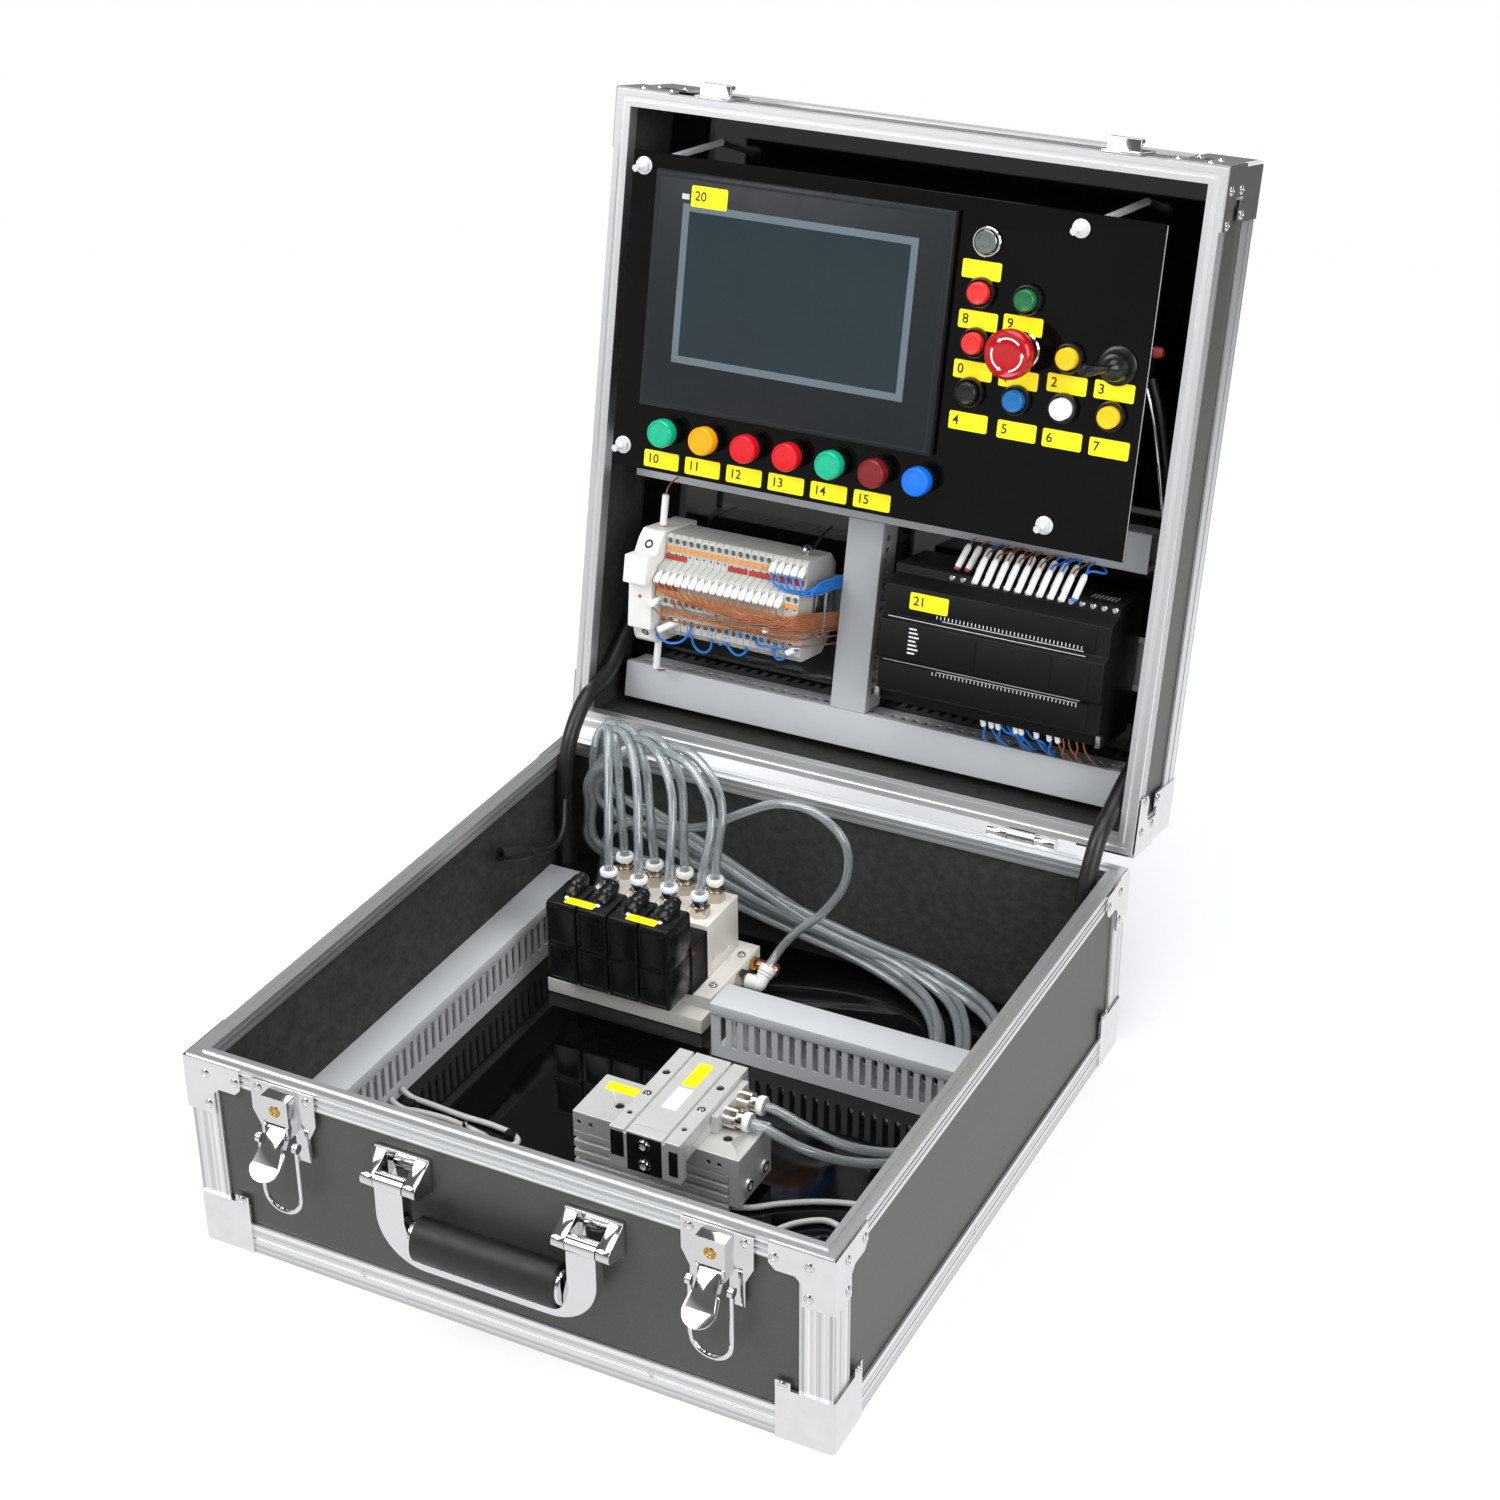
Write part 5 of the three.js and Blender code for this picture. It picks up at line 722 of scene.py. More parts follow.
# crossing, and how far beside the solid's own route the tube lies there
crossingOf = [(0, 0, 0), (0, -6.3, 1), (1, 0, 0), (1, -6.3, 1), (2, 0, 0), (2, -6.3, 1), (2, -3.1, 6.6),
              (1, -3.1, 6.8)]
for index, (crossing, besideY, above) in enumerate(crossingOf):
    valveIndex, rowIndex = divmod(index, 2)
    x = valveX[valveIndex]
    row, fromY, toY = outletRows[rowIndex]
    offX, offY = bundlePlaces[index]
    route = [(x, row, 84.5), (x, row, 90)]
    route += [(px, fromY + (toY - fromY) * share, pz) for px, share, pz in outletRise[valveIndex]]
    route += [(px + offX, py + offY, pz + above) for px, py, pz in cornerFall[:crossing + 1]]
    across = [(px + besideY * 0.4, min(py + besideY, backMost), pz + above)
              for px, py, pz in crossings[crossing]]
    across[-1] = (across[-1][0], ductSide, across[-1][2])
    layClearTube(f"outletTube{index + 1}", route + across, 40, "valve_tubes")
supplyRoute = [(-15.1, 145.3, 31.6), (-12.6, 153, 39), (-2, 158, 54), (18, 156, 76), (33, 157, 103),
               (32, 157.5, 130), (12, 158, 146), (-14, 159, 146), (-42, 161, 131), (-70, 166, 112),
               (-105, 176, 96), (-140, 184, 86), (-158, 186, 70), (-163, 187, 44), (-166, 180, 27),
               (-174, 168, 22)]
layClearTube("supplyTube", supplyRoute, 40, "valve_tubes")
slideBend = ("case", "slide_x", (0.15, -0.01, 0.033), (0.078, -0.032, 0.055))
slideRoutes = [
    [(65.6, -41, 56.5), (74, -41, 56), (96, -38, 47), (120, -26, 37), (146, -4, 30), (164, 24, 26),
     (170, 48, 23), (170, 65.7, 22)],
    [(65.6, -23, 56.5), (74, -23, 56), (94, -22, 49), (116, -17, 40.5), (140, -2, 33.5), (158, 22, 29),
     (164.5, 46, 24), (165, 65.7, 22)],
]
for index, route in enumerate(slideRoutes):
    layClearTube(f"slideTube{index + 1}", route, 28, "slide_tubes", bend=slideBend)
print("cords laid")


# Flat shapes: an outline with holes, filled and given its thickness.
# facingFront stands one up facing the user, acrossX turns a y-z section to run along x
facingFront = Matrix(((1, 0, 0, 0), (0, 0, -1, 0), (0, 1, 0, 0), (0, 0, 0, 1)))
acrossX = Matrix(((0, 0, 1, 0), (1, 0, 0, 0), (0, 1, 0, 0), (0, 0, 0, 1)))


def cutSheet(name, outline, thickness, holes=(), place=Matrix.Identity(4)):
    data = bpy.data.curves.new(name, "CURVE")
    data.dimensions = "2D"
    data.fill_mode = "BOTH"
    data.extrude = thickness / 2 * millimetre
    for ring in [outline, *holes]:
        spline = data.splines.new("POLY")
        spline.points.add(len(ring) - 1)
        for knot, (u, v) in zip(spline.points, ring):
            knot.co = (u * millimetre, v * millimetre, 0, 1)
        spline.use_cyclic_u = True
    piece = bpy.data.objects.new(name, data)
    bpy.context.scene.collection.objects.link(piece)
    takeUp(piece)
    bpy.ops.object.convert(target="MESH")
    piece = bpy.context.object
    startEdit(piece)
    bpy.ops.mesh.remove_doubles(threshold=0.001 * millimetre)
    bpy.ops.mesh.normals_make_consistent(inside=False)
    endEdit()
    piece.data.transform(place)
    return piece


def drillHoles(piece, holes, sides=20):
    cutters = [turnPiece("cutter", [(radius, -depth), (radius, 1)], foot, axis, sides)
               for foot, axis, radius, depth in holes]
    return cutAway(piece, cutters)


def cutAway(piece, cutters):
    cutter = joinPieces("cutter", cutters) if len(cutters) > 1 else cutters[0]
    takeUp(piece)
    drill = piece.modifiers.new("drill", "BOOLEAN")
    drill.operation = "DIFFERENCE"
    drill.solver = "EXACT"
    drill.object = cutter
    bpy.ops.object.modifier_apply(modifier="drill")
    bpy.data.objects.remove(cutter)
    return piece


# CAD pieces that stay as they are get their surfaces
keptSurfaces = {
    "base_shell": "pebbledLaminate", "lid_shell": "pebbledLaminateLid", "base_rim": "caseTrim",
    "base_edge_frame": "caseTrim", "lid_rim": "caseTrimLid", "lid_edge_frame": "caseTrimLid",
    "floor_plate": "castAcrylic", "mounting_plate": "acrylicAndZinc",
}
for nodeName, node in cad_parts.items():
    surface = keptSurfaces.get(nodeName, "mattAbs")
    node.data.materials.clear()
    node.data.materials.append(surfaces[surface])

# Case hardware: softened pressings, domed rivets and screws
softPressings = {
    "hinge_leaf_left": ("case", 0.3), "hinge_leaf_right": ("case", 0.3), "latch_plate_left": ("case", 0.25),
    "latch_plate_right": ("case", 0.25), "lid_catch_left": ("lid", 0.3), "lid_catch_right": ("lid", 0.3),
    "handle_mount_left": ("case", 0.4), "handle_mount_right": ("case", 0.4),
}
for nodeName, (body, width) in softPressings.items():
    pieceName = "".join(part.capitalize() for part in nodeName.split("_"))
    piece = softenNode(nodeName, pieceName[0].lower() + pieceName[1:], width)
    dressPiece(piece, body, "nickelPlate", [nodeName])

# Domed rivets: three at each end of a wall's top and one in each corner cap, at (place, height)
rivetProfile = [(2.9, -0.3), (2.9, 0.25), (2.5, 0.75), (1.6, 1.1), (1.2, 1.15), (0.9, 0.7)]
rivetLook = {"faceX": 201.45, "faceY": 211.45, "caseHeight": 129, "capLevel": 36.6,
             "front": [(166.8, 119), (186.8, 119.4), (186.4, 99), (171.5, 36.6)],
             "side": [(176.8, 119), (196.8, 119), (196.4, 99), (181.5, 36.6)]}


def rivetPlaces(onLid):
    look = rivetLook
    middle = lidMiddle if onLid else 0
    places = []
    for sign in (-1, 1):
        for walls, corners in (("front", look["front"]), ("side", look["side"])):
            for place, level in corners:
                if onLid:
                    level = level - look["caseHeight"] if level > look["capLevel"] else -level
                for face in (-1, 1):
                    if walls == "front":
                        foot = (sign * place, middle + face * look["faceY"], level)
                        places.append(stand(foot, (0, face, 0)))
                    else:
                        foot = (face * look["faceX"], middle + sign * place, level)
                        places.append(stand(foot, (face, 0, 0)))
    return places


for name, body, onLid in (("baseRivets", "case", False), ("lidRivets", "lid", True)):
    rivets = placeCopies(name, turnPiece("rivet", rivetProfile, sides=16), rivetPlaces(onLid))
    dressPiece(rivets, body, "nickelPlate", onLid=onLid)
railRivets = [stand((-92, -210, 12), (0, -1, 0)), stand((92, -210, 12), (0, -1, 0)),
              stand((200, -20, 12), (1, 0, 0)), stand((-200, -20, 12), (-1, 0, 0))]
railRivetProfile = [(1.9, -0.3), (1.8, 0.3), (1.1, 0.7), (0.5, 0.75)]
dressPiece(placeCopies("railRivets", turnPiece("rivet", railRivetProfile, sides=12), railRivets), "case",
           "nickelPlate")

# Draw latches: brass key barrel, flared thumb lever, wire bail
latchLook = {"x": 134.5, "pivotY": -217.3, "pivotZ": 102.5, "tilt": 38, "keyZ": 115.6, "faceY": -219.3,
             "bailY": -219.24, "bailZ": 94.5, "bailHalf": 12.2, "bailLength": 47, "strap": 21,
             "strapOut": 1.8,
             "plateY": -211.8, "rivetX": 16.2, "rivetZ": 122}
latchKeyProfile = [(3.6, -0.3), (3.6, 0.3), (3.2, 0.6), (2.3, 0.6), (2, 0.2), (0.9, 0.2), (0.8, -0.25)]


def addLatch(side, sign):
    look = latchLook
    x = sign * look["x"]
    tilt = math.radians(look["tilt"])
    feet = [(x + off, look["plateY"], look["rivetZ"]) for off in (-look["rivetX"], look["rivetX"])]
    screws = placeCopies(f"latchRivets{side}", turnPiece("rivet", rivetProfile, sides=20),
                         [stand(foot, (0, -1, 0)) for foot in feet])
    dressPiece(screws, "case", "nickelPlate")
    barrel = turnPiece(f"latchKey{side}", latchKeyProfile, (x, look["faceY"], look["keyZ"]), (0, -1, 0), 28)
    dressPiece(barrel, "case", "brass")
    frameTurn = Matrix(((1, 0, 0, 0), (0, math.sin(tilt), -math.cos(tilt), 0),
                        (0, math.cos(tilt), math.sin(tilt), 0), (0, 0, 0, 1)))
    place = shifted(x, look["pivotY"], look["pivotZ"]) @ frameTurn
    length, out = look["strap"], look["strapOut"]
    strap = cutSheet("strap", [(-6.3, 0), (6.3, 0), (6.3, -8), (8.6, -length), (-8.6, -length), (-6.3, -8)],
                     1.6, place=shifted(0, 0, out))
    barrelRoll = turnPiece("roll", [(1.5, -6.3), (2.6, -6.3), (2.6, 6.3), (1.5, 6.3)], axis=(1, 0, 0),
                           sides=24)
    padRing = ringOf(9.5, 28, (0, 0), 0, -180) + [(-8.5, 8.5), (-7.5, 9.5), (7.5, 9.5), (8.5, 8.5)]
    padY = look["pivotY"] - math.sin(tilt) * length - math.cos(tilt) * out
    padZ = look["pivotZ"] - math.cos(tilt) * length + math.sin(tilt) * out
    padTurn = place.inverted() @ shifted(x, padY, padZ) @ Matrix.Rotation(tilt, 4, "X")
    pad = cutSheet("pad", padRing, 1.6, place=padTurn)
    links = [addBlock("link", (off - 0.8, -10.1, -3.4), (off + 0.8, -4.9, 2.6)) for off in (-5.5, 5.5)]
    parts = [bevelEdges(strap, 0.35), barrelRoll, bevelEdges(pad, 0.5, 3)]
    lever = joinPieces(f"latchLever{side}", parts + links)
    lever.data.transform(place)
    dressPiece(lever, f"latch_lever_{side.lower()}", "chromedZinc", [f"latch_lever_{side.lower()}"])
    half, bottom = look["bailHalf"], look["bailZ"] - look["bailLength"]
    y = look["bailY"]
    loop = [(x - half, y, look["bailZ"]), (x - half, y, bottom + half)]
    loop += [(x + u, y, bottom + half + v) for u, v in ringOf(half, 9, (0, 0), 180, 360)]
    loop += [(x + half, y, bottom + half), (x + half, y, look["bailZ"])]
    wire = layTube("wire", evenPoints([mm(*point) for point in loop], 44), 1.5, 3)
    eyes = [turnPiece("eye", [(1.4, -1.5), (2.9, -1.5), (2.9, 1.5), (1.4, 1.5)],
                      (x + off, y, look["bailZ"]), (1, 0, 0), 20) for off in (-half, half)]
    bail = joinPieces(f"latchBail{side}", [wire] + eyes)
    dressPiece(bail, f"latch_bail_{side.lower()}", "chromedZinc", [f"latch_bail_{side.lower()}"])


addLatch("Left", -1)
addLatch("Right", 1)

# Drop handle: flat chromed frame, ribbed rubber roll with bright end rings
handleLook = {"x": 1.6, "y": -222, "z": 95, "outer": 68.75, "arm": 18, "bottom": 45, "corner": 30,
              "foot": 4.5,
              "inner": 48, "innerCorner": 8, "thickness": 8, "gripZ": 63.3, "gripHalf": 44}


def addHandle():
    look = handleLook
    outer, bottom, corner, arm = look["outer"], look["bottom"], look["corner"], look["arm"]
    foot = bottom + look["foot"]
    outline = [(-outer, look["z"])] + ringOf(corner, 14, (-outer + corner, bottom + corner), 180, 270)
    outline += ringOf(corner, 14, (outer - corner, bottom + corner), 270, 360) + [(outer, look["z"])]
    inner, small = look["inner"], look["innerCorner"]
    outline += [(outer - arm, look["z"]), (outer - arm, foot + 24), (inner, foot + 12)]
    outline += ringOf(small, 5, (inner - small, foot + small), 0, -90)
    outline += ringOf(small, 5, (-inner + small, foot + small), 270, 180)
    outline += [(-inner, foot + 12), (-outer + arm, foot + 24), (-outer + arm, look["z"])]
    place = shifted(look["x"], look["y"], 0) @ facingFront
    yoke = bevelEdges(cutSheet("yoke", outline, look["thickness"], place=place), 1.6, 3, 50)
    middle = outer - arm / 2
    barrels = [turnPiece("barrel", [(2.2, -arm / 2), (5, -arm / 2), (5, arm / 2), (2.2, arm / 2)],
                         (look["x"] + sign * middle, look["y"], look["z"]), (1, 0, 0), 28)
               for sign in (-1, 1)]
    dressPiece(joinPieces("handleFrame", [yoke] + barrels), "handle", "chromedZinc",
               ["handle_frame"])
    oval = [(11 * u, 13.5 * v) for u, v in ringOf(1, 44)]
    place = shifted(look["x"], look["y"], look["gripZ"]) @ acrossX
    roll = bevelEdges(cutSheet("handleGrip", oval, 2 * look["gripHalf"], place=place), 2.4, 4, 50)
    dressPiece(roll, "handle", "mouldedRubber", ["handle_grip"])
    rings = []
    for sign in (-1, 1):
        band = [(8.6 * u, 10.6 * v) for u, v in ringOf(1, 36)]
        place = shifted(look["x"] + sign * (look["gripHalf"] + 1.7), look["y"], look["gripZ"]) @ acrossX
        rings.append(bevelEdges(cutSheet("ring", band, 3.4, place=place), 0.6, 2, 50))
    dressPiece(joinPieces("gripRings", rings), "handle", "chromedZinc")


addHandle()
print("case hardware done")

# Wiring ducts: punched channel walls with round-footed slots, and a cover pressed on
ductLook = {"width": 25, "wall": 1.4, "coverWall": 1.2, "skirt": 8, "pitch": 8, "slot": 4, "slit": 1.3,
            "foot": 9}


def slotRing(u, foot, shoulder, top):
    half, slit = ductLook["slot"] / 2, ductLook["slit"] / 2
    ring = ringOf(half, 7, (u, foot + half), 180, 360)
    return ring + [(u + half, shoulder - 1.2), (u + slit, shoulder), (u + slit, top), (u - slit, top),
                   (u - slit, shoulder), (u - half, shoulder - 1.2)]


def addDuct(name, nodeName, length, height, place, body, onLid=False):
    look = ductLook
    outer = look["width"] / 2
    inside = outer - look["coverWall"] - 0.05
    wallTop = height - look["coverWall"] - 0.1
    count = int((length - look["pitch"]) // look["pitch"])
    margin = (length - (count - 1) * look["pitch"]) / 2
    slots = [slotRing(margin + i * look["pitch"], look["foot"], height - look["skirt"] - 0.8, wallTop - 1.5)
             for i in range(count)]
    outline = [(0, 0), (length, 0), (length, wallTop), (0, wallTop)]
    middle = inside - look["wall"] / 2
    walls = [cutSheet("wall", outline, look["wall"], slots, shifted(0, side * middle, 0) @ facingFront)
             for side in (-1, 1)]
    floor = addBlock("floor", (0, -middle, 0), (length, middle, look["wall"]))
    channel = joinPieces(f"{name}Channel", walls + [floor])
    section = [(-outer, height - look["skirt"]), (-outer, height), (outer, height),
               (outer, height - look["skirt"]),
               (inside + 0.05, height - look["skirt"]), (inside + 0.05, height - look["coverWall"]),
               (-inside - 0.05, height - look["coverWall"]), (-inside - 0.05, height - look["skirt"])]
    cover = cutSheet(f"{name}Cover", section, length, place=shifted(length / 2, 0, 0) @ acrossX)
    bevelEdges(cover, 0.4, 2)
    for piece in (channel, cover):
        piece.data.transform(place)
    dressPiece(channel, body, "rigidPvc", [nodeName], onLid)
    dressPiece(cover, body, "rigidPvc", (), onLid)


quarter = Matrix.Rotation(math.radians(90), 4, "Z")
baseLevel, lidLevel = 10.4, -61.6
addDuct("leftDuct", "base_duct_left", 368.6, 39.7, shifted(-179.4, -201.9, baseLevel) @ quarter, "case")
addDuct("crossDuct", "base_duct_cross", 208.9, 39.7, shifted(-17, 78.5, baseLevel), "case")
addDuct("lowerLidDuct", "lid_duct_lower", 361, 27, shifted(-180, 27.5, lidLevel), "lid", True)
addDuct("upperLidDuct", "lid_duct_upper", 359, 27, shifted(-184, 181, lidLevel), "lid", True)
addDuct("uprightLidDuct", "lid_duct_upright", 127.9, 27, shifted(-14.5, 40.3, lidLevel) @ quarter, "lid",
        True)
print("ducts done")

# Adhesive cable clips and a threaded post on the floor plate
clips = []
for x, y in ((-83.9, -64.8), (-155.4, -65.4)):
    clips.append(((x - 5, y - 4, baseLevel), (x + 5, y + 4, 12)))
    clips.append(((x - 3, y - 3, 11.6), (x + 3, y + 2, 16.4)))
dressPiece(addBlocks("cableClips", clips, 0.5), "case", "mattAbs")
postProfile = [(3.6, 10.4), (3.6, 13), (2.9, 13.4), (1.7, 13.4), (1.7, 17.6), (1.4, 18)]
dressPiece(turnPiece("floorPost", postProfile, (-112.2, -70.8, 0), sides=16), "case", "nickelPlate")

# Solenoid valves: one modelled at x = 0 and copied along the manifold
valveLook = {"half": 10.95, "coilHalf": 10.5, "foot": 29.9, "bodyTop": 69, "pilotTop": 66, "seam": 62,
             "outlets": (128, 149)}
fittingHex = [(6.2, 0), (6.6, 0.5), (6.6, 7.4), (6.1, 8)]
fittingCollar = [(5.1, 7.9), (5.1, 11.6), (4.7, 12.2)]
fittingRing = [(4.4, 12), (5.2, 12.2), (5.2, 13), (5.9, 13.4), (5.9, 15.8), (5.5, 16.4), (3.3, 16.4),
               (3.3, 11)]


# Push-in fittings: hexagons with their collars as one piece, release rings as another
def addFittings(bodyName, ringName, feet, axis):
    bodies = []
    for foot in feet:
        bodies.append(turnPiece("hex", fittingHex, foot, axis, 6))
        bodies.append(turnPiece("collar", fittingCollar, foot, axis, 28))
    rings = [turnPiece("ring", fittingRing, foot, axis, 28) for foot in feet]
    return joinPieces(bodyName, bodies), joinPieces(ringName, rings)


def addValves():
    look = valveLook
    half, coilHalf = look["half"], look["coilHalf"]
    body = addBlock("body", (-half, 117, look["foot"]), (half, 160, look["bodyTop"]))
    holes = [((half, 125.6, 40), (1, 0, 0), 1.5, 4), ((half, 144, 38), (1, 0, 0), 1.5, 4),
             ((-6, 157, look["bodyTop"]), (0, 0, 1), 1.7, 3),
             ((7.4, 119.8, look["bodyTop"]), (0, 0, 1), 1.2, 3)]
    bevelEdges(drillHoles(body, holes), 0.5)
    pilot = addBlock("pilot", (-half, 95, look["foot"]), (half, 117.2, look["pilotTop"]))
    sinkFaces(pilot, lambda c, n: n.x > 0.9, 1.6, 0.5)
    bevelEdges(pilot, 0.4)
    lowerCoil = addBlock("lowerCoil", (-coilHalf, 66, 35), (coilHalf, 95.4, look["seam"] - 0.3))
    sinkFaces(lowerCoil, lambda c, n: n.y < -0.9, 2.2, 0.6)
    bevelEdges(lowerCoil, 0.7)
    upperCoil = addBlock("upperCoil", (-coilHalf, 66, look["seam"] + 0.3), (coilHalf, 95.4, 90.5))
    sinkFaces(upperCoil, lambda c, n: n.y < -0.9, 1.4, 0.5)
    pickFaces(upperCoil, lambda c, n: n.z > 0.9)
    bpy.ops.mesh.extrude_region_move(TRANSFORM_OT_translate={"value": (0, 0, 2.5 * millimetre)})
    bpy.ops.transform.resize(value=(0.95, 0.93, 1), center_override=(0, 0.0806, 0.093))
    endEdit()
    bevelEdges(upperCoil, 0.7)
    neck = addBlock("neck", (-coilHalf + 0.6, 67, look["seam"] - 0.5),
                    (coilHalf - 0.6, 95, look["seam"] + 0.5))
    coil = joinPieces("coil", [lowerCoil, upperCoil, neck])
    boot = turnPiece("boot", [(2.6, -2.2), (3.2, -1.4), (4.6, -0.8), (5.5, 1.2), (5.7, 4), (5.2, 6.4),
                              (4.2, 7.2), (4.6, 8), (5.6, 9), (5.9, 12), (5.4, 15), (4.2, 16.2), (4.4, 17.2),
                              (3.8, 19.4)],
                     (0, 78, 92.4), (0, 19, 4.6), 28)
    bootTip = turnPiece("bootTip", [(1.5, -4.6), (2.1, -4.2), (2.2, -1.6)], (0, 78, 92.4), (0, 19, 4.6), 18)
    feet = [(0, y, look["bodyTop"]) for y in look["outlets"]]
    hexes, rings = addFittings("hexes", "rings", feet, (0, 0, 1))
    seal = turnPiece("seal", [(5.2, 12.1), (5.6, 12.3), (5.6, 13.1), (5.2, 13.2)], feet[0], sides=28)
    dot = turnPiece("dot", [(1.3, -0.2), (1.3, 0.3), (1, 0.5)], (half, 98, 60), (1, 0, 0), 16)
    parts = [
        ("valveBody", body, "ivoryEnamel", "ivory_paint"), ("valvePilot", pilot, "mattAbs", "black_plastic"),
        ("valveCoil", coil, "glossAbs", "black_plastic"), ("valveBoot", boot, "glossAbs", "rubber"),
        ("valveBootTip", bootTip, "acetal", "white_plastic"), ("valveHexes", hexes, "nickelBrass", None),
        ("valveRings", rings, "acetal", "white_plastic"), ("valveSeal", seal, "bluePvc", None),
        ("valveDot", dot, "redPolyamide", None),
    ]
    for name, piece, surface, slot in parts:
        for index, x in enumerate(valveX):
            twin = copyPiece(piece, f"{name}{index + 1}", shifted(x, 0, 0))
            node = [f"solenoid_valve_{index + 1}"] if name == "valveBody" else ()
            dressPiece(twin, "case", surface, node)
        bpy.data.objects.remove(piece)


addValves()

manifoldLook = {"section": [(84, 10.4), (167, 10.4), (167, 29.6), (97, 29.6), (97, 20.6), (84, 20.6)],
                "from": -146.35, "to": -33, "elbow": (-33, 136, 22.4), "silencer": (-33, 155, 22.4)}


def addManifold():
    look = manifoldLook
    middle = (look["from"] + look["to"]) / 2
    block = cutSheet("manifold", look["section"], look["to"] - look["from"],
                     place=shifted(middle, 0, 0) @ acrossX)
    tops = [((-39, y, 29.6), (0, 0, 1), 2.9, 2.4) for y in (112, 152)]
    bevelEdges(drillHoles(block, tops), 0.5)
    dressPiece(block, "case", "ivoryEnamel", ["valve_manifold"])
    head = turnPiece("head", [(2.5, -2.2), (2.5, 0.9), (2.2, 1.3), (1.3, 1.3), (1.2, 0.2)], sides=20)
    heads = placeCopies("manifoldScrews", head, [shifted(-39, y, 29.6) for y in (112, 152)])
    dressPiece(heads, "case", "nickelPlate")
    start = Vector(look["elbow"])
    rise = Vector((2.8, 9, 9)).normalized()
    turnPoint = start + Vector((15, 0, 0))
    hexPiece = turnPiece("elbowHex", [(6.2, -0.2), (6.7, 0.4), (6.7, 5.6), (6.1, 6.2)], start, (1, 0, 0), 6)
    dressPiece(hexPiece, "case", "nickelBrass")
    body = [
        turnPiece("elbowBody", [(4.6, 6), (5, 6.4), (5, 11), (4.6, 17), (3, 18.6)], start, (1, 0, 0), 28),
        turnPiece("elbowArm", [(3, -2), (4.7, -1), (4.7, 6), (5.4, 6.6), (5.4, 8)], turnPoint, rise, 28),
        turnPiece("elbowRing", [(4.6, 8), (5.7, 8.6), (5.7, 12.2), (5.2, 12.8), (3.3, 12.8), (3.3, 8)],
                  turnPoint, rise, 28),
    ]
    dressPiece(joinPieces("supplyElbow", body), "case", "acetal")
    plug = Vector(look["silencer"])
    dressPiece(turnPiece("silencerHex", [(5, -0.2), (5.4, 0.4), (5.4, 4.6), (5, 5.2)], plug, (1, 0, 0), 6),
               "case", "brass")
    dressPiece(turnPiece("silencerBody", [(4.9, 5), (4.9, 17), (4.4, 19), (3, 20.6), (1.6, 21)], plug,
                         (1, 0, 0), 28),
               "case", "copperFlash")


addManifold()
print("pneumatics done")

# Crossed slides
slideParts = {
    "slide_x_body": ("slideXBody", "case", 0.4, []),
    "slide_x_table": ("slideXTable", "slide_x", 0.5, [
        ((-14.2, -52.7, 50), (0, 0, 1), 3, 6), ((57.4, -52.6, 50), (0, 0, 1), 3, 6),
        ((53, -69, 43), (0, -1, 0), 1.6, 5), ((60, -69, 43), (0, -1, 0), 1.6, 5),
        ((-33, -69, 43), (0, -1, 0), 1.6, 5), ((-25, -69, 43), (0, -1, 0), 1.6, 5)]),
    "slide_y_body": ("slideYBody", "slide_x", 0.4, []),
    "slide_y_table": ("slideYTable", "slide_y", 0.5, [
        ((4.8, -29.6, 65.6), (0, 0, 1), 2.5, 6), ((40.8, -29.8, 65.6), (0, 0, 1), 2.5, 6),
        ((4.8, -73.8, 65.6), (0, 0, 1), 1.8, 6), ((40.8, -74.4, 65.6), (0, 0, 1), 1.8, 6),
        ((4.8, -52.7, 65.6), (0, 0, 1), 2.8, 1.8), ((40.6, -53, 65.6), (0, 0, 1), 2.8, 1.8)]),
}
grooves = [(9.6, 11.4), (34.6, 36.4)]
wellDepth = 1.4
for nodeName, (name, body, width, holes) in slideParts.items():
    piece = softenNode(nodeName, name, width)
    if holes:
        drillHoles(piece, holes)
        # Near-black discs just inside the holes paint the shade at their bottoms
        wells = [turnPiece("well", [(r - 0.05, -wellDepth), (r - 0.05, 0.4 - wellDepth)], foot, axis, 20)
                 for foot, axis, r, depth in holes]
        dressPiece(joinPieces(name + "Wells", wells), body, "darkHole")
    if nodeName.startswith("slide_y"):
        cutAway(piece, [addBlock("cutter", (a, -91, 63), (b, -3, 67)) for a, b in grooves])
    dressPiece(piece, body, "milledAluminium", [nodeName], smooth=20)
fronts = [((1, -90.4, 46), (9.4, -89.8, 63.4)), ((11.8, -90.4, 39), (34.2, -89.8, 64.4)),
          ((39, -90.4, 43), (44.6, -89.8, 60))]
dressPiece(addBlocks("toolPlateFronts", fronts, 0.2), "slide_y", "mattAbs")
railHead = turnPiece("head", [(2.4, -1.6), (2.4, -0.4), (2, 0), (1.3, 0), (1.2, -0.9)], sides=20)
dressPiece(placeCopies("railScrews", railHead, [shifted(4.8, -52.7, 65.6), shifted(40.6, -53, 65.6)]),
           "slide_y", "nickelPlate")
slideFeet = [(50.3, y, 56.5) for y in (-41, -23)]
slideFittings, slideRings = addFittings("slideFittings", "slideFittingRings", slideFeet, (1, 0, 0))
dressPiece(slideFittings, "slide_x", "nickelBrass")
dressPiece(slideRings, "slide_x", "acetal")
screwProfile = [(3.9, -0.5), (3.9, 1.6), (3.5, 2.1), (2.2, 2.1), (2.1, 0.9)]
endScrews = placeCopies("endPlateScrews", turnPiece("screw", screwProfile, sides=24),
                        [stand((73, y, 26), (1, 0, 0)) for y in (-58.5, -38.5)])
dressPiece(endScrews, "slide_x", "nickelPlate")
frontScrews = placeCopies("toolPlateScrews", turnPiece("screw", screwProfile, sides=24),
                          [stand((23, -90, z), (0, -1, 0)) for z in (44.8, 58.8)])
dressPiece(frontScrews, "slide_y", "nickelPlate")
print("slides done")

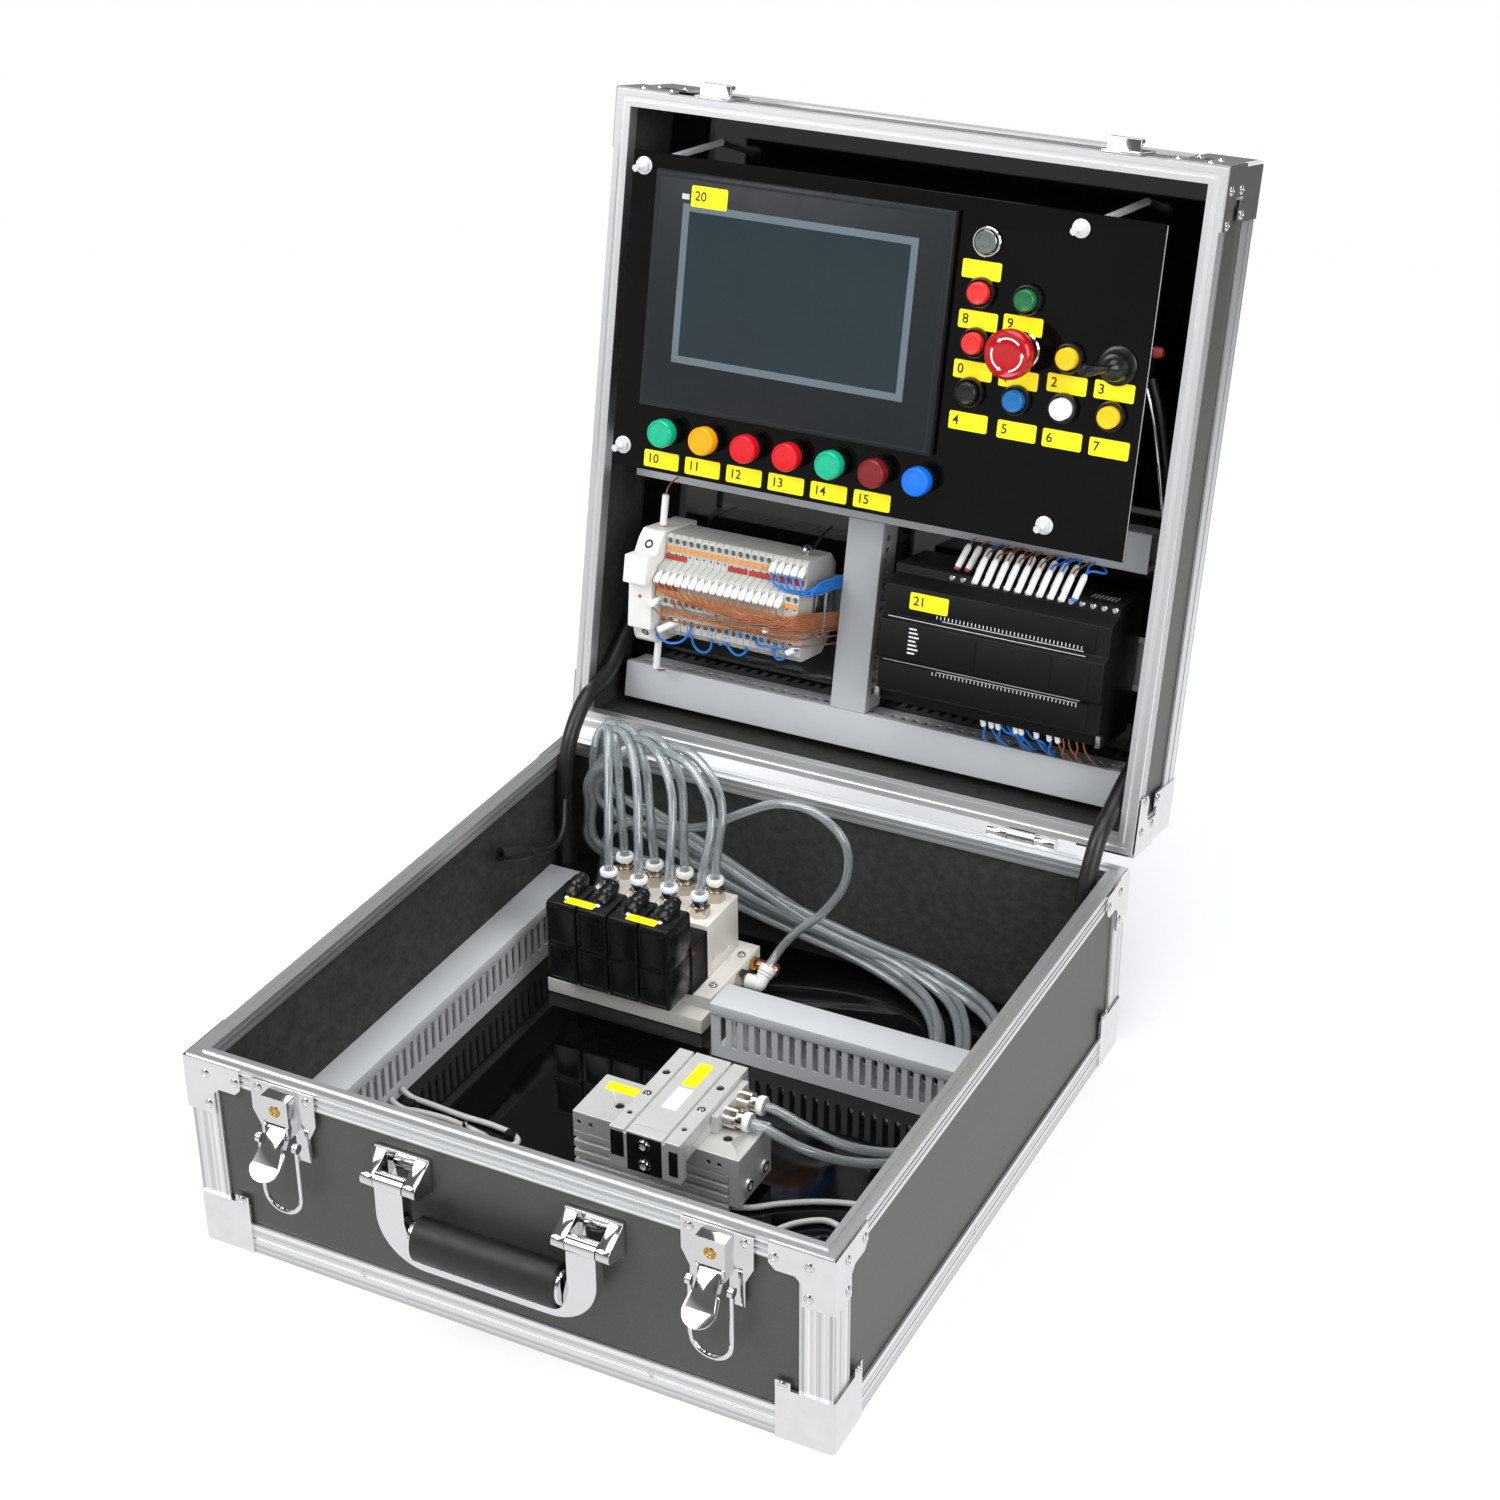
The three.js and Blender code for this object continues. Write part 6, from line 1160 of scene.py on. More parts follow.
# Lid electrics, in the lid's flat frame (x, s, o)
terminalLook = {"from": -144.7, "pitch": 5.18, "count": 20, "section": [
    (80, -54), (72, -44), (72, -14), (76, -10), (90, -10), (94, 0), (119, 0), (123, -10), (138.4, -10),
    (140, -12), (140, -44), (132, -54)],
    "entries": [(82, -10), (97.5, 0), (115.5, 0), (135.4, -10)],
    "testPoints": [(91.6, -5), (109, 0), (126.6, -10)],
    "levers": [(87.2, -10), (102.6, 0), (111.3, 0), (130.6, -10)],
    "bridges": [(-144, -127.5, 106.9, 0), (-144, -128.5, 124.9, -10), (-98, -84, 124.9, -10),
                (-82.6, -64, 124.9, -10), (-63, -53.5, 124.9, -10), (-52.4, -43, 124.9, -10)]}


def addTerminals():
    look = terminalLook
    wide = look["pitch"] - 0.25
    body = cutSheet("terminal", look["section"], wide, place=acrossX)
    holes = [((0, s, o), (0, 0, 1), 1.95, 4) for s, o in look["entries"]]
    holes += [((0, s, o), (0, 0, 1), 0.8, 2) for s, o in look["testPoints"]]
    bevelEdges(drillHoles(body, holes, 14), 0.2, 1, 50)
    tabs = addBlocks("tabs", [((-1.7, s - 1.8, o - 0.4), (1.7, s + 1.8, o + 0.7)) for s, o in look["levers"]],
                     0.25, 1)
    places = [shifted(look["from"] + (i + 0.5) * look["pitch"], 0, 0) for i in range(look["count"])]
    strip = placeCopies("terminalStrip", body, places)
    dressOnLid(strip, "greyPolyamide", ["terminal_strip"])
    levers = placeCopies("terminalLevers", tabs, places)
    dressOnLid(levers, "orangePolyamide")
    bridges = [((a, s - 1.7, o - 0.3), (b, s + 1.7, o + 0.9)) for a, b, s, o in look["bridges"]]
    dressOnLid(addBlocks("terminalBridges", bridges, 0.2, 1), "redPolyamide")


addTerminals()

fuseLook = {"from": -162.6, "to": -145, "section": [
    (64, -54), (64, -12), (66, -9), (74.5, -5), (75.5, 2), (108, 5), (108, 14), (127, 14), (127, 1),
    (136, -4), (141, -9), (141, -54)]}


def addFuseHolder():
    look = fuseLook
    middle = (look["from"] + look["to"]) / 2
    body = cutSheet("fuseHolder", look["section"], look["to"] - look["from"] - 0.6,
                    place=shifted(middle, 0, 0) @ acrossX)
    wells = [((middle, 132.6, -2.1), (0, 0.49, 0.87), 3.1, 5),
             ((middle, 70.4, -6.9), (0, -0.43, 0.9), 2.7, 5)]
    bevelEdges(drillHoles(body, wells, 24), 0.9, 3)
    dressOnLid(body, "whitePolyamide", ["fuse_holder"])
    # Near-black discs just inside the wells paint the shade at their bottoms
    shadeDiscs = [turnPiece("floor", [(radius - 0.05, -1.6), (radius - 0.05, -1.2)], foot, axis, 24)
              for foot, axis, radius, depth in wells]
    dressOnLid(joinPieces("fuseWells", shadeDiscs), "darkHole")
    heads = [turnPiece("head", [(1.6, -1.3), (1.6, -0.8), (0.5, -0.8), (0.4, -1.1)], foot, axis, 16)
             for foot, axis, radius, depth in wells]
    dressOnLid(joinPieces("fuseScrews", heads), "zincPlate")
    lampDot = turnPiece("fuseLamp", [(1.1, -0.3), (1.1, 0.3), (0.8, 0.5)], (middle, 98, 4.1), (0, -0.09, 1),
                        16)
    dressOnLid(lampDot, "redPolyamide")


addFuseHolder()

# Conductors: ferrules stand in the entries, wires hang from them and run back into the duct slots
crownSleeve = [(1.3, -1.6), (1.5, 0), (2.1, 1.2), (2.4, 2.6), (2.4, 6.2), (1.9, 8), (1, 8.4)]
markerSleeve = [(1.5, -1), (2.3, 0), (2.4, 0.6), (2.4, 13.4), (2, 14.4), (0.9, 14.6)]


def addWires(name, routes, radius, surface):
    strands = [layTube("strand", smoothRoute(route, 12), radius, 1) for route in routes]
    dressOnLid(joinPieces(name, strands), surface, smooth=60)


def addSleeves(name, places, profile, surface="ferruleWhite", sides=14):
    sleeves = [turnPiece("sleeve", profile, foot, axis, sides) for foot, axis in places]
    dressOnLid(joinPieces(name, sleeves), surface)


def addTerminalWiring():
    look = terminalLook
    columns = [look["from"] + (i + 0.5) * look["pitch"] for i in range(look["count"])]
    hanging = (0, -0.66, 0.75)
    crownFeet = [((x, 115.5, 0), hanging) for x in columns[:18]]
    shoulderFeet = [((x, 135.4, -10), hanging) for x in columns[15:]]
    strayFeet = [((columns[0], 97.5, 0), (-0.35, -0.5, 0.8)), ((columns[15], 97.5, 0), (0.5, -0.7, 0.5)),
                 ((columns[19], 82, -10), (-0.7, -0.5, 0.5))]
    addSleeves("terminalFerrules", crownFeet + shoulderFeet + strayFeet, crownSleeve)
    addSleeves("terminalMarker", [((columns[2], 82, -10), (-0.72, -0.45, 0.53))], markerSleeve)
    plug = [(1.7, -3), (1.7, -0.5), (1, -0.3)]
    ends = {"redPolyamide": [(i, 97.5, 0) for i in (5, 9, 11, 12, 13, 14)] + [(0, 82, -10), (8, 82, -10)],
            "brownPvc": [(i, 97.5, 0) for i in (2, 3, 8)], "bluePvc": [(11, 82, -10), (14, 82, -10)]}
    for surface, spots in ends.items():
        places = [((columns[i], s, o), (0, 0, 1)) for i, s, o in spots]
        addSleeves("entryEnds" + surface.capitalize(), places, plug, surface, 10)
    brown = []
    for i, x in enumerate(columns[:18]):
        rank = (i * 5 % 18) / 17
        reach = -44 - x
        route = [(x, 110.3, 6), (x + 1.2, 106.6, 8.2)]
        if reach > 16:
            route.append((x + 0.3 * reach, 104.6 - 4 * rank - 0.02 * reach, 9 - rank))
            route.append((x + 0.7 * reach, 102.6 - 5 * rank, 8))
        brown.append(route + [(-41 - rank, 96.5 + 10 * rank, 2.5 + 2 * rank), (-34, 96.5 + 9 * rank, -18),
                              (-26.5, 95 + 9 * rank, -42)])
    brown += [
        [(-144.2, 93.6, 5.8), (-141, 89.4, 7), (-126, 86, 3), (-104, 85.4, -3), (-82, 87.5, -2), (-60, 91, 3),
         (-42, 93, 2), (-34, 92.5, -18), (-26.5, 92, -42)],
        [(columns[2], 97.5, -1), (-130, 95, 4), (-118, 91.4, 5), (-92, 93.5, 6), (-66, 96, 6), (-42, 96.5, 3),
         (-34, 96, -18), (-26.5, 95, -42)],
        [(columns[3], 97.5, -1), (-124, 95.4, 4), (-110, 92.6, 5), (-86, 91.6, 5), (-62, 94, 5), (-42, 95, 2),
         (-34, 94.5, -18), (-26.5, 93.4, -42)],
        [(columns[8], 97.5, -1), (-98, 94, 4), (-84, 90, 3), (-62, 88.6, 0), (-44, 89, -3), (-34, 88.6, -20),
         (-26.5, 88, -42)],
        [(-60.5, 91.8, 4), (-56, 87.6, 3), (-46, 84.6, -1), (-35, 83.4, -20), (-26.5, 82.6, -42)],
    ]
    addWires("terminalWiresBrown", brown, 0.62, "brownPvc")
    blue = []
    for i, x in enumerate(columns[15:]):
        blue.append([(x, 130.2, -4), (x + 2, 126.6, -1.5), (x + 8, 122.6 - 0.8 * i, 0.5),
                     (-36 + i, 120 + 1.8 * i, -8), (-30, 121 + 1.8 * i, -26), (-26.5, 121.6 + 1.8 * i, -42)])
    loops = [(4, 7, 63.6), (7, 9, 71.4), (9, 12, 67)]
    blue.append([(-141.9, 75.6, -1.8), (-143, 71, -5), (-136, 67, -8), (-127, 69.6, -9),
                 (columns[4], 77.6, -8), (columns[4], 82, -11)])
    for left, right, low in loops:
        a, b = columns[left], columns[right]
        blue.append([(a, 82, -11), (a + 0.4, 76.5, -11), (a + 1.6, low + 4, -13), ((a + b) / 2, low, -14),
                     (b - 1.6, low + 4, -13), (b - 0.4, 76.5, -11), (b, 82, -11)])
    blue.append([(columns[16], 82, -11), (columns[16] + 0.4, 76, -8), (-56, 72.4, -8), (-51.6, 73.6, -8),
                 (-49.4, 78, -8)])
    blue.append([(columns[13], 82, -11), (-70, 79.6, -6), (-60, 80.4, -5), (-50, 80.6, -6), (-42, 81, -8)])
    addWires("terminalWiresBlue", blue, 0.85, "bluePvc")
    # Zinc end clamp with its screws, and the screw with a dark tag above the strip
    clamp = [((-39.6, 88, -46), (-38.4, 124, -22)), ((-39.6, 88, -24), (-31.6, 90, -22)),
             ((-39.6, 122, -24), (-31.6, 124, -22)), ((-33.2, 88, -24), (-31.6, 124, -22))]
    dressOnLid(addBlocks("stripClamp", clamp, 0.3), "zincPlate")
    addSleeves("stripClampScrews", [((-35.4, s, -22), (0, 0, 1)) for s in (92.6, 119.6)], [
        (1.8, -0.6), (2.9, 0), (2.9, 1.4), (2.3, 2.2), (0.8, 2.2), (0.7, 1.2)], "nickelPlate", 16)
    addSleeves("stripScrew", [((-50.5, 139.6, -27), (0, 1, 0.2))], [
        (1.8, -1), (1.8, 3), (3.9, 3.2), (3.9, 5.2), (3.1, 6.2), (0.9, 6.2), (0.8, 5)], "nickelPlate", 16)
    addWires("stripTag", [[(-48, 144, -31), (-46.4, 151, -38), (-43, 157, -46)]], 0.9, "blackPvc")


addTerminalWiring()


def addFuseWiring():
    middle = (fuseLook["from"] + fuseLook["to"]) / 2
    sleeve = [(1.9, 0.8), (2.4, 1), (2.4, 20.6), (2, 21.6), (0.9, 21.8)]
    foot = [(2.1, -0.4), (2.2, 1.6), (1.4, 1.8)]
    upper = ((middle, 141, -21), (0.02, 1, 0.02))
    lower = ((middle + 4.5, 65, -19), (-0.06, -1, -0.1))
    addSleeves("fuseSleeves", [upper, lower], sleeve)
    addSleeves("fuseSleeveFeet", [upper, lower], foot, "redPolyamide")
    addWires("fuseWires", [
        [(middle + 0.4, 162, -20.6), (middle + 0.8, 167, -22), (middle + 1, 171, -30),
         (middle + 1, 173, -44)],
        [(middle + 3.2, 43.6, -21.2), (middle + 3, 41, -26), (middle + 3, 38.4, -38)]], 0.62, "brownPvc")


addFuseWiring()

controllerLook = {"from": 20, "to": 170, "section": [
    (62, -54), (62, -8), (67.5, -8), (73, 4), (92, 4), (94.5, 10), (119.5, 10), (122, 4), (141, 4),
    (146.5, -8), (152, -8), (152, -54)], "entryFrom": 58.6, "entryPitch": 7.2, "entries": 16}


def addController():
    look = controllerLook
    low, high = look["from"], look["to"]
    middle = (low + high) / 2
    body = cutSheet("controller", look["section"], high - low, place=shifted(middle, 0, 0) @ acrossX)
    bevelEdges(body, 0.8, 2)
    dressOnLid(body, "mattAbs", ["logic_controller"])
    covers = [((low + 1.2, a, 3), (high - 9, b, 4.6)) for a, b in ((74, 91.2), (123, 140))]
    covers += [((a, 95.8, 9), (b, 118.2, 10.5))
               for a, b in ((low + 2, low + 66), (low + 67, low + 116), (low + 117, high - 9))]
    dressOnLid(addBlocks("controllerCovers", covers, 0.4), "mattAbs")
    prints = []
    for s, o, a, b in ((121.2, 6.4, low + 4, high - 14), (93, 7, low + 4, high - 14),
                       (123.6, 4.7, low + 40, high - 16), (90.6, 4.7, low + 40, high - 16)):
        prints.append(((a, s - 0.18, o), (b, s + 0.18, o + 0.12)))
    for i in range(38):
        x = low + 36 + i * 2.6
        prints.append(((x, 124.4, 4.6), (x + 0.5, 126.6, 4.75)))
        prints.append(((x + 1, 88, 4.6), (x + 1.5, 90, 4.75)))
    for i in range(7):
        prints.append(((low + 21, 116 - 2.6 * i, 10.5), (low + 26 + i % 3, 117 - 2.6 * i, 10.62)))
    dressOnLid(addBlocks("controllerPrint", prints), "whitePrint")
    clips = [((x, 63, -7), (x + 3, 71, -1)) for x in (low - 2.6, high - 3)]
    dressOnLid(addBlocks("controllerClips", clips, 0.3), "zincPlate")
    screw = turnPiece("screw", [(2, -1), (2, 0.6), (1.6, 1), (0.5, 1), (0.4, 0.4)], sides=12)
    screws = placeCopies("controllerScrews", screw, [
        shifted(look["entryFrom"] + look["entryPitch"] * i, 149.4, -8) for i in range(look["entries"])])
    dressOnLid(screws, "nickelPlate")
    vents = [((146 + 2.6 * i, 151.9, -20 - 2.6 * j), (147 + 2.6 * i, 152.12, -21 - 2.6 * j))
             for i in range(7) for j in range(4)]
    dressOnLid(addBlocks("controllerVents", vents), "greyPolyamide")


addController()


def addControllerWiring():
    look = controllerLook
    entries = [look["entryFrom"] + look["entryPitch"] * i for i in range(look["entries"])]
    rearLean = Vector((0.24, 0.88, -0.4)).normalized()
    frontLean = Vector((0.2, 0.93, -0.3)).normalized()
    sleeve = [(1.5, 1), (2.1, 1.6), (2.2, 15), (1.5, 17.4), (0.8, 17.8)]
    foot = [(1.4, -0.6), (2.1, 0), (2.1, 1.8), (1.4, 2)]
    rear = [((x - 0.6, 153.4, -15), rearLean) for x in entries[:11]]
    front = [((x + 1.4, 149.4, -6), frontLean) for x in entries[2:11]]
    front.append(((entries[11] + 1.6, 150.4, -8), frontLean))
    addSleeves("entrySleeves", rear + front, sleeve)
    addSleeves("entryFeetRed", rear[:3] + rear[5:6], foot, "redPolyamide")
    addSleeves("entryFeetWhite", rear[3:5] + rear[6:] + front[:-1], foot)
    addSleeves("entryFeetBlue", front[-1:], foot, "bluePvc")
    runs = {"brownPvc": [], "bluePvc": []}
    for index, (start, axis) in enumerate(rear + front):
        x, s, o = Vector(start) + axis * 17.6
        drift = (index * 7 % 5) - 2
        colour = "bluePvc" if index in (2, 8, 9, 10, 17, 18, 20) else "brownPvc"
        top = min(s + 3, 170)
        runs[colour].append([(x, s, o), (x + 0.6, (s + top) / 2 + 0.6, o - 1.6), (x + 1 + drift, top, o - 7),
                             (x + 1 + 1.5 * drift, 170, -38), (x + 1 + 2 * drift, 172, -48)])
    runs["bluePvc"].append([(x, s, o), (x + 3, s + 2, o - 2), (x + 9, s + 1, o - 7), (x + 8, s, o - 16),
                            (x, 169, -40), (x - 4, 171, -48)])
    addWires("entryWiresBrown", runs["brownPvc"], 0.62, "brownPvc")
    addWires("entryWiresBlue", runs["bluePvc"], 0.75, "bluePvc")
    exits = [88.3, 93.8, 98.5, 110.3, 114.2, 124.4, 133, 138.6]
    down = Vector((0.12, -0.8, -0.25)).normalized()
    addSleeves("exitSleeves", [((x - 1, 65, -12), down) for x in exits], [
        (1.2, 0), (1.8, 0.6), (1.8, 8), (1.2, 8.8), (0.6, 9)])
    out = {"brownPvc": [], "bluePvc": []}
    for index, x in enumerate(exits + [142, 146, 151, 156]):
        colour = "brownPvc" if index > 6 else "bluePvc"
        sway = 5 if index % 2 else -3
        top = (x, 57.6, -15) if index < len(exits) else (x - 1, 63, -14)
        out[colour].append([top, (x + 0.4, 54.6, -16.6), (x + 0.6 * sway, 49, -21), (x + sway, 43, -31),
                            (x + sway, 39, -42)])
    for x in (99, 104, 117):
        out["bluePvc"].append([(x, 62, -13), (x + 4, 56, -16), (x + 10, 54, -18), (x + 13, 47, -26),
                               (x + 13, 39, -42)])
    addWires("exitWiresBrown", out["brownPvc"], 0.62, "brownPvc")
    addWires("exitWiresBlue", out["bluePvc"], 0.85, "bluePvc")
    inside = [[(-4, 150 + 7 * i, -46), (-6, 153 + 7 * i, -43), (-9, 157 + 7 * i, -45), (-7, 162 + 7 * i, -48)]
              for i in range(2)]
    addWires("ductWires", inside, 1.1, "bluePvc")
    # Rail end on the lid's right wall
    stop = [((183, 96, -52), (184.4, 126, -50)), ((183, 96, -24), (184.4, 126, -22)),
            ((183, 96, -52), (184.4, 98, -22)), ((183, 124, -52), (184.4, 126, -22))]
    dressOnLid(addBlocks("railStop", stop, 0.3), "zincPlate")


addControllerWiring()
print("lid electrics done")

# Operator panel
panelLook = {"half": 175, "low": 186, "high": 386, "front": 18, "thickness": 3, "bore": 7.2, "pitch": 30,
             "cell": (66.5, 271.5), "lamp": (-135, 213.5), "lampPitch": 29.5}


def panelCell(column, row):
    x, s = panelLook["cell"]
    return x + panelLook["pitch"] * column, s + panelLook["pitch"] * row


def lampPlace(index):
    x, s = panelLook["lamp"]
    return x + panelLook["lampPitch"] * index, s


buttonCells = {
    "push_button_power": (0, 3, "buttonSteel", "metal_cap"), "push_button_red_upper": (0, 2, "redCap", "red"),
    "push_button_green": (1, 2, "greenCap", "green"), "push_button_red_lower": (0, 1, "redCap", "red"),
    "push_button_yellow_upper": (2, 1, "yellowCap", "yellow"),
    "push_button_black": (0, 0, "blackCap", "black"),
    "push_button_blue": (1, 0, "blueCap", "blue"), "push_button_white": (2, 0, "whiteCap", "white"),
    "push_button_yellow_lower": (3, 0, "yellowCap", "yellow"),
}
lampLooks = ["greenLens", "amberLens", "redLens", "redLens", "greenLens", "darkRedLens", "blueLens"]
cupProfile = [(8.4, -0.2), (9.2, 0.4), (9.2, 3.4), (8.7, 4.4), (8.2, 4.5), (7.5, 3.9), (7.5, -0.6)]
capProfile = [(6.6, -1), (6.6, 8), (6.2, 8.7), (5.6, 9), (5, 8.8)]
lampCollar = [(8.6, -0.3), (8.9, 0.3), (8.9, 5.6), (8.4, 6.4)]
lampLens = [(8.2, 6), (9, 6.6), (9, 12.4), (8.6, 13.6), (8, 14.2), (7.5, 14.2), (7.3, 13.6), (3.6, 13.7)]
powerRing = [(8.6, -0.2), (9.1, 0.3), (9.1, 1.6), (8.6, 2.1), (8, 2.1), (7.4, 1.6), (7.4, -0.6)]
powerCap = [(7, -0.6), (7, 3.2), (6.6, 3.6), (5.2, 3.6), (5, 3.2), (3.4, 3.2), (3.2, 3.5)]

stopLook = {"cell": (1, 1),
            "head": [(6, 6.5), (10.6, 9), (12, 14), (14.4, 17.6), (15, 19), (15, 24.6), (14.2, 26.2),
                     (12.8, 27), (11.8, 26.6), (5, 26.4)],
            "collar": [(10.6, 0), (11.4, 0.4), (11.4, 2.2), (10.6, 3), (8.6, 2), (7.4, 0.4), (7.4, -0.5)],
            "stem": [(6.4, -2), (6.4, 9)]}


def addPanel():
    look = panelLook
    half, low, high, front = look["half"], look["low"], look["high"], look["front"]
    outline = [(-half, low), (half, low), (half, high), (-half, high)]
    cells = [panelCell(column, row) for column, row, surface, slot in buttonCells.values()]
    bores = [ringOf(look["bore"], 28, cell) for cell in cells + [panelCell(*stopLook["cell"])]]
    plate = cutSheet("operatorPanel", outline, look["thickness"], bores,
                     shifted(0, 0, front - look["thickness"] / 2))
    bevelEdges(plate, 0.3)
    dressOnLid(plate, "panelAcrylic", ["control_panel"])
    edge = addBlock("panelEdge", (half, low + 0.6, front - 1.3), (half + 0.2, high - 0.6, front - 0.4))
    dressOnLid(edge, "greyPvc")
    cups = [turnPiece("cup", cupProfile, (*panelCell(column, row), front), sides=36)
            for column, row, surface, slot in buttonCells.values() if row != 3]
    dressOnLid(joinPieces("buttonCups", cups), "blackCap")
    dressOnLid(turnPiece("powerRing", powerRing, (*panelCell(0, 3), front), sides=40), "nickelPlate")
    for nodeName, (column, row, surface, slot) in buttonCells.items():
        profile = powerCap if row == 3 else capProfile
        name = "cap" + "".join(part.capitalize() for part in nodeName.split("_")[2:])
        cap = turnPiece(name, profile, (*panelCell(column, row), front), sides=36)
        dressOnLid(cap, surface, [nodeName], nodeName)
    for index, surface in enumerate(lampLooks):
        foot = (*lampPlace(index), front)
        collar = turnPiece(f"lampCollar{index}", lampCollar, foot, sides=36)
        dressOnLid(collar, "blackCap")
        lens = turnPiece(f"lampLens{index}", lampLens, foot, sides=44)
        dressOnLid(lens, surface)


addPanel()

screenLook = {"x": -54, "s": 303, "width": 202, "height": 148, "back": 18.3, "front": 25.3,
              "display": (159.6, 99.2), "lift": 6, "border": 4.6}


def addScreen():
    look = screenLook
    x, s = look["x"], look["s"]
    halfX, halfS = look["width"] / 2, look["height"] / 2
    body = addBlock("screenBody", (x - halfX, s - halfS, look["back"]),
                    (x + halfX, s + halfS, look["front"] - 1.4))
    pickFaces(body, lambda c, n: n.z > 0.9)
    bpy.ops.mesh.inset(thickness=2.4 * millimetre, depth=1.2 * millimetre)
    bpy.ops.mesh.inset(thickness=1.2 * millimetre, depth=-0.3 * millimetre)
    bpy.ops.mesh.inset(thickness=1 * millimetre, depth=0.5 * millimetre)
    endEdit()
    bevelEdges(body, 0.8, 3)
    dressOnLid(body, "screenBezel", ["operator_screen"])
    wide, high = look["display"]
    middle = s + look["lift"]
    border = look["border"]
    corners = ((-1, -1), (1, -1), (1, 1), (-1, 1))
    outline = [(x + a * wide / 2, middle + b * high / 2) for a, b in corners]
    inner = [(x + a * (wide / 2 - border), middle + b * (high / 2 - border)) for a, b in corners]
    level = look["front"] - 0.05
    rim = cutSheet("screenBorder", outline, 0.3, [inner], shifted(0, 0, level))
    dressOnLid(rim, "screenBorder")
    glass = cutSheet("screenGlass", inner, 0.24, place=shifted(0, 0, level))
    dressOnLid(glass, "screenGlass")
    lightX, lightS = x - halfX + 20, s + halfS - 16
    light = addBlock("screenLight", (lightX, lightS, level - 0.2), (lightX + 5, lightS + 3.4, level + 0.2))
    dressOnLid(light, "greyPolyamide")


addScreen()


def addEmergencyStop():
    foot = (*panelCell(*stopLook["cell"]), panelLook["front"])
    collar = turnPiece("stopCollar", stopLook["collar"], foot, sides=40)
    dressOnLid(collar, "nickelPlate")
    stem = turnPiece("stopStem", stopLook["stem"], foot, sides=28)
    dressOnLid(stem, "blackCap", body="emergency_stop")
    head = turnPiece("stopHead", stopLook["head"], foot, sides=56)
    dressOnLid(head, "stopRed", ["emergency_stop"], "emergency_stop")
    x, s, front = foot
    arrows = []
    for turn in (90, 210, 330):
        outer = ringOf(10.2, 12, (x, s), turn - 46, turn + 32)
        inner = ringOf(9.1, 12, (x, s), turn + 32, turn - 46)
        tip = [(x + r * math.cos(math.radians(turn + a)), s + r * math.sin(math.radians(turn + a)))
               for r, a in ((11, 32), (9.65, 46), (8.3, 32))]
        arrows.append(cutSheet("arrow", outer + tip + inner, 0.16, place=shifted(0, 0, front + 26.6)))
    dressOnLid(joinPieces("stopArrows", arrows), "whitePrint", body="emergency_stop")


addEmergencyStop()

toggleLook = {"cell": (3, 1), "tilt": 20,
              "base": [(11.4, -0.2), (11.8, 0.4), (11.8, 1.4), (10.6, 2.2), (9.8, 2.3), (9.2, 4),
                       (8.4, 8), (7.8, 9.6), (6.6, 10.2)],
              "boot": [(6.4, -2.4), (6.4, -0.4), (5.4, 2), (4.6, 3.4), (3.6, 5), (3.1, 7)],
              "bat": [(2.7, 3), (2.8, 12), (3.7, 20), (4, 24.4), (3.5, 27.2), (1.8, 28.4)]}


def addToggle():
    foot = (*panelCell(*toggleLook["cell"]), panelLook["front"])
    dressOnLid(turnPiece("toggleBase", toggleLook["base"], foot, sides=40), "blackCap")
    pivot = (foot[0], foot[1], foot[2] + 10)
    lean = math.radians(toggleLook["tilt"])
    axis = (-math.sin(lean), 0, math.cos(lean))
    boot = turnPiece("boot", toggleLook["boot"], pivot, axis, 32)
    bat = turnPiece("bat", toggleLook["bat"], pivot, axis, 28)
    dressOnLid(joinPieces("toggleLever", [boot, bat]), "glossAbs", ["toggle_lever"],
               "toggle")


addToggle()


# Behind the panel: contact blocks of the controls, tails of the lamps, the screen's rear box
def addBehindPanel():
    spots = [panelCell(column, row) for column, row, surface, slot in buttonCells.values()]
    spots += [panelCell(*stopLook["cell"]), panelCell(*toggleLook["cell"])]
    nuts = [turnPiece("nut", [(7.6, -11), (7.6, 6), (10.4, 6.2), (10.4, 10.6)], (x, s, 0), sides=20)
            for x, s in spots]
    tails = [turnPiece("tail", [(3, -13), (7.2, -12.4), (7.2, 10), (8.6, 10.2), (8.6, 14.6)],
                       (*lampPlace(i), 0), sides=20) for i in range(len(lampLooks))]
    blocks = [addBlock("block", (x - 9, s - 7, -26), (x + 9, s + 7, -10.6)) for x, s in spots]
    dressOnLid(joinPieces("panelContacts", nuts + tails + blocks), "mattAbs")
    rear = addBlock("screenRear", (-148, 236, -19.6), (40, 370, 18.6))
    sinkFaces(rear, lambda c, n: n.z < -0.9, 6, 1)
    dressOnLid(bevelEdges(rear, 1.4), "mattAbs")
    runs = [[(168, 292, -14), (174, 276, -16), (180, 252, -20), (184.6, 222, -27), (187.6, 190, -40),
             (188.6, 150, -50), (188.6, 104, -52), (187.6, 74, -56)]]
    addWires("sideCable", runs, 2.5, "blackPvc")
    addWires("sideBraid", [[(x - 3.6, s - 1, o + 3.6) for x, s, o in runs[0][:5]] + [(185.6, 160, -47)]], 1.5,
             "nickelPlate")
    plug = turnPiece("sidePlug", [(2.6, 0), (3.4, 0.6), (3.4, 9), (2.4, 11)], (160, 306, -20), (1, 0.1, 0),
                     18)
    dressOnLid(plug, "redPolyamide")
    wallScrew = turnPiece("wallScrew", [(2.2, 0), (2.8, 0.5), (2.8, 1.8), (2, 2.6)], (193, 262, -8),
                          (-1, 0, 0), 16)
    dressOnLid(wallScrew, "nickelPlate")


addBehindPanel()

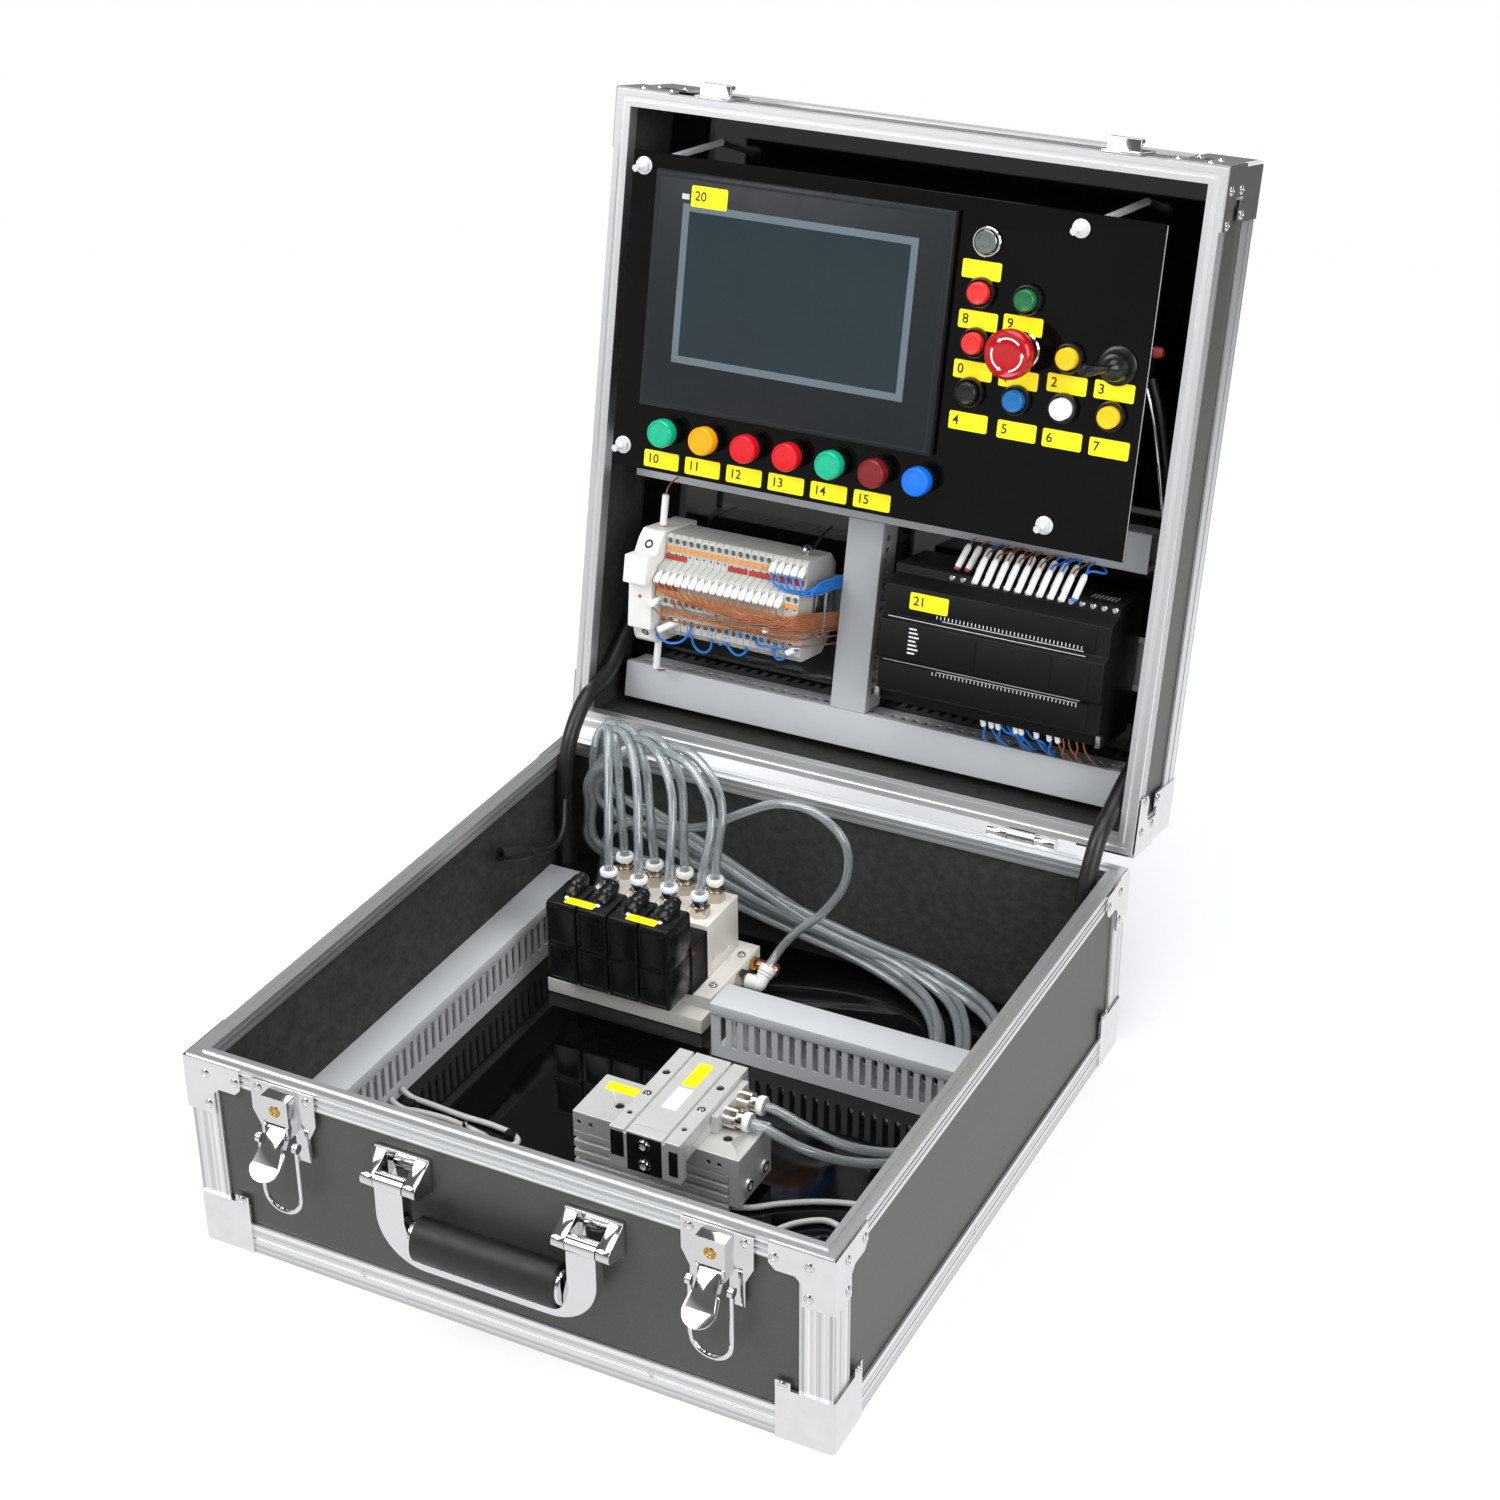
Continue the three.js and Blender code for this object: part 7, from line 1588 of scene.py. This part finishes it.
# Threaded ends of the studs that carry the panel, with nuts and washers, copied to its four corners
studThread = [(1.9, 15)]
for step in range(11):
    studThread += [(2.3, 15.3 + step * 0.9), (1.9, 15.75 + step * 0.9)]
stud = turnPiece("stud", studThread, sides=14)
nut = turnPiece("nut", [(4, 18.1), (4.6, 18.5), (4.6, 21.2), (4, 21.6)], sides=6)
washer = turnPiece("washer", [(5.4, 18), (5.6, 18.2), (5.6, 18.8), (5.3, 19)], sides=28)
studs = placeCopies("panelStuds", joinPieces("stud", [stud, nut, washer]),
                    [shifted(x, s, 0) for x in (-167, 123.5) for s in (199.5, 377)])
dressOnLid(studs, "studSteel")

# Labels: yellow tape plates with plain numbers
labelLook = {"wide": 25, "high": 11, "corner": 1.2, "size": 8.2, "bolder": 0.12, "margin": 2.4, "panel": [
    (64.9, 344.5, ""), (66.1, 314.6, "8"), (94.8, 315.9, "9"), (66.5, 284.5, "0"), (96, 283.7, "1"),
    (126.6, 285.6, "2"), (156.3, 286.2, "3"), (67.1, 253.2, "4"), (98.7, 252.7, "5"), (127.8, 252.4, "6"),
    (157.5, 252.1, "7"), (-138.7, 194, "10"), (-109, 194, "11"), (-79.3, 194, "12"), (-49.6, 194, "13"),
    (-19.9, 194, "14"), (9.8, 194, "15")]}


def addLabel(name, number, wide, high, place, body, onLid):
    look = labelLook
    corner = look["corner"]
    outline = []
    for signX, signS, turn in ((1, -1, 270), (1, 1, 0), (-1, 1, 90), (-1, -1, 180)):
        centre = (signX * (wide / 2 - corner), signS * (high / 2 - corner))
        outline += ringOf(corner, 5, centre, turn, turn + 90)
    tape = cutSheet(name, outline, 0.2, place=place @ shifted(0, 0, 0.14))
    dressPiece(tape, body, "labelTape", (), onLid)
    if number:
        clearSelection()
        bpy.ops.object.text_add()
        text = bpy.context.object
        text.data.body = number
        text.data.size = look["size"] * millimetre
        text.data.offset = look["bolder"] * millimetre
        text.data.align_x = "LEFT"
        text.data.align_y = "CENTER"
        text.data.extrude = 0.05 * millimetre
        bpy.ops.object.convert(target="MESH")
        figure = bpy.context.object
        figure.name = name + "Number"
        figure.data.transform(place @ shifted(look["margin"] - wide / 2, 0, 0.24))
        dressPiece(figure, body, "labelInk", (), onLid)


for index, (x, s, number) in enumerate(labelLook["panel"]):
    place = shifted(x, s, panelLook["front"])
    addLabel(f"panelLabel{index}", number, labelLook["wide"], labelLook["high"], place, "lid", True)
addLabel("screenLabel", "20", 25, 13, shifted(-116.1, 363.7, 25.2), "lid", True)
addLabel("controllerLabel", "21", 26, 11, shifted(50, 133, 4.6), "lid", True)
for index, x in enumerate((-112, -67.5)):
    addLabel(f"valveLabel{index}", "", 21, 7, shifted(x, 72.5, 93), "case", False)
addLabel("lowerSlideLabel", "", 23, 8, shifted(-19.5, -37.4, 50), "slide_x", False)
addLabel("upperSlideLabel", "", 9, 24, shifted(23.2, -24.6, 65.6), "slide_x", False)
sticker = addBlock("slideSticker", (18.4, -61, 65.55), (28, -39.5, 65.8))
dressPiece(sticker, "slide_x", "acetal")
print("controls done")

# Stage: white table and surround, which metal and glass mirror near the object and which fade to a
# dim studio above and beyond it, and three soft lamps
white = (1, 1, 1, 1)
stageLook = {"ambient": 0.75, "sky": (0.9, 0.94, 1, 1), "paper": (0.8, 0.8, 0.8, 1), "glow": 0.04,
             "mirrored": 0.95,
             "ceiling": 0.14, "fadeRise": (0.02, 0.3), "tableFade": (0.9, 1.9), "tableSize": 12,
             "gap": 0.0002}


# Whether a ray comes from the camera, and whether from a mirroring or glassy surface
def addRayTests(tree):
    rays = addNode(tree, "LightPath").outputs
    return rays["Is Camera Ray"], compute(tree, "MAXIMUM", rays["Is Glossy Ray"], rays["Is Transmission Ray"])


def mixShaders(tree, share, first, second):
    return addNode(tree, "MixShader", {0: share, 1: first, 2: second}).outputs[0]


def addGlow(tree, kind, strength, colour=white):
    return addNode(tree, kind, {"Color": colour, "Strength": strength}).outputs[0]


def buildWorld():
    look = stageLook
    world = bpy.data.worlds.new("studio")
    bpy.context.scene.world = world
    world.use_nodes = True
    tree = world.node_tree
    tree.nodes.clear()
    seen, mirrored = addRayTests(tree)
    coords = addNode(tree, "TexCoord").outputs["Generated"]
    height = addNode(tree, "SeparateXYZ", {"Vector": coords}).outputs["Z"]
    surround = addGlow(tree, "Background", mapValue(tree, height, 1.0, look["ceiling"], *look["fadeRise"]))
    ambient = addGlow(tree, "Background", look["ambient"], look["sky"])
    around = mixShaders(tree, mirrored, ambient, surround)
    shown = mixShaders(tree, seen, around, addGlow(tree, "Background", 1.0))
    addNode(tree, "OutputWorld", {"Surface": shown})


def addFloor():
    look = stageLook
    clearSelection()
    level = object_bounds()[0].z - look["gap"]
    bpy.ops.mesh.primitive_plane_add(size=look["tableSize"], location=(0, 0, level))
    floor = bpy.context.object
    floor.name = "studioFloor"
    settle(floor)
    startEdit(floor)
    bpy.ops.mesh.subdivide(number_cuts=3)
    endEdit()
    tree = startMaterial("whiteSweep")
    seen, mirrored = addRayTests(tree)
    paper = addNode(tree, "BsdfDiffuse", {"Color": look["paper"]}).outputs[0]
    near = addNode(tree, "AddShader", {0: addGlow(tree, "Emission", look["glow"]), 1: paper}).outputs[0]
    coords = addNode(tree, "TexCoord").outputs["Object"]
    reach = addNode(tree, "VectorMath", {"operation": "LENGTH", 0: coords}).outputs["Value"]
    far = mapValue(tree, reach, 0.0, 1.0, *look["tableFade"])
    lit = mixShaders(tree, far, near, addGlow(tree, "Emission", 1.0))
    table = addGlow(tree, "Emission", mapValue(tree, far, look["mirrored"], look["ceiling"]))
    around = mixShaders(tree, mirrored, paper, table)
    addNode(tree, "OutputMaterial", {"Surface": mixShaders(tree, seen, around, lit)})
    floor.data.materials.append(surfaces["whiteSweep"])


lampSettings = {
    "keyLamp": {"place": (-1.3, -1.5, 2.0), "size": 1.6, "power": 42},
    "fillLamp": {"place": (1.9, -0.9, 1.3), "size": 1.5, "power": 34},
    "topLamp": {"place": (0.1, 0.1, 2.3), "size": 1.8, "power": 34},
}


def addLamp(name, settings):
    clearSelection()
    bpy.ops.object.light_add(type="AREA", location=settings["place"])
    lamp = bpy.context.object
    lamp.name = name
    lamp.data.shape = "SQUARE"
    lamp.data.size = settings["size"]
    lamp.data.energy = settings["power"]
    aim = Vector((0, 0.05, 0.2)) - Vector(settings["place"])
    lamp.rotation_euler = aim.to_track_quat("-Z", "Y").to_euler()


buildWorld()
addFloor()
for name, settings in lampSettings.items():
    addLamp(name, settings)
print("stage set")
